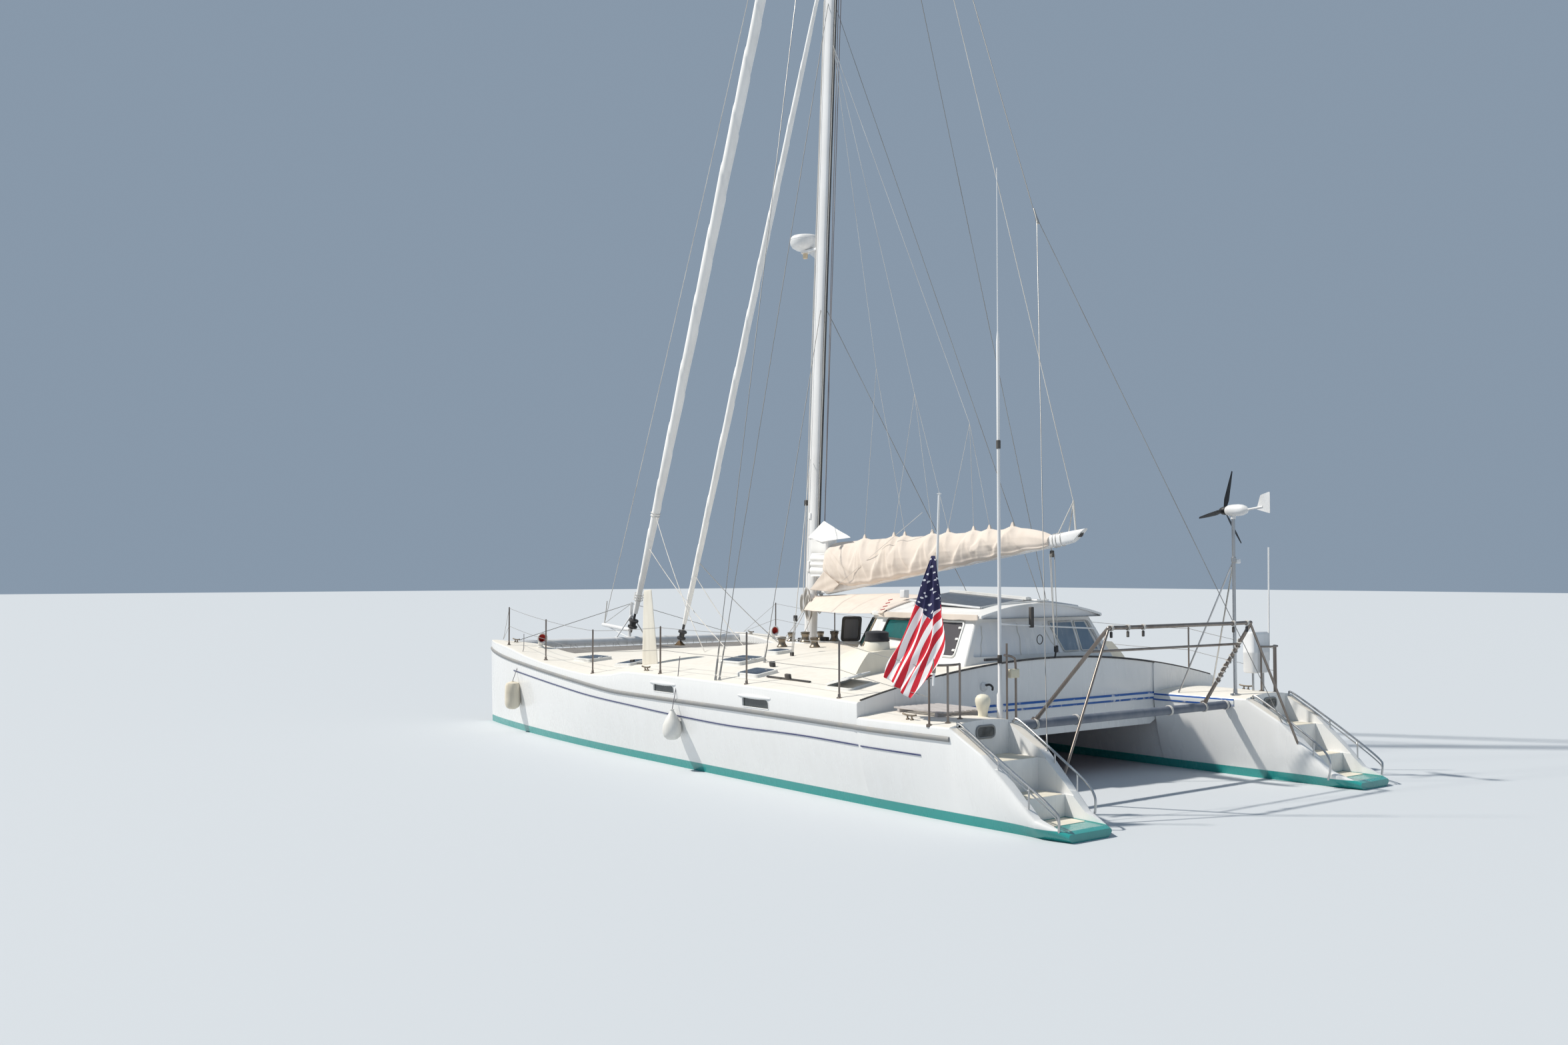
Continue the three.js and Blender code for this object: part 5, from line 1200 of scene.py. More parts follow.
# Helm
# A moulded column carries the wheel: a steel ring bound in black leather, on six spokes.
column_z = np.array([0.7004, 0.72, 0.9, 1.2, 1.36, 1.44, 1.49, 1.5])
column_half = np.array([0.09, 0.088, 0.075, 0.065, 0.075, 0.088, 0.085, 0.07])
column_flat = [at_level(rounded([(-2.04, w), (-2.11 - w * 0.75, w), (-2.11 - w * 0.75, -w), (-2.04, -w)],
    w * 0.4), z) for w, z in zip(column_half, column_z)]
piece("helm_column", [skin(np.stack(column_flat)), tube([(-2.14, 0, 1.4), (-2.2, 0, 1.4)], 0.038, 20)],
    house_white, "helm_pedestal")
round_turn = angles(48)
WHEEL_AT = (-2.2203, 0, 1.4)
wheel_path = xyz(-2.2203, 0.29 * np.cos(round_turn), 1.4 + 0.29 * np.sin(round_turn))
spoke = tube([(0.012, 0, 0.03), (0, 0, 0.15), (0, 0, 0.285)], 0.007, 8)
spokes = [placed(spoke, Matrix.Translation(WHEEL_AT) @ Matrix.Rotation(i * math.pi / 3, 4, "X"))
    for i in range(6)]
wheel_hub = placed(turned([(0.034, -0.02), (0.036, -0.012), (0.036, 0.012), (0.03, 0.02),
    (0.012, 0.024)]), stand(WHEEL_AT, (-1, 0, 0)))
leather = paint("black_leather", (0.025, 0.024, 0.024), 0.5, (0.12, 0.11, 0.1), 0.3, grain=500, bump=0.3)
piece("wheel_spokes", spokes + [wheel_hub], steel, "helm_wheel", body="helm_wheel")
piece("wheel_rim", [loop(wheel_path, 0.0145, 12)], leather, body="helm_wheel")

# Mast
# The white alloy mast is a tall oval tube, raked aft. A black track for the sail runs up its after face, its
# black partly painted shade of the slot, and halyards lie along it down to cleats and winches at its foot.
MAST_FOOT = np.array([0.948, 0.0, 1.584])
RAKE = math.radians(3)


def mast_point(x, y, height):
    """A point in the mast's own frame, its height along the raked mast, carried to the boat."""
    c, s = math.cos(RAKE), math.sin(RAKE)
    x, y, height = np.broadcast_arrays(np.asarray(x, float), np.asarray(y, float),
        np.asarray(height, float))
    return xyz(x * c - height * s, y, x * s + height * c) + MAST_FOOT


def on_mast(shape):
    """A shape drawn in the mast's own frame, carried to the boat."""
    return mast_point(*shape[0].T), shape[1]


mast_h = np.array([-0.02, 0.3, 1.0, 2, 4, 6, 8, 10, 12, 14, 14.5, 15, 15.6, 16.2, 16.8, 17.03, 17.05])
mast_size = np.interp(mast_h, [-0.02, 14.5, 17.05], [1, 1, 0.7])
mast_turn = angles(48)
mast_x = 0.125 * np.cos(mast_turn) * (1 - 0.04 * (np.cos(mast_turn) < -0.8))
mast_y = 0.08 * np.sign(np.sin(mast_turn)) * np.abs(np.sin(mast_turn)) ** 0.85
mast_grid = mast_point(mast_size[:, None] * mast_x, mast_size[:, None] * mast_y, mast_h[:, None])
mast_white = paint("mast_white", (0.84, 0.84, 0.84), 0.3, (0.42, 0.4, 0.36), 0.3, grain=60, bump=0.01,
    coat=0.3)
crane = on_mast(round_box(-0.23, 0.2, -0.045, 0.045, 17.04, 17.09, 0.01))
step_collar = turned([(0.16, -0.03), (0.16, 0.018), (0.15, 0.03), (0.128, 0.034)], 40)
step_collar = (step_collar[0] * (1.1, 0.8, 1) + MAST_FOOT, step_collar[1])
lugs = [on_mast(block(-0.287, -0.1, 0.032, -0.032, base, base + 0.012)) for base in (0.808, 0.9)]
goose_pin = tube([mast_point(-0.255, 0, 0.814), mast_point(-0.255, 0, 0.906)], 0.011, 16)
boxes = [(0.11, 0.16, -0.035, 0.035, 5.25, 5.38), (0.11, 0.15, -0.03, 0.03, 8.6, 8.72),
    (-0.03, 0.03, 0.07, 0.1, 1.15, 1.32), (-0.02, 0.04, 0.07, 0.095, 2.0, 2.1)]
fittings = [on_mast(round_box(*box, 0.008)) for box in boxes]
piece("mast_tube", [skin(mast_grid), crane, step_collar] + fittings, mast_white, "mast")
piece("gooseneck", lugs + [goose_pin], steel)
# The track is black: partly its own dark colour and partly painted shade, standing in for the shadow in the
# sail's slot.
track_h = np.linspace(1.35, 16.9, 12)
track_size = np.interp(track_h, [0, 14.5, 17.05], [1, 1, 0.7])
track_profile = np.array([(-0.118, 0.022), (-0.136, 0.022), (-0.136, -0.022), (-0.118, -0.022)])
track_grid = mast_point(track_size[:, None] * track_profile[:, 0], track_profile[:, 1], track_h[:, None])
piece("sail_track_painted_slot_shade", [skin(track_grid)], black_rubber)


def rope_between(a, b, radius, sag=0.0, count=12, sides=6):
    """A rope from one point to another, sagging by a parabola of the given depth."""
    t = np.linspace(0, 1, count)[:, None]
    path = np.asarray(a, float) * (1 - t) + np.asarray(b, float) * t
    path[:, 2] -= 4 * sag * t[:, 0] * (1 - t[:, 0])
    return tube(path, radius, sides)


rope_white = paint("rope_white", (0.66, 0.64, 0.6), 0.85, (0.25, 0.22, 0.2), 0.5, grain=260, bump=0.4)
rope_dark = paint("rope_dark", (0.16, 0.15, 0.17), 0.85, (0.45, 0.42, 0.4), 0.7, grain=160, bump=0.4)
white_lines = [rope_between(mast_point(-0.17, 0.03, 16.9), mast_point(-0.17, 0.05, 0.62), 0.006),
    rope_between(mast_point(0.05, 0.088, 16.5), mast_point(0.05, 0.1, 0.5), 0.006),
    rope_between(mast_point(0.15, 0.02, 10.4), mast_point(0.15, 0.06, 0.5), 0.006)]
dark_lines = [rope_between(mast_point(-0.21, -0.03, 16.95), mast_point(-0.2, -0.06, 0.7), 0.007),
    rope_between(mast_point(-0.2, 0.05, 16.9), mast_point(-0.29, 0.015, 1.45), 0.007)]
for start, end in (((0.05, 0.1, 0.5), (0.1, 0.4, 0.04)), ((-0.17, 0.05, 0.62), (-0.18, 0.36, 0.05)),
        ((0.15, 0.06, 0.5), (0.3, 0.32, 0.04))):
    white_lines.append(rope_between(mast_point(*start), mast_point(*end), 0.006, 0.03))
piece("halyards", white_lines, rope_white)
piece("dark_halyards", dark_lines, rope_dark)

# Winches and the pad at the foot of the mast
# Chromed drums stand on a moulded pad round the mast, with rope clutches beside them.
WINCHES = ((1.06, 0.3, 0.06, 0.15), (1.06, -0.3, 0.06, 0.15), (0.7, 0.3, 0.07, 0.17),
    (0.7, -0.3, 0.07, 0.17))


def drum(r, h):
    """A winch: foot, ribbed waist, self-tailing jaws and a socket on top, as one turned profile."""
    return turned([(r * 1.25, -0.02), (r * 1.25, 0.012), (r * 1.05, 0.025), (r * 0.84, h * 0.32),
        (r * 0.8, h * 0.5), (r * 0.86, h * 0.66), (r * 1.02, h * 0.74), (r * 1.06, h * 0.78),
        (r * 0.92, h * 0.8), (r * 0.92, h * 0.83), (r * 1.08, h * 0.86), (r * 1.08, h * 0.92),
        (r * 0.9, h * 0.97), (r * 0.35, h), (r * 0.3, h * 0.985)], 28)


pad_flat = rounded([(1.25, 0.42), (0.56, 0.42), (0.56, -0.42), (1.25, -0.42)], 0.08)
pad_rings = [at_level(pad_flat, 1.52), at_level(pad_flat, 1.604),
    at_level((pad_flat - (0.9, 0)) * 0.985 + (0.9, 0), 1.612)]
piece("mast_pad", [skin(np.stack(pad_rings))], house_white)
winch_steel = paint("winch_steel", (0.27, 0.23, 0.18), 0.3, (0.12, 0.1, 0.08), 0.6, bump=0.05, metal=0.9)
drums = [moved(drum(r, h), (x, y, 1.612)) for x, y, r, h in WINCHES]
clutches = [round_box(0.8, 0.93, s * 0.23 - 0.05, s * 0.23 + 0.05, 1.6121, 1.675, 0.012) for s in (-1, 1)]
piece("winch_drums", drums, winch_steel, "mast_winches")
piece("rope_clutches", clutches, black_rubber)

# Radar
# A white two-part radome on a bracket high on the mast's fore side: a shallow lid over a tapering bowl.
RADAR = mast_point(0.46, 0, 6.4)
dome_shape = turned([(0.06, -0.05), (0.065, -0.045), (0.07, 0.0), (0.15, 0.012), (0.215, 0.05),
    (0.245, 0.1), (0.252, 0.15), (0.248, 0.155), (0.248, 0.162), (0.252, 0.166), (0.247, 0.2),
    (0.222, 0.228), (0.16, 0.243), (0.06, 0.249), (0.004, 0.25)], 48)
arm = on_mast(round_box(0.07, 0.52, -0.05, 0.05, 6.36, 6.4, 0.008))
web_plate = skin(np.stack([mast_point(*np.array([(0.1, y, 6.37), (0.4, y, 6.37), (0.1, y, 6.18)]).T)
    for y in (-0.006, 0.006)]))
piece("radome", [moved(dome_shape, RADAR), arm, web_plate], mast_white, "radar")
gland = moved(turned([(0.035, -0.13), (0.04, -0.12), (0.042, -0.05), (0.07, -0.045)]), RADAR)
piece("radar_gland", [gland], pillar_paint)

# Boom
# A white alloy boom slopes up aft from the gooseneck. Its after end is cut on a slant and carries a
# black sheave; ropes are lashed round it.
GOOSE = np.array([0.64834, 0, 2.42948])
BOOM_END = np.array([-4.68, 0, 3.2])


def boom_point(share, y, rise, lean=0.138):
    """A place by its share of the boom's length, to port, and above the boom's middle, square to it."""
    share, y, rise = np.broadcast_arrays(np.asarray(share, float), np.asarray(y, float),
        np.asarray(rise, float))
    at = GOOSE + share[..., None] * (BOOM_END - GOOSE)
    return at + xyz(lean * rise, y, rise)


boom_share = np.array([0.02, 0.03, 0.25, 0.5, 0.75, 0.93, 0.95, 0.97])
boom_half = np.array([0.048, 0.06, 0.06, 0.06, 0.06, 0.06, 0.058, 0.05])
boom_depth = np.array([0.06, 0.0825, 0.0825, 0.0825, 0.0825, 0.0825, 0.08, 0.074])
boom_turn = angles(32)
oval_y = np.sign(np.cos(boom_turn)) * np.abs(np.cos(boom_turn)) ** 0.7
oval_z = np.sign(np.sin(boom_turn)) * np.abs(np.sin(boom_turn)) ** 0.7
slant = np.array([0, 0, 0, 0, 0, 0.0, 0.018, 0.025])[:, None] * (1 + oval_z)
boom_grid = boom_point(boom_share[:, None] + slant * 0.9, boom_half[:, None] * oval_y,
    boom_depth[:, None] * oval_z)
eye_block = on_mast(moved(round_box(-0.13, -0.012, -0.026, 0.026, 0.83, 0.89, 0.008), (-0.255, 0, 0)))
piece("boom_spar", [skin(boom_grid), eye_block], mast_white, "boom", body="boom")
sheave = placed(turned([(0.012, -0.02), (0.05, -0.018), (0.042, 0), (0.05, 0.018), (0.012, 0.02)]),
    stand(boom_point(0.993, 0, 0.03), (0, 1, 0)))
lash_rings = [loop(boom_point(share, 0.066 * np.cos(t := angles(24)), 0.09 * np.sin(t)), 0.007)
    for share in (0.915, 0.925, 0.94)]
piece("boom_sheave", [sheave], black_rubber, body="boom")
piece("boom_lashings", lash_rings, rope_white, body="boom")

# Sail bag
# The mainsail lies folded along the boom in a bag of cream canvas, hung from tabs along its top edge.
# The cloth sags between the tabs and breaks into slanting folds. White sail shows at the mast.
TABS = np.array([0.197, 0.323, 0.368, 0.478, 0.54, 0.635, 0.692, 0.773])
BAG_SHARE = np.array([0.03, 0.07, 0.16, 0.25, 0.41, 0.56, 0.71, 0.79, 0.87, 0.905])
BAG_HALF = np.array([0.12, 0.15, 0.165, 0.17, 0.165, 0.155, 0.14, 0.125, 0.1, 0.085])
BAG_HIGH = np.array([0.69, 0.735, 0.69, 0.638, 0.532, 0.442, 0.352, 0.312, 0.2, 0.115])
BAG_LOW = np.array([0.2, 0.08, -0.03, -0.06, -0.065, -0.065, -0.065, -0.065, -0.065, -0.06])


def bag_point(share, y, rise):
    """A place in the bag: by share of the boom's length, to port, and straight up from the boom's middle."""
    return boom_point(share, y, rise, 0)


def bag_grid(rows=440, columns=96):
    """The bag: sections full low down, narrow at the ridge, plus folds that widen down from the tabs."""
    share = np.linspace(0.032, 0.903, rows)[:, None]
    turn = np.linspace(0, 1, columns)[None, :]
    rise = 1 - np.abs(2 * turn - 1) ** 1.15
    way = np.where(turn < 0.5, 1.0, -1.0)
    profile = fair(rise, np.array([0, 0.1, 0.3, 0.58, 0.86, 1.0]),
        np.array([0.62, 0.8, 1.0, 0.92, 0.5, 0.07]))
    half = fair(share, BAG_SHARE, BAG_HALF)
    high = fair(share, BAG_SHARE, BAG_HIGH)
    low = fair(share, BAG_SHARE, BAG_LOW)
    rise = rise + 0 * share
    near = np.abs(share - TABS[None, :]).min(1, keepdims=True)
    sag = 0.03 * np.clip(near / 0.03, 0, 1) * (1 - np.exp(-(near / 0.012) ** 2))
    down = 1 - rise
    fold = np.zeros((rows, columns))
    middles = (TABS[1:] + TABS[:-1]) / 2
    creases = [(a, b, 0.9) for a, b in zip(TABS[:-1], middles)] + [(a, b, 0.9)
        for a, b in zip(TABS[1:], middles)]
    creases += [(a, a + lean, 0.45) for a in TABS for lean in (-0.045, -0.012, 0.02, 0.055)]
    creases += [(0.034, foot, 0.75) for foot in (0.055, 0.085, 0.12, 0.165, 0.225)]
    creases += [(foot, foot, 0.22) for foot in (0.121, 0.158, 0.205)]
    for number, (top, foot, deep) in enumerate(creases):
        width = 0.0045 + 0.009 * deep * down
        away = (share - top - (foot - top) * down) / width
        crest = np.where(away < 0, np.exp(-away ** 2), np.exp(-(away / 2.4) ** 2))
        fold += deep * crest * np.clip(down / 0.1, 0, 1) * np.clip((0.75 + 0.35 * (number % 2) - down)
            * 5, 0, 1)
    fold = np.minimum(fold, 1.5)
    swag = np.sin(share * 48 + 4.5 * rise) * np.sin(rise * np.pi)
    hem = np.exp(-((rise - 0.05) / 0.04) ** 2)
    push = 0.034 * fold + 0.008 * swag + 0.016 * hem
    y = way * (half * profile + push * profile ** 0.5)
    z = low + (high - sag - low) * rise + 0.008 * np.sin(share * 70) * down
    return bag_point(share, y, z)


bag_cloth = bag_grid()
bag = piece("sail_cover", [skin(bag_cloth)], canvas, "sail_bag", body="boom", sharp=70)
tab_shapes = []
for share in TABS:
    high = float(fair(np.array(share), BAG_SHARE, BAG_HIGH))
    ring = np.array([(share - 0.008, 0.02), (share + 0.008, 0.02), (share + 0.008, -0.02),
        (share - 0.008, -0.02)])
    small = np.array([(share - 0.002, 0.005), (share + 0.002, 0.005), (share + 0.002, -0.005),
        (share - 0.002, -0.005)])
    tab_shapes.append(skin(np.stack([bag_point(ring[:, 0], ring[:, 1], high - 0.03),
        bag_point(small[:, 0], small[:, 1], high + 0.055)])))
piece("cover_tabs", tab_shapes, canvas, body="boom")
sailcloth = woven("sailcloth", (0.9, 0.89, 0.87), (0.66, 0.65, 0.63), 260, 0.08, 0.75, sheen=0.15,
    amount=0.35)
luff_plan = rounded([(0.8, 0.128), (0.4, 0.115), (0.4, -0.115), (0.8, -0.128), (0.79, -0.088),
    (0.735, -0.088), (0.735, 0.088), (0.79, 0.088)], (0.015, 0.05, 0.05, 0.015, 0.012, 0.01, 0.01, 0.012))
luff_z = np.linspace(2.66, 3.25, 120)[:, None]
luff_x, luff_y = luff_plan.T
pleat = np.abs(np.sin(np.pi * (6.0 * (luff_z + 0.26 * luff_x + 0.03 * np.sin(9 * luff_x))
    + 0.5 * np.sin(11 * luff_z))))
pleat = pleat ** 0.7
outer = np.clip((np.abs(luff_y) - 0.095) / 0.015, 0, 1)
luff_y = luff_y * (1 - 0.3 * outer * (1 - pleat))
luff_shift = (0.948 - (luff_z - 1.584) * math.tan(RAKE)) - 0.874
luff = piece("sail_luff_folds", [skin(xyz(luff_x + luff_shift, luff_y, luff_z))], sailcloth,
    body=None, sharp=60)
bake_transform(luff)


def draped(name, corners, tint, ripple, rows=40, columns=60):
    """A sheet between four corners, rippled across itself, that bends where the boom meets the mast."""
    s, t = sheet_shares(columns, rows)
    a, b, c, d = (np.array(corner)[None, None] for corner in corners)
    s3, t3 = s[..., None], t[..., None]
    grid = (a * (1 - s3) + b * s3) * (1 - t3) + (d * (1 - s3) + c * s3) * t3
    grid[..., 1] += ripple * (np.abs(np.sin(4 * s + 3 * t)) ** 0.8 + 0.3 * np.sin(11 * s - 5 * t))
    sheet = cloth(name, grid, tint, body=None, thick=0.004)
    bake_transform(sheet)
    declare_cloth(grid)


draped("sail_head", [(0.877, 0.095, 3.285), (0.495, 0.13, 3.205), (-0.159, 0.07, 3.262),
    (0.522, 0.05, 3.54)], sailcloth, 0.012)
draped("sail_tack_cover", [(0.828, 0.1, 2.443), (0.238, 0.12, 2.418), (0.002, 0.18, 2.535),
    (0.392, 0.165, 2.732)], canvas, 0.01)
piece("bag_line", [rope_between(bag_point(0.47, 0.15, 0.8), bag_point(0.105, 0.205, -0.03), 0.0035)],
    rope_white, body="boom")

# Lazy jacks, topping lift and mainsheet
# Thin lines fan down from the mast to the bag's tabs, a lift holds up the boom's end, and a tackle comes
# down to the after deck. Their tops stay on the mast as the boom swings.
JACK_TOP = mast_point(-0.16, 0.05, 9.6)
jack_lines = []
for knot, hung in ((bag_point(0.42, 0.05, 2.6), (0.323, 0.478, 0.54)),
        (bag_point(0.63, 0.04, 1.9), (0.54, 0.635, 0.692)), (bag_point(0.26, 0.05, 3.2), (0.197, 0.368))):
    jack_lines.append(rope_between(JACK_TOP, knot, 0.003))
    for share in hung:
        high = float(fair(np.array(share), BAG_SHARE, BAG_HIGH))
        jack_lines.append(rope_between(knot, bag_point(share, 0.0, high + 0.05), 0.003))
piece("lazy_jacks", jack_lines, rope_white, body="boom")
LIFT_TOP, LIFT_LOW = mast_point(-0.22, 0, 17.08), boom_point(0.985, 0, 0.46)
piece("topping_lift", [rope_between(LIFT_TOP, LIFT_LOW, 0.006),
    rope_between(LIFT_LOW, boom_point(0.985, 0.02, 0.07), 0.013),
    rope_between(boom_point(0.985, -0.01, 0.46), boom_point(0.955, -0.03, 0.07), 0.009),
    rope_between(boom_point(0.985, 0.01, 0.44), boom_point(0.93, 0.04, 0.06), 0.008)], rope_white,
    body="boom")
sheet_block = round_box(-0.03, 0.03, -0.018, 0.018, -0.045, 0.045, 0.012)
sheet_top, sheet_low = boom_point(0.9, 0, -0.16), np.array([-4.245, 0.02, 1.72])
sheet_lines = [rope_between(sheet_top + (dx, dy, 0), sheet_low + (dx * 0.6, dy, 0.03), 0.006)
    for dx, dy in ((0.03, 0.012), (-0.03, -0.012), (0.0, 0.02))]
sheet_lines += [rope_between(boom_point(0.9, 0, -0.08), sheet_top, 0.008)]
main_sheet = piece("main_sheet", sheet_lines, rope_white, body=None)
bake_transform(main_sheet)
piece("sheet_block_top", [moved(sheet_block, sheet_top)], black_rubber, body="boom")
piece("sheet_block_low", [moved(sheet_block, sheet_low),
    tube([(-4.225, 0.02, 1.6), tuple(sheet_low)], 0.012)], black_rubber)

# Headsails
# Two white headsails are rolled tightly round their stays, each turn showing as a spiral ridge. Each
# roll stands on a black reel.
def furled(tack, head, radii, turns):
    """A roll round a stay: its radius from a table, with a saw-toothed spiral at each turn's edge."""
    tack, head = np.asarray(tack, float), np.asarray(head, float)
    length = np.linalg.norm(head - tack)
    s = np.concatenate([np.linspace(0, 0.985, 420), [0.99, 0.995, 1.0]])[:, None]
    a = angles(28)[None, :]
    table = np.asarray(radii)
    r = fair(s, table[:, 0], table[:, 1])
    phase = (a / (2 * np.pi) + turns * s + 0.3 * np.sin(9 * s)) % 1
    r = r * (1 + 0.13 * (phase - 0.5)) * (1 + 0.02 * np.sin(60 * s + 3 * a))
    grid = xyz(r * np.cos(a), r * np.sin(a), 0.42 + s * (length - 0.9))
    wire = tube([(0, 0, 0.02), (0, 0, length)], 0.008, 8)
    return skin(grid), wire, stand(tack, head - tack)


def reel(r):
    """A furling reel: two flanges on a waist, a swivel over them."""
    return turned([(0.014, 0.02), (0.014, 0.12), (r, 0.125), (r, 0.15), (r * 0.6, 0.16), (r * 0.6, 0.245),
        (r, 0.25), (r, 0.275), (0.03, 0.285), (0.024, 0.3), (0.024, 0.43)], 28)


GENOA = ([6.56, 0, 1.54], mast_point(0.1, 0, 16.6), 0.095, 16,
    [(0, 0.045), (0.04, 0.062), (0.2, 0.088), (0.5, 0.1), (0.8, 0.078), (1, 0.04)])
STAYSAIL = ([4.82, 0, 1.384], mast_point(0.1, 0, 11.3), 0.08, 12,
    [(0, 0.035), (0.05, 0.05), (0.4, 0.062), (0.8, 0.048), (1, 0.028)])
for name, (tack, head, reel_radius, turns, radii) in (("genoa", GENOA), ("staysail", STAYSAIL)):
    roll, wire, place = furled(tack, head, radii, turns)
    rolled = piece(f"{name}_roll", [placed(roll, place)], sailcloth, name, sharp=60)
    piece(f"{name}_stay", [placed(wire, place)], steel)
    piece(f"{name}_reel", [placed(reel(reel_radius), place)], black_rubber)

# Standing rigging
# Steel wires run from chainplates on the hulls to the mast, each with a turnbuckle over its toggle. A
# wire from the masthead splits over the cockpit into two legs that end on the stern walls.
wire_steel = paint("wire_steel", (0.46, 0.45, 0.43), 0.35, (0.2, 0.15, 0.1), 0.4, grain=220, bump=0.1,
    metal=0.9)


def stay(low, high, radius=0.0055, screw=True):
    """A wire with a fork, a turnbuckle body and a threaded end over its lower point."""
    low, high = np.asarray(low, float), np.asarray(high, float)
    way = (high - low) / np.linalg.norm(high - low)
    shapes = [tube([low + way * 0.02, high], radius, 8)]
    if screw:
        body = [(0.006, 0.06), (0.012, 0.065), (0.014, 0.08), (0.014, 0.26), (0.012, 0.275),
            (0.008, 0.28), (0.008, 0.34), (0.011, 0.345), (0.009, 0.46), (0.006, 0.48)]
        shapes.append(placed(turned(body, 12), stand(low, way)))
    return shapes


def chainplate(at, way):
    """A steel strap up out of the deck, turned in line with its wire."""
    flat = np.array([(-0.022, -0.1), (0.022, -0.1), (0.022, 0.05), (0.012, 0.07), (-0.012, 0.07),
        (-0.022, 0.05)])
    grid = np.stack([xyz(flat[:, 0], y, flat[:, 1]) for y in (-0.005, 0.005)])
    return placed(skin(grid), stand(at, way))


SHROUDS = (("cap", (-1.3, 3.4, 1.3), (0.0, 0.07, 16.25)),
    ("lower", (-1.37, 3.388, 1.29), (-0.03, 0.075, 10.3)),
    ("inner", (-0.93, 2.316, 1.47), (-0.08, 0.07, 5.36)))
for side, way in WAYS:
    ends = [(name, np.array(low) * (1, way, 1), mast_point(x, way * y, height))
        for name, low, (x, y, height) in SHROUDS]
    plates = [chainplate(low - (0, 0, 0.02), high - low) for _, low, high in ends]
    for name, low, high in ends:
        piece(f"{name}_wire_{side}", stay(low, high) + (plates if name == "cap" else []), wire_steel,
            None if name == "inner" else f"{name}_shroud_{side}")
    piece(f"bridle_wire_{side}", stay((-6.15, way * 2.35, 0.5), (-3.96, way * 0.014, 7.44), 0.005),
        wire_steel, f"bridle_{side}")
back_shapes = stay((-3.94, 0, 7.45), mast_point(-0.19, 0, 17.055), 0.006, False)
joint_way = mast_point(-0.19, 0, 17.055) - (-3.94, 0, 7.45)
back_shapes.append(placed(turned([(0.008, -0.06), (0.02, -0.055), (0.022, 0.0), (0.015, 0.05),
    (0.011, 0.16), (0.006, 0.18)], 12), stand((-3.95, 0, 7.45), joint_way)))
piece("back_wire", back_shapes, wire_steel, "backstay")

# Guard rails
# Polished stanchions stand in bases along each deck edge and carry two wires. At each quarter a bent
# steel tube on three legs closes the rail.
RAIL_POSTS = ((5.8, 2.955), (4.1, 3.11), (2.1, 3.345), (0.11, 3.375), (-1.99, 3.385), (-3.84, 3.37))
RAIL_HEIGHTS = (0.65, 0.335)
GUARD_PATH = np.array([(-5.297, 3.3), (-5.385, 3.245), (-5.426, 3.141), (-5.415, 3.01), (-5.361, 2.892)])
rail_steel = paint("rail_steel", (0.3, 0.26, 0.23), 0.3, (0.14, 0.1, 0.08), 0.5, bump=0.02, metal=0.85)
post_shape = turned([(0.034, -0.03), (0.034, 0.006), (0.02, 0.012), (0.017, 0.05), (0.0125, 0.055),
    (0.0125, 0.655), (0.01, 0.668), (0.004, 0.672)], 16)
for side, way in WAYS:
    tops = [np.array([x, way * y, deck_z(x, y)]) for x, y in RAIL_POSTS]
    posts = [moved(post_shape, top) for top in tops]
    piece(f"stanchions_{side}", posts, rail_steel, f"rail_{side}")
    guard_low = np.array([-5.297, way * 3.3, 1.66])
    wires = []
    for rise in RAIL_HEIGHTS:
        for a, b in zip(tops[:-1], tops[1:]):
            wires.append(rope_between(a + (0, 0, rise), b + (0, 0, rise), 0.0035, 0.012))
        wires.append(rope_between(tops[-1] + (0, 0, rise), guard_low + (0, 0, 0 if rise > 0.5 else -0.31),
            0.0035, 0.008))
        wires.append(rope_between(tops[0] + (0, 0, rise), (6.56, way * 2.7, 1.5), 0.0035))
    piece(f"lifelines_{side}", wires, wire_steel)
    top_path = spline([(x, way * y, 1.7) for x, y in GUARD_PATH], 48)
    legs = [tube([(x, way * y, deck_z(x, y) - 0.02), (x, way * y, 1.695)], 0.0125)
        for x, y in GUARD_PATH[::2]]
    feet = [moved(turned([(0.034, -0.02), (0.034, 0.008), (0.016, 0.016)], 16),
        (x, way * y, deck_z(x, y))) for x, y in GUARD_PATH[::2]]
    piece(f"quarter_rail_{side}", [tube(top_path, 0.0135, 12)] + legs + feet, rail_steel,
        f"stern_guard_{side}")
gate_bend = spline([(-5.57, 2.215, 1.02), (-5.57, 2.215, 1.4), (-5.57, 2.22, 1.7), (-5.57, 2.27, 1.765),
    (-5.57, 2.4, 1.79)], 50)
piece("gate_posts", [tube([(-5.57, 2.36, 1.04), (-5.57, 2.36, 1.92)], 0.0125), tube(gate_bend, 0.0135),
    tube([(-5.4, 3.3, 1.83), (-5.375, 3.305, 1.62)], 0.021)], rail_steel)
piece("gate_box", [round_box(-5.61, -5.535, 2.19, 2.33, 1.53, 1.63, 0.012)],
    paint("box_cream", (0.72, 0.66, 0.5), 0.4, amount=0.2))

# Crossbeams, net and bow gear
# A white alloy beam joins the bows and a grey tube the sterns. A dark net is laced between the forward
# beam and the deck; a striker pole, a sprit and struts stand at the beam's middle.
BEAM_X, BEAM_Z, BEAM_RADIUS = 6.56, 1.395, 0.08
STERN_BEAM_X, STERN_BEAM_Z, STERN_BEAM_RADIUS = -5.33, 0.95, 0.055
beam_y = np.linspace(-2.62, 2.62, 40)
beam_path = xyz(BEAM_X, beam_y, BEAM_Z)


def wrap(x, y, z, r, count, slope=0.0, thick=0.006):
    """One turn of line round a bar that lies across the boat."""
    a = angles(count)
    return loop(xyz(x + r * np.cos(a), y + slope * np.sin(a), z + r * np.sin(a)), thick)


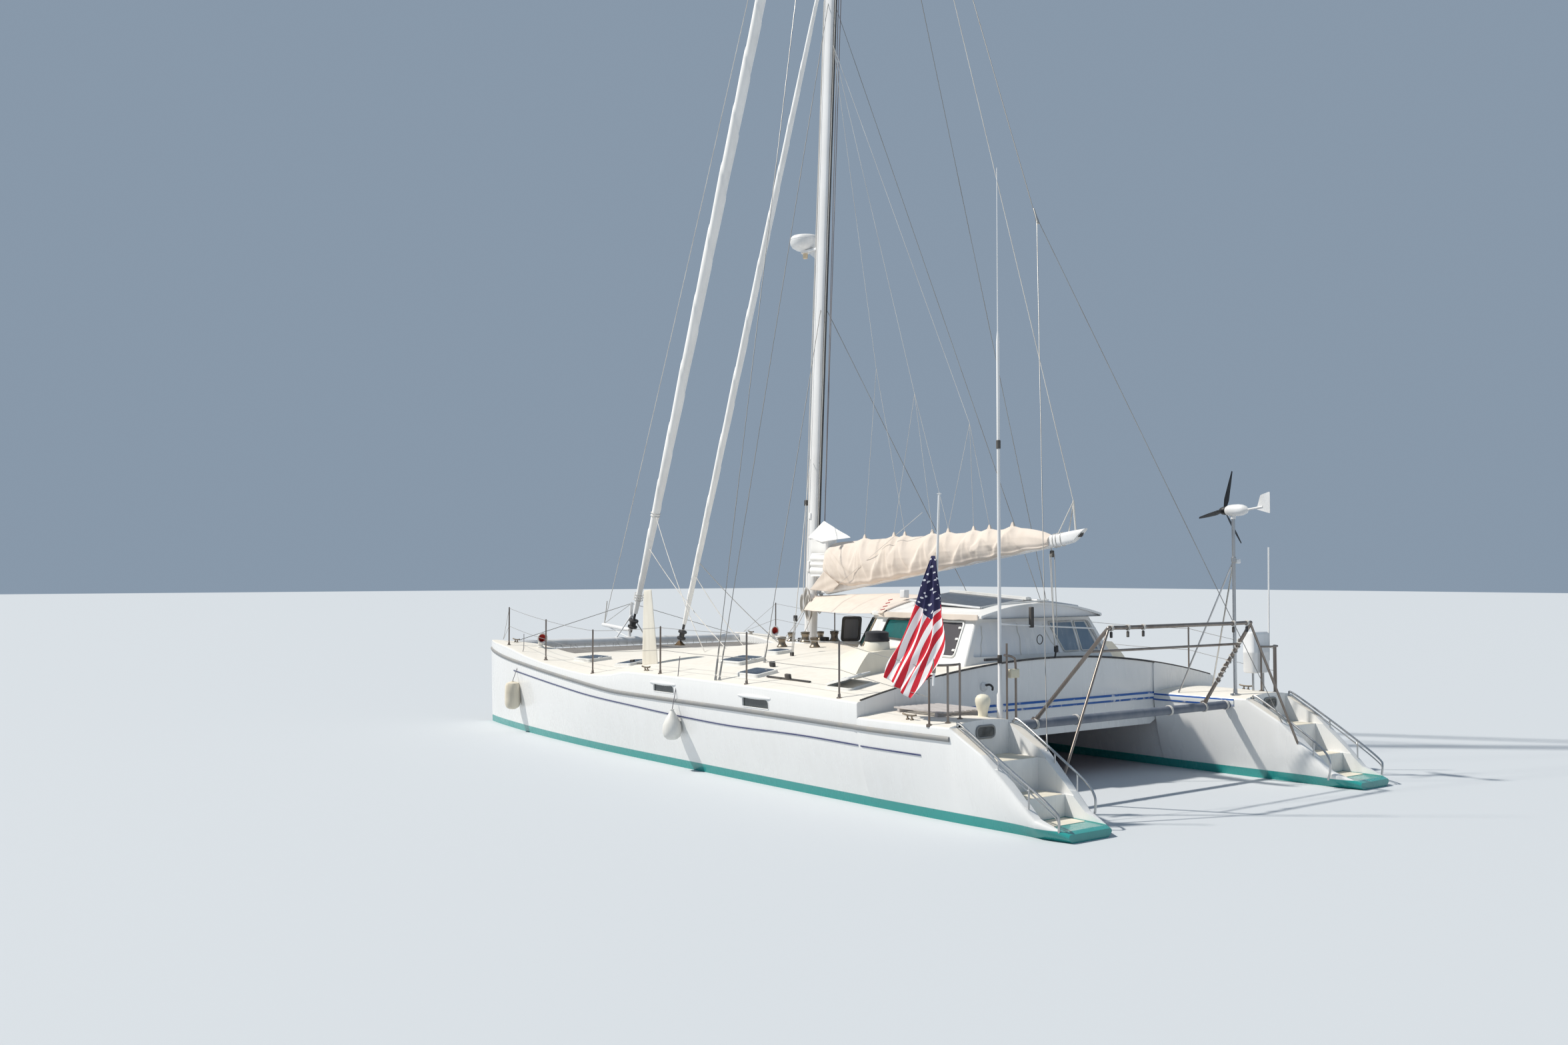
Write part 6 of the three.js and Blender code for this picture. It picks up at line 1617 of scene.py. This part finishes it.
bands = [wrap(BEAM_X, y, BEAM_Z, 0.082, 24) for y in (-1.9, -0.35, 0.35, 1.9)]
piece("bow_beam", [tube(beam_path, BEAM_RADIUS, 32)] + bands, mast_white, "forward_beam")
beam_grey = paint("beam_grey", (0.11, 0.13, 0.17), 0.4, (0.3, 0.31, 0.33), 0.5, grain=60, bump=0.05)
aft_y = np.linspace(-2.33, 2.33, 30)
aft_path = xyz(STERN_BEAM_X, aft_y, STERN_BEAM_Z)
piece("stern_beam", [tube(aft_path, STERN_BEAM_RADIUS, 28)], beam_grey, "aft_beam")
lash_at = (-2.1, -1.63, -0.9, 0.9, 1.63, 2.1)
turns_of_line = [wrap(STERN_BEAM_X, y + k * 0.013, STERN_BEAM_Z, 0.06, 20, 0.006) for y in lash_at
    for k in (0, 1, 2)]
piece("beam_lashings", turns_of_line, rope_white)


def hull_inner(x, z):
    """Where a hull's inner side lies at height z, as a distance from the centreline."""
    return HULL_Y - side_reach(x, z)


net_u, net_v = sheet_shares(50, 70, -1)
net_x = 4.64 + (6.45 - 4.64) * net_u
net_half = hull_inner(net_x, 1.3) - 0.06
net_z = 1.305 - 0.035 * np.sin(np.pi * net_u) * (1 - net_v ** 2)
net_grid = xyz(net_x, net_v * net_half, net_z)
net_weave = woven("net_weave", (0.24, 0.225, 0.21), (0.1, 0.09, 0.09), 28, 0.2, 0.85, hole=0.55,
    ways=("X", "Y"))
net = cloth("bow_net", net_grid, net_weave, "trampoline", thick=0.004)
declare_cloth(net_grid)
lacing = []
for k, y in enumerate(np.linspace(-2.0, 2.0, 27)):
    side_y = y + 0.06 * (1 if k % 2 else -1)
    lacing.append(tube([(6.45, y, 1.308), (6.49, (y + side_y) / 2, 1.36), (6.5, side_y, 1.4)], 0.004, 6))
    lacing.append(tube([(4.64, y, 1.308), (4.6, (y + side_y) / 2, 1.312), (4.575, side_y, 1.318)], 0.004,
        6))
for way in (-1, 1):
    for x in np.linspace(4.75, 6.35, 17):
        y = float(hull_inner(np.array(x), 1.3))
        lacing.append(tube([(x, way * (y - 0.06), 1.306), (x + 0.03, way * (y - 0.02), 1.315),
            (x + 0.05, way * (y + 0.005), 1.33)], 0.004, 6))
piece("net_lacing", lacing, rope_white)
pole_shape = tube([(6.64, 0, 1.38), (6.54, 0, 2.145)], 0.032, 20)
sprit_shape = placed(turned([(0.04, 0.0), (0.04, 0.9), (0.034, 1.06), (0.028, 1.072)], 24),
    stand((6.61, 0, 1.6), (1.07, 0, 0.077)))
bow_shapes = [pole_shape, sprit_shape, tube([(7.62, 0, 1.672), (6.64, 0.0, 1.45)], 0.01, 10)]
for way in (-1, 1):
    bow_shapes.append(tube([(6.56, way * 0.33, 1.46), (6.545, 0.0, 1.9)], 0.014, 10))
piece("bow_pole", bow_shapes, mast_white, "bow_gear")
striker = [tube([(6.55, 0, 2.12), (6.56, way * 2.45, 1.46)], 0.006, 8) for way in (-1, 1)]
striker.append(tube([(6.545, 0, 2.12), (7.62, 0, 1.69)], 0.005, 8))
piece("striker_wires", striker, wire_steel)
tack_base = skin(np.stack([np.array([(4.82 + a, b, z) for a, b in ((-u, -w), (u, -w), (u, w), (-u, w))])
    for u, w, z in ((0.1, 0.05, 1.378), (0.1, 0.05, 1.388), (0.015, 0.012, 1.468))]))
brown_bronze = paint("tack_bronze", (0.2, 0.13, 0.07), 0.5, (0.1, 0.08, 0.06), 0.5, bump=0.1, metal=0.6)
piece("staysail_tack", [tack_base], brown_bronze)
piece("sprit_halyard", [rope_between((7.6, 0, 1.7), mast_point(0.15, 0, 16.9), 0.0065, 0.12, 24),
    rope_between((7.5, 0, 2.15), (7.6, 0, 1.7), 0.011, 0, 4)], rope_white)

# Davits
# Two stainless poles lean aft from the after beam and carry a bar across their tops, with props down to
# the sterns. Small tackles hang from the bar.
DAVIT_FOOT = np.array([-5.33, 1.63, 0.99])
BAR_X, BAR_Z = -6.206, 2.087
DAVIT_BEND = np.array([BAR_X, 1.38, BAR_Z])
davit_shapes = []
for way in (-1, 1):
    foot, bend = DAVIT_FOOT * (1, way, 1), DAVIT_BEND * (1, way, 1)
    arc = spline([foot, foot * 0.4 + bend * 0.6, bend + (0.03, way * 0.01, -0.04),
        bend - (0, way * 0.05, 0), bend - (0, way * 0.3, 0), (BAR_X, way * 0.6, BAR_Z),
        (BAR_X, 0, BAR_Z)], 60)
    davit_shapes.append(tube(arc, 0.0235, 16))
    davit_shapes.append(tube([(-6.3, way * 2.3, 0.43), bend - (0, 0, 0.02)], 0.0155, 12))
    davit_shapes.append(placed(turned([(0.05, -0.03), (0.05, 0.012), (0.028, 0.02), (0.027, 0.07)], 16),
        stand(foot, bend - foot)))
davit_shapes.append(tube([(-5.99, -1.441, 1.812), (-5.99, 1.441, 1.812)], 0.0155, 12))
piece("davit_poles", davit_shapes, rail_steel, "davit_frame")
wraps, tackles, hanging = [], [], []
for y in (1.318, 1.022, 0.744, -1.022, -1.305):
    wraps += [wrap(BAR_X, y + 0.012 * k, BAR_Z, 0.029, 16) for k in range(3)]
    tackles.append(moved(round_box(-0.016, 0.016, -0.012, 0.012, -0.035, 0.035, 0.008),
        (BAR_X, y + 0.012, 2.01)))
    hanging.append(tube([(BAR_X, y + 0.012, 2.06), (BAR_X, y + 0.012, 1.98)], 0.005, 8))
around = angles(16)
foot, bend = DAVIT_FOOT * (1, -1, 1), DAVIT_BEND * (1, -1, 1)
for k in range(9):
    ring_at = stand(foot + (bend - foot) * (0.3 + 0.06 * k), bend - foot)
    ring = xyz(0.032 * np.cos(around), 0.032 * np.sin(around), 0.012 * np.sin(around * 2 + k))
    ring = placed((ring, []), ring_at)[0]
    wraps.append(loop(ring, 0.009))
piece("davit_wraps", wraps + hanging, rope_white)
piece("davit_blocks", tackles, black_rubber)

# Wind generator
# A three-bladed generator stands on a strutted pole at the starboard quarter. The body with its tail
# turns into the wind and the black rotor spins on it.
POLE_AT = np.array([-5.33, -2.33])
pole_foot = deck_z(POLE_AT[0], -POLE_AT[1])
turbine_shapes = [tube([(*POLE_AT, pole_foot - 0.01), (*POLE_AT, 3.44)], 0.0235, 16),
    moved(turned([(0.07, -0.01), (0.07, 0.012), (0.03, 0.02), (0.026, 0.08)], 20), (*POLE_AT, pole_foot)),
    moved(turned([(0.0235, 0.0), (0.034, 0.01), (0.034, 0.07), (0.0235, 0.08)], 16), (*POLE_AT, 2.85))]
for x, y in ((-4.56, -2.14), (-4.46, -3.06)):
    foot_z = deck_z(x, -y)
    turbine_shapes.append(tube([(x, y, foot_z), (*POLE_AT, 2.89)], 0.0115, 10))
piece("turbine_pole", turbine_shapes, steel, "turbine_mast")
piece("turbine_box", [round_box(-5.37, -5.29, -2.44, -2.345, 2.84, 2.9, 0.012)], mast_white)
HUB_Z = 3.56
ROTOR_AT = (-5.2197, -2.33, HUB_Z)
pod = placed(turned([(0.03, 0.0), (0.056, 0.012), (0.074, 0.05), (0.08, 0.11), (0.08, 0.2), (0.072, 0.26),
    (0.05, 0.315), (0.02, 0.34)], 28), stand((-5.22, -2.33, HUB_Z), (-1, 0, 0)))
neck = tube([(-5.33, -2.33, 3.4408), (-5.33, -2.33, 3.53)], 0.034, 20)
tail_rod = tube([(-5.53, -2.33, HUB_Z), (-5.78, -2.33, 3.592)], 0.014, 12)
fin_flat = rounded([(-5.69, 3.56), (-5.75, 3.75), (-5.89, 3.79), (-5.89, 3.5)], 0.02)
fin = skin(np.stack([xyz(fin_flat[:, 0], y, fin_flat[:, 1]) for y in (-2.334, -2.326)]))
piece("turbine_shell", [pod, neck, tail_rod, fin], mast_white, "turbine_body",
    body="turbine_body")
spinner = placed(turned([(0.058, 0.0), (0.058, 0.03), (0.052, 0.055), (0.036, 0.088), (0.015, 0.103)],
    28), stand(ROTOR_AT, (1, 0, 0)))
reach = np.linspace(0.03, 0.58, 24)
chord = np.interp(reach, [0.03, 0.1, 0.16, 0.4, 0.58], [0.04, 0.06, 0.078, 0.052, 0.024])[:, None]
twist = np.interp(reach, [0.03, 0.16, 0.58], [0.5, 0.4, 0.1])[:, None]
lean = np.interp(reach, [0.03, 0.58], [0.0, 0.012])[:, None]
around = angles(20)[None, :]
across = np.cos(around) * chord / 2
thick = np.sin(around) * (0.06 + 0.05 * np.cos(around)) * chord
c, s = np.cos(twist), np.sin(twist)
vane = skin(xyz(0.025 + thick * c + across * s, across * c - thick * s + lean, reach[:, None]))
hub_at = Matrix.Translation(ROTOR_AT)
blades = [placed(vane, hub_at @ Matrix.Rotation(i * 2 * math.pi / 3 + 0.35, 4, "X")) for i in range(3)]
turbine_black = paint("turbine_black", (0.02, 0.02, 0.022), 0.35, (0.1, 0.1, 0.1), 0.2, bump=0.02)
piece("turbine_blades", [spinner] + blades, turbine_black, "turbine_rotor",
    body="turbine_rotor")

# Aerials, canister and dome
# A tall white whip aerial stands on the port quarter beside a mushroom dome, and a white canister on
# two legs with a short aerial stands to starboard.
whip_foot = np.array([-5.48, 2.38, 1.05])
whip = moved(turned([(0.04, -0.02), (0.034, 0.01), (0.034, 0.29), (0.022, 0.32), (0.019, 1.8),
    (0.019, 4.3), (0.012, 4.38), (0.007, 4.42), (0.0045, 6.28), (0.002, 6.3)], 16), whip_foot)
piece("whip_aerial", [whip], mast_white, "radio_mast")
ferrules = [moved(turned([(0.018, -0.05), (0.026, -0.045), (0.026, 0.045), (0.018, 0.05)], 16),
    whip_foot + (0, 0, h)) for h in (0.69, 3.12)]
clamp_bar = round_box(-5.5, -5.46, 2.36, 2.62, 1.725, 1.755, 0.006)
piece("whip_joints", ferrules + [clamp_bar], black_rubber)
can_flat = rounded([(-5.135, -2.77), (-5.335, -2.77), (-5.335, -3.17), (-5.135, -3.17)], 0.07, 10)
can_middle = can_flat.mean(0)
can_rings = [at_level((can_flat - can_middle) * g + can_middle, z)
    for g, z in ((0.85, 1.335), (0.97, 1.345), (1, 1.37), (1, 1.6), (1.012, 1.605), (1.012, 1.63),
    (1, 1.635), (1, 1.85), (0.97, 1.885), (0.85, 1.9))]
piece("canister_shell", [skin(np.stack(can_rings))], mast_white, "quarter_locker")
can_legs = [tube([(-5.26, y, deck_z(-5.26, -y)), (-5.26, y, 1.36)], 0.0155, 12) for y in (-2.85, -3.09)]
piece("canister_legs", can_legs, steel)
piece("short_aerial", [tube([(-5.32, -3.14, 1.5), (-5.327, -3.14, 2.0), (-5.34, -3.14, 3.07)], 0.012)],
    mast_white)
mushroom = moved(turned([(0.09, -0.03), (0.088, 0.0), (0.055, 0.01), (0.054, 0.05), (0.064, 0.09),
    (0.08, 0.135), (0.088, 0.175), (0.084, 0.212), (0.063, 0.242), (0.03, 0.256), (0.004, 0.259)], 32),
    (-5.33, 2.5, 1.085))
piece("bulb_dome", [mushroom], paint("bulb_cream", (0.8, 0.76, 0.62), 0.4, amount=0.2, bump=0.02))

# Ventilators
# A cowl ventilator on each foredeck turns its mouth aft. The shell is white and the throat red.
cowl_white = paint("cowl_white", (0.8, 0.79, 0.76), 0.35, amount=0.15, bump=0.02, coat=0.2)
throat_red = paint("throat_red", (0.45, 0.03, 0.02), 0.4, (0.15, 0.02, 0.02), 0.2, bump=0.02)
COWL = ((0.042, 5.37, 1.385, 0), (0.042, 5.37, 1.46, 0), (0.046, 5.369, 1.505, 0.35),
    (0.058, 5.352, 1.545, 0.95), (0.072, 5.325, 1.56, 1.35), (0.082, 5.305, 1.562, math.pi / 2),
    (0.08, 5.301, 1.562, math.pi / 2))


def hood_skin(rings, way, thin=0.0):
    """Rings of the hood along its bend, each tilted about y, and drawn in for the throat."""
    a = angles(32)
    return skin(np.stack([xyz(x + (r - thin) * np.cos(a) * math.cos(tilt),
        way * 2.56 + (r - thin) * np.sin(a), z + (r - thin) * np.cos(a) * math.sin(tilt))
        for r, x, z, tilt in rings]), ends=False)


around = angles(32)
for side, way in WAYS:
    base = placed(turned([(0.062, -0.03), (0.062, 0.01), (0.044, 0.02)], 28), deck_place(5.37, way * 2.56))
    hood = piece(f"cowl_{side}", [hood_skin(COWL, way), base], cowl_white)
    solid = hood.modifiers.new("wall", "SOLIDIFY")
    solid.thickness = 0.004
    solid.offset = -1
    lip = xyz(5.3, way * 2.56 + 0.087 * np.sin(around), 1.562 + 0.087 * np.cos(around))
    piece(f"cowl_lip_{side}", [loop(lip, 0.013)], cowl_white)
    throat = piece(f"cowl_throat_{side}", [hood_skin(COWL[1:6], way, 0.005)], throat_red,
        flip=True)
    throat.modifiers.new("wall", "SOLIDIFY").thickness = 0.001

# Flag
# A white staff leans from the port quarter rail. The flag hangs limp in slanting folds: a dark blue
# canton by the staff and red and white stripes.
STAFF_LOW = np.array([-5.372, 3.305, 1.48])
STAFF_HIGH = np.array([-5.474, 3.305, 3.585])
staff_path = STAFF_LOW + (STAFF_HIGH - STAFF_LOW) * np.linspace(0, 0.995, 5)[:, None]
piece("flag_pole", [tube(staff_path, 0.0135, 14),
    moved(turned([(0.012, -0.012), (0.024, -0.004), (0.026, 0.0), (0.012, 0.004)], 16),
    STAFF_HIGH - (0, 0, 0.005))], mast_white, "flagstaff")
piece("flag_clamp", [round_box(-5.378, -5.283, 3.285, 3.313, 1.562, 1.598, 0.006)], steel)


def striped_cloth():
    """Flag cloth by the piece's own UV: stripes across, and a dotted blue canton at the hoist's top."""
    material, tree, shader = bare("flag_cloth_striped")
    uv = node(tree, "UVMap", {"uv_map": "flat"}).outputs["UV"]
    across, down = node(tree, "SeparateXYZ", Vector=uv).outputs[:2]

    def share(place, count):
        return calc(tree, "FRACT", calc(tree, "MULTIPLY", place, count))

    stripe = calc(tree, "LESS_THAN", share(down, 8.6), 0.5)
    canton = calc(tree, "LESS_THAN", across, 0.4)
    far = [calc(tree, "POWER", calc(tree, "SUBTRACT", share(place, count), 0.5), 2.0)
        for place, count in ((across, 21.0), (down, 13.0))]
    dots = calc(tree, "MULTIPLY", calc(tree, "LESS_THAN", calc(tree, "ADD", *far), 0.032), canton)
    red = mixed(tree, stripe, (0.86, 0.85, 0.85, 1), (0.6, 0.012, 0.03, 1))
    blue = mixed(tree, canton, red, (0.018, 0.018, 0.075, 1))
    feed(tree, shader, Base_Color=mixed(tree, dots, blue, (0.8, 0.8, 0.84, 1)), Roughness=0.8)
    return material


flag_s, flag_t = sheet_shares(90, 50)
low_edge = spline([(-5.445, 0, 2.9), (-5.5, 0, 2.68), (-5.565, 0, 2.45), (-5.6, 0, 2.2), (-5.62, 0, 1.98),
    (-5.55, 0, 1.797), (-5.3, 0, 1.56), (-5.006, 0, 1.304)], 90)
high_edge = spline([(-5.4, 0, 2.9), (-5.345, 0, 2.76), (-5.26, 0, 2.57), (-5.174, 0, 2.387),
    (-5.03, 0, 2.14), (-4.87, 0, 1.92), (-4.65, 0, 1.7), (-4.584, 0, 1.544)], 90)
flag_at = low_edge[:, None, :] * (1 - flag_t[..., None]) + high_edge[:, None, :] * flag_t[..., None]
ripple = np.sin(flag_t * 19 + 2.2 * flag_s + 0.6) * 0.55 + np.sin(flag_t * 31 - 3 * flag_s) * 0.2
flag_y = 3.345 + 0.035 * ripple * np.clip(flag_s * 4, 0, 1) + 0.02 * np.sin(flag_s * 5)
flag_grid = xyz(flag_at[..., 0] + 0.012 * np.cos(flag_t * 19 + 2.2 * flag_s), flag_y, flag_at[..., 2])
flag = cloth("stern_flag", flag_grid, striped_cloth(), "ensign", thick=0.0006)
uv_layer = flag.data.uv_layers.new(name="flat")
corner_points = np.empty(len(flag.data.loops), int)
flag.data.loops.foreach_get("vertex_index", corner_points)
canton_foot = 2.2 + 0.857 * np.abs(flag_at[..., 0] + 5.375)
canton_run = 0.4 * (2.9 - flag_at[..., 2]) / (2.9 - canton_foot)
slant_run = (-0.819 * (flag_at[..., 0] + 5.174) - 0.573 * (flag_at[..., 2] - 2.387)) / 0.91
flat_uv = np.stack([canton_run, 1 - slant_run], -1).reshape(-1, 2)
uv_layer.data.foreach_set("uv", flat_uv[corner_points % len(flat_uv)].ravel())
declare_cloth(flag_grid)

# Fenders
# Two fenders hang against the port topsides on short lines: a cream cylinder by the bow and a white
# teardrop amidships.
fender_cloth = paint("fender_cream", (0.72, 0.66, 0.54), 0.6, (0.25, 0.2, 0.13), 0.5, grain=80, bump=0.1)
fender_white = paint("fender_white", (0.78, 0.77, 0.73), 0.45, (0.35, 0.32, 0.27), 0.35, grain=60,
    bump=0.03)
bow_fender = moved(turned([(0.02, 0.0), (0.06, 0.008), (0.105, 0.035), (0.127, 0.085), (0.13, 0.15),
    (0.13, 0.3), (0.126, 0.4), (0.105, 0.445), (0.06, 0.465), (0.03, 0.47), (0.026, 0.48)], 36),
    (5.09, 3.226, 0.38))
mid_fender = moved(turned([(0.02, 0.0), (0.07, 0.01), (0.112, 0.045), (0.13, 0.1), (0.132, 0.15),
    (0.124, 0.21), (0.1, 0.27), (0.066, 0.33), (0.04, 0.375), (0.028, 0.395), (0.03, 0.42)], 36),
    (-0.41, 3.508, 0.42))
for name, shape, tint, replaced in (("bow_fender", bow_fender, fender_cloth, "fender_bow"),
        ("mid_fender", mid_fender, fender_white, "fender_mid")):
    fender = piece(name, [shape], tint, replaced)
piece("fender_lines", [rope_between((5.09, 3.226, 0.86), (5.09, 3.02, 1.41), 0.006),
    rope_between((5.09, 3.02, 1.41), (5.09, 3.02, 1.66), 0.006),
    rope_between((-0.41, 3.508, 0.84), (-0.41, 3.42, 1.24), 0.006),
    rope_between((-0.41, 3.42, 1.24), (-0.41, 3.383, 1.56), 0.006)], rope_dark)

# Side coamings
# A moulded shoulder rises from each side deck beside the pilothouse, widening aft to an upright face. A
# winch under a black cover stands on it.
COAMING = np.array([(-0.85, 0.55, -0.97, 0.5, 1.6, -1.0, 0.42, 1.6),
    (-1.245, 1.105, -1.353, 0.909, 1.633, -1.396, 0.819, 1.644),
    (-1.66, 1.6, -1.75, 1.3, 1.66, -1.8, 1.1, 1.68),
    (-2.158, 1.985, -2.209, 1.663, 1.675, -2.244, 1.185, 1.701),
    (-2.719, 2.333, -2.714, 2.022, 1.688, -2.722, 1.243, 1.718),
    (-3.28, 2.68, -3.22, 2.38, 1.7, -3.2, 1.3, 1.735)])


def coaming_grid(rows=60):
    """The shoulder's sections: straight from its foot to a rounded crest, then in to the house wall."""
    along_it = np.linspace(0, 1, rows)
    knots = np.linspace(0, 1, len(COAMING))
    lines = np.stack([fair(along_it, knots, COAMING[:, k]) for k in range(8)], -1)
    foot_z = deck_height(lines[:, 0], lines[:, 1]) - 0.004
    foot = np.column_stack([lines[:, :2], foot_z])
    crest, inner = lines[:, 2:5], lines[:, 5:8]
    slope = [foot - (0, 0, 0.03)]
    for t in np.linspace(0, 1, 14):
        slope.append(foot + (crest - foot) * t + np.array([0, 0.4, 0.25]) * 0.03 * math.sin(math.pi * t))
    for t in np.linspace(0.05, 1.0, 12):
        top = crest + (inner - crest) * t
        slope.append(top + (0, 0, 0.018 * math.sin(math.pi * t)))
    slope.append(inner - (0, 0, 0.35))
    return np.stack(slope, 1)


coaming_paint = paint("coaming_cream", (0.78, 0.74, 0.64), 0.5, amount=0.18, grain=90, bump=0.03,
    depth=0.001)
cover_black = woven("cover_black", (0.025, 0.025, 0.03), (0.012, 0.012, 0.012), 240, 0.15, 0.85, sheen=0.1)
base = moved(turned([(0.172, -0.3), (0.166, 0.0), (0.16, 0.08), (0.15, 0.094), (0.1, 0.096)], 40),
    (-2.98, 2.02, 1.735))
cover = turned([(0.158, 0.066), (0.165, 0.076), (0.16, 0.1), (0.15, 0.125), (0.155, 0.155), (0.15, 0.178),
    (0.12, 0.194), (0.05, 0.2), (0.004, 0.202)], 40)
angle = np.arctan2(cover[0][:, 1], cover[0][:, 0])
wave = 1 + 0.035 * np.sin(angle * 7 + cover[0][:, 2] * 20) * np.clip(1 - cover[0][:, 2] / 0.18, 0, 1)
cover = (cover[0] * xyz(wave, wave, 1), cover[1])
for (side, way), (_, turn) in zip(WAYS, SIDES):
    piece(f"coaming_{side}", [turn(skin(coaming_grid())), turn(base)], coaming_paint,
        f"side_coaming_{side}", sharp=45)
    winch_cover = piece(f"winch_cover_{side}", [moved(cover, (-2.98, way * 2.02, 1.765))], cover_black)
piece("board_collars", [collar, mirrored(collar)], coaming_paint)

# Deck fittings
# Winches, blocks and cleats stand on the deck, with a slatted grating on the port after deck, a socket
# and a hook on the stern wall, coiled halyards at the mast and slack sheets over the foredeck.
deck_winches = [placed(drum(0.065, 0.155), deck_place(x, way * y))
    for x, y in ((-0.14, 0.78), (0.4, 0.99)) for way in (-1, 1)]
piece("deck_winches", deck_winches, winch_steel)


def cleat(at, turn):
    """A horn cleat: two posts and a bar whose ends taper upwards."""
    bar = [(-0.11, 0, 0.058), (-0.07, 0, 0.05), (0, 0, 0.046), (0.07, 0, 0.05), (0.11, 0, 0.058)]
    shapes = [tube(spline(bar, 16), 0.011, 10)]
    for x in (-0.035, 0.035):
        shapes.append(moved(turned([(0.024, -0.004), (0.022, 0.006), (0.01, 0.014), (0.01, 0.046)], 14),
            (x, 0, 0)))
    return [placed(shape, at @ Matrix.Rotation(turn, 4, "Z")) for shape in shapes]


cleat_shapes = []
for x, y, turn in ((6.2, 2.62, 0.1), (-4.9, 3.22, 0), (0.6, 3.3, 0.0)):
    for way in (-1, 1):
        cleat_shapes += cleat(deck_place(x, way * y), way * turn)
piece("horn_cleats", cleat_shapes, winch_steel)
blocks = [placed(round_box(-0.05, 0.05, -0.022, 0.022, 0.0, 0.075, 0.012), deck_place(x, way * y))
    for x, y in ((-2.4, 3.02), (-1.37, 2.5), (1.9, 2.75)) for way in (-1, 1)]
tracks = [placed(round_box(-0.45, 0.45, -0.018, 0.018, 0.0, 0.016, 0.004), deck_place(x, way * y))
    for x, y in ((-2.4, 3.02), (1.9, 2.75)) for way in (-1, 1)]
piece("deck_blocks", blocks + tracks, black_rubber)
wall_way = stand((-4.2, 1.325, 1.288), (-1, 0, 0))
piece("wall_socket", [placed(turned([(0.06, 0.0), (0.058, 0.018), (0.04, 0.03), (0.02, 0.05),
    (0.004, 0.052)]), wall_way)], topsides)
hook_path = spline([(-4.24, 1.33, 1.31), (-4.29, 1.31, 1.32), (-4.3, 1.27, 1.29), (-4.28, 1.25, 1.25)], 20)
piece("wall_hook", [tube(hook_path, 0.014)], black_rubber)
slat_paint = paint("slat_grey", (0.42, 0.39, 0.38), 0.7, (0.62, 0.6, 0.58), 0.6, grain=90, bump=0.2)
slats = [round_box(-5.15, -4.33, y - 0.032, y + 0.032, 1.132, 1.152, 0.005)
    for y in np.linspace(2.28, 2.92, 8)]
slats += [round_box(x - 0.02, x + 0.02, 2.24, 2.96, 1.07, 1.132, 0.004) for x in (-5.05, -4.42)]
piece("after_grating", slats, slat_paint)
port_fall = np.array([(0.8, 0.12, 4.54), (-0.8, 1.729, 1.5)])
fall_way = port_fall[1] - port_fall[0]
falls = [rope_between(port_fall[0], port_fall[1], 0.006)]
falls += [rope_between(port_fall[0] + fall_way * 0.82 + (0, dy, 0), port_fall[1] + (0, dy, 0), 0.004)
    for dy in (-0.02, 0.02)]
for sail, level, end, sag in ((GENOA, 3.82, (1.18, 1.89, 1.47), 0.12),
        (GENOA, 3.2, (0.96, 1.58, 1.49), 0.1), (STAYSAIL, 2.68, (2.45, 0.25, 1.475), 0.05),
        (STAYSAIL, 2.93, (3.4, -1.3, 1.38), 0.05)):
    tack, axis = np.array(sail[0]), np.array(sail[1]) - sail[0]
    falls.append(rope_between(tack + axis * (level - tack[2]) / axis[2], end, 0.007, sag))
coil_turn = angles(32)
for x, y, z, r in ((0.86, 0.115, 2.3, 0.09), (0.8, 0.13, 2.16, 0.11), (0.98, 0.11, 2.22, 0.07),
        (0.9, -0.12, 2.25, 0.1)):
    for k in range(4):
        falls.append(loop(xyz(x + (r + 0.006 * k) * np.cos(coil_turn) * 0.6, y + 0.011 * k * np.sign(y),
            z + (r * 1.6 + 0.012 * k) * np.sin(coil_turn)), 0.006, 6))
tack, axis = np.array(GENOA[0]), GENOA[1] - np.array(GENOA[0])
ring = xyz(0.088 * np.cos(coil_turn), 0.088 * np.sin(coil_turn), 0)
for level in (2.2, 2.25, 2.3, 3.8, 3.85):
    spot = stand(tack + axis * (level - tack[2]) / axis[2], axis)
    falls.append(loop(placed((ring, []), spot)[0], 0.007, 6))
piece("loose_lines", falls, rope_white)
fall_block = round_box(-0.03, 0.03, -0.02, 0.02, -0.045, 0.045, 0.01)
fall_blocks = [moved(fall_block, port_fall[0] + fall_way * share) for share in (0.24, 0.82, 0.99)]
holder = round_box(-4.125, -4.075, 0.3, 0.36, 2.0, 2.27, 0.012)
cord_ring = loop(xyz(-4.09, 0.16 + 0.055 * np.cos(coil_turn), 1.84 + 0.06 * np.sin(coil_turn)), 0.006)
piece("small_blocks", fall_blocks + [holder, cord_ring], black_rubber)
piece("curtain_pole", [tube([(-4.1, 0.917, 2.056), (-4.1, -0.943, 1.958)], 0.011),
    round_box(-2.06, -1.96, 0.6, 0.7, 2.36, 2.475, 0.015)], mast_white)
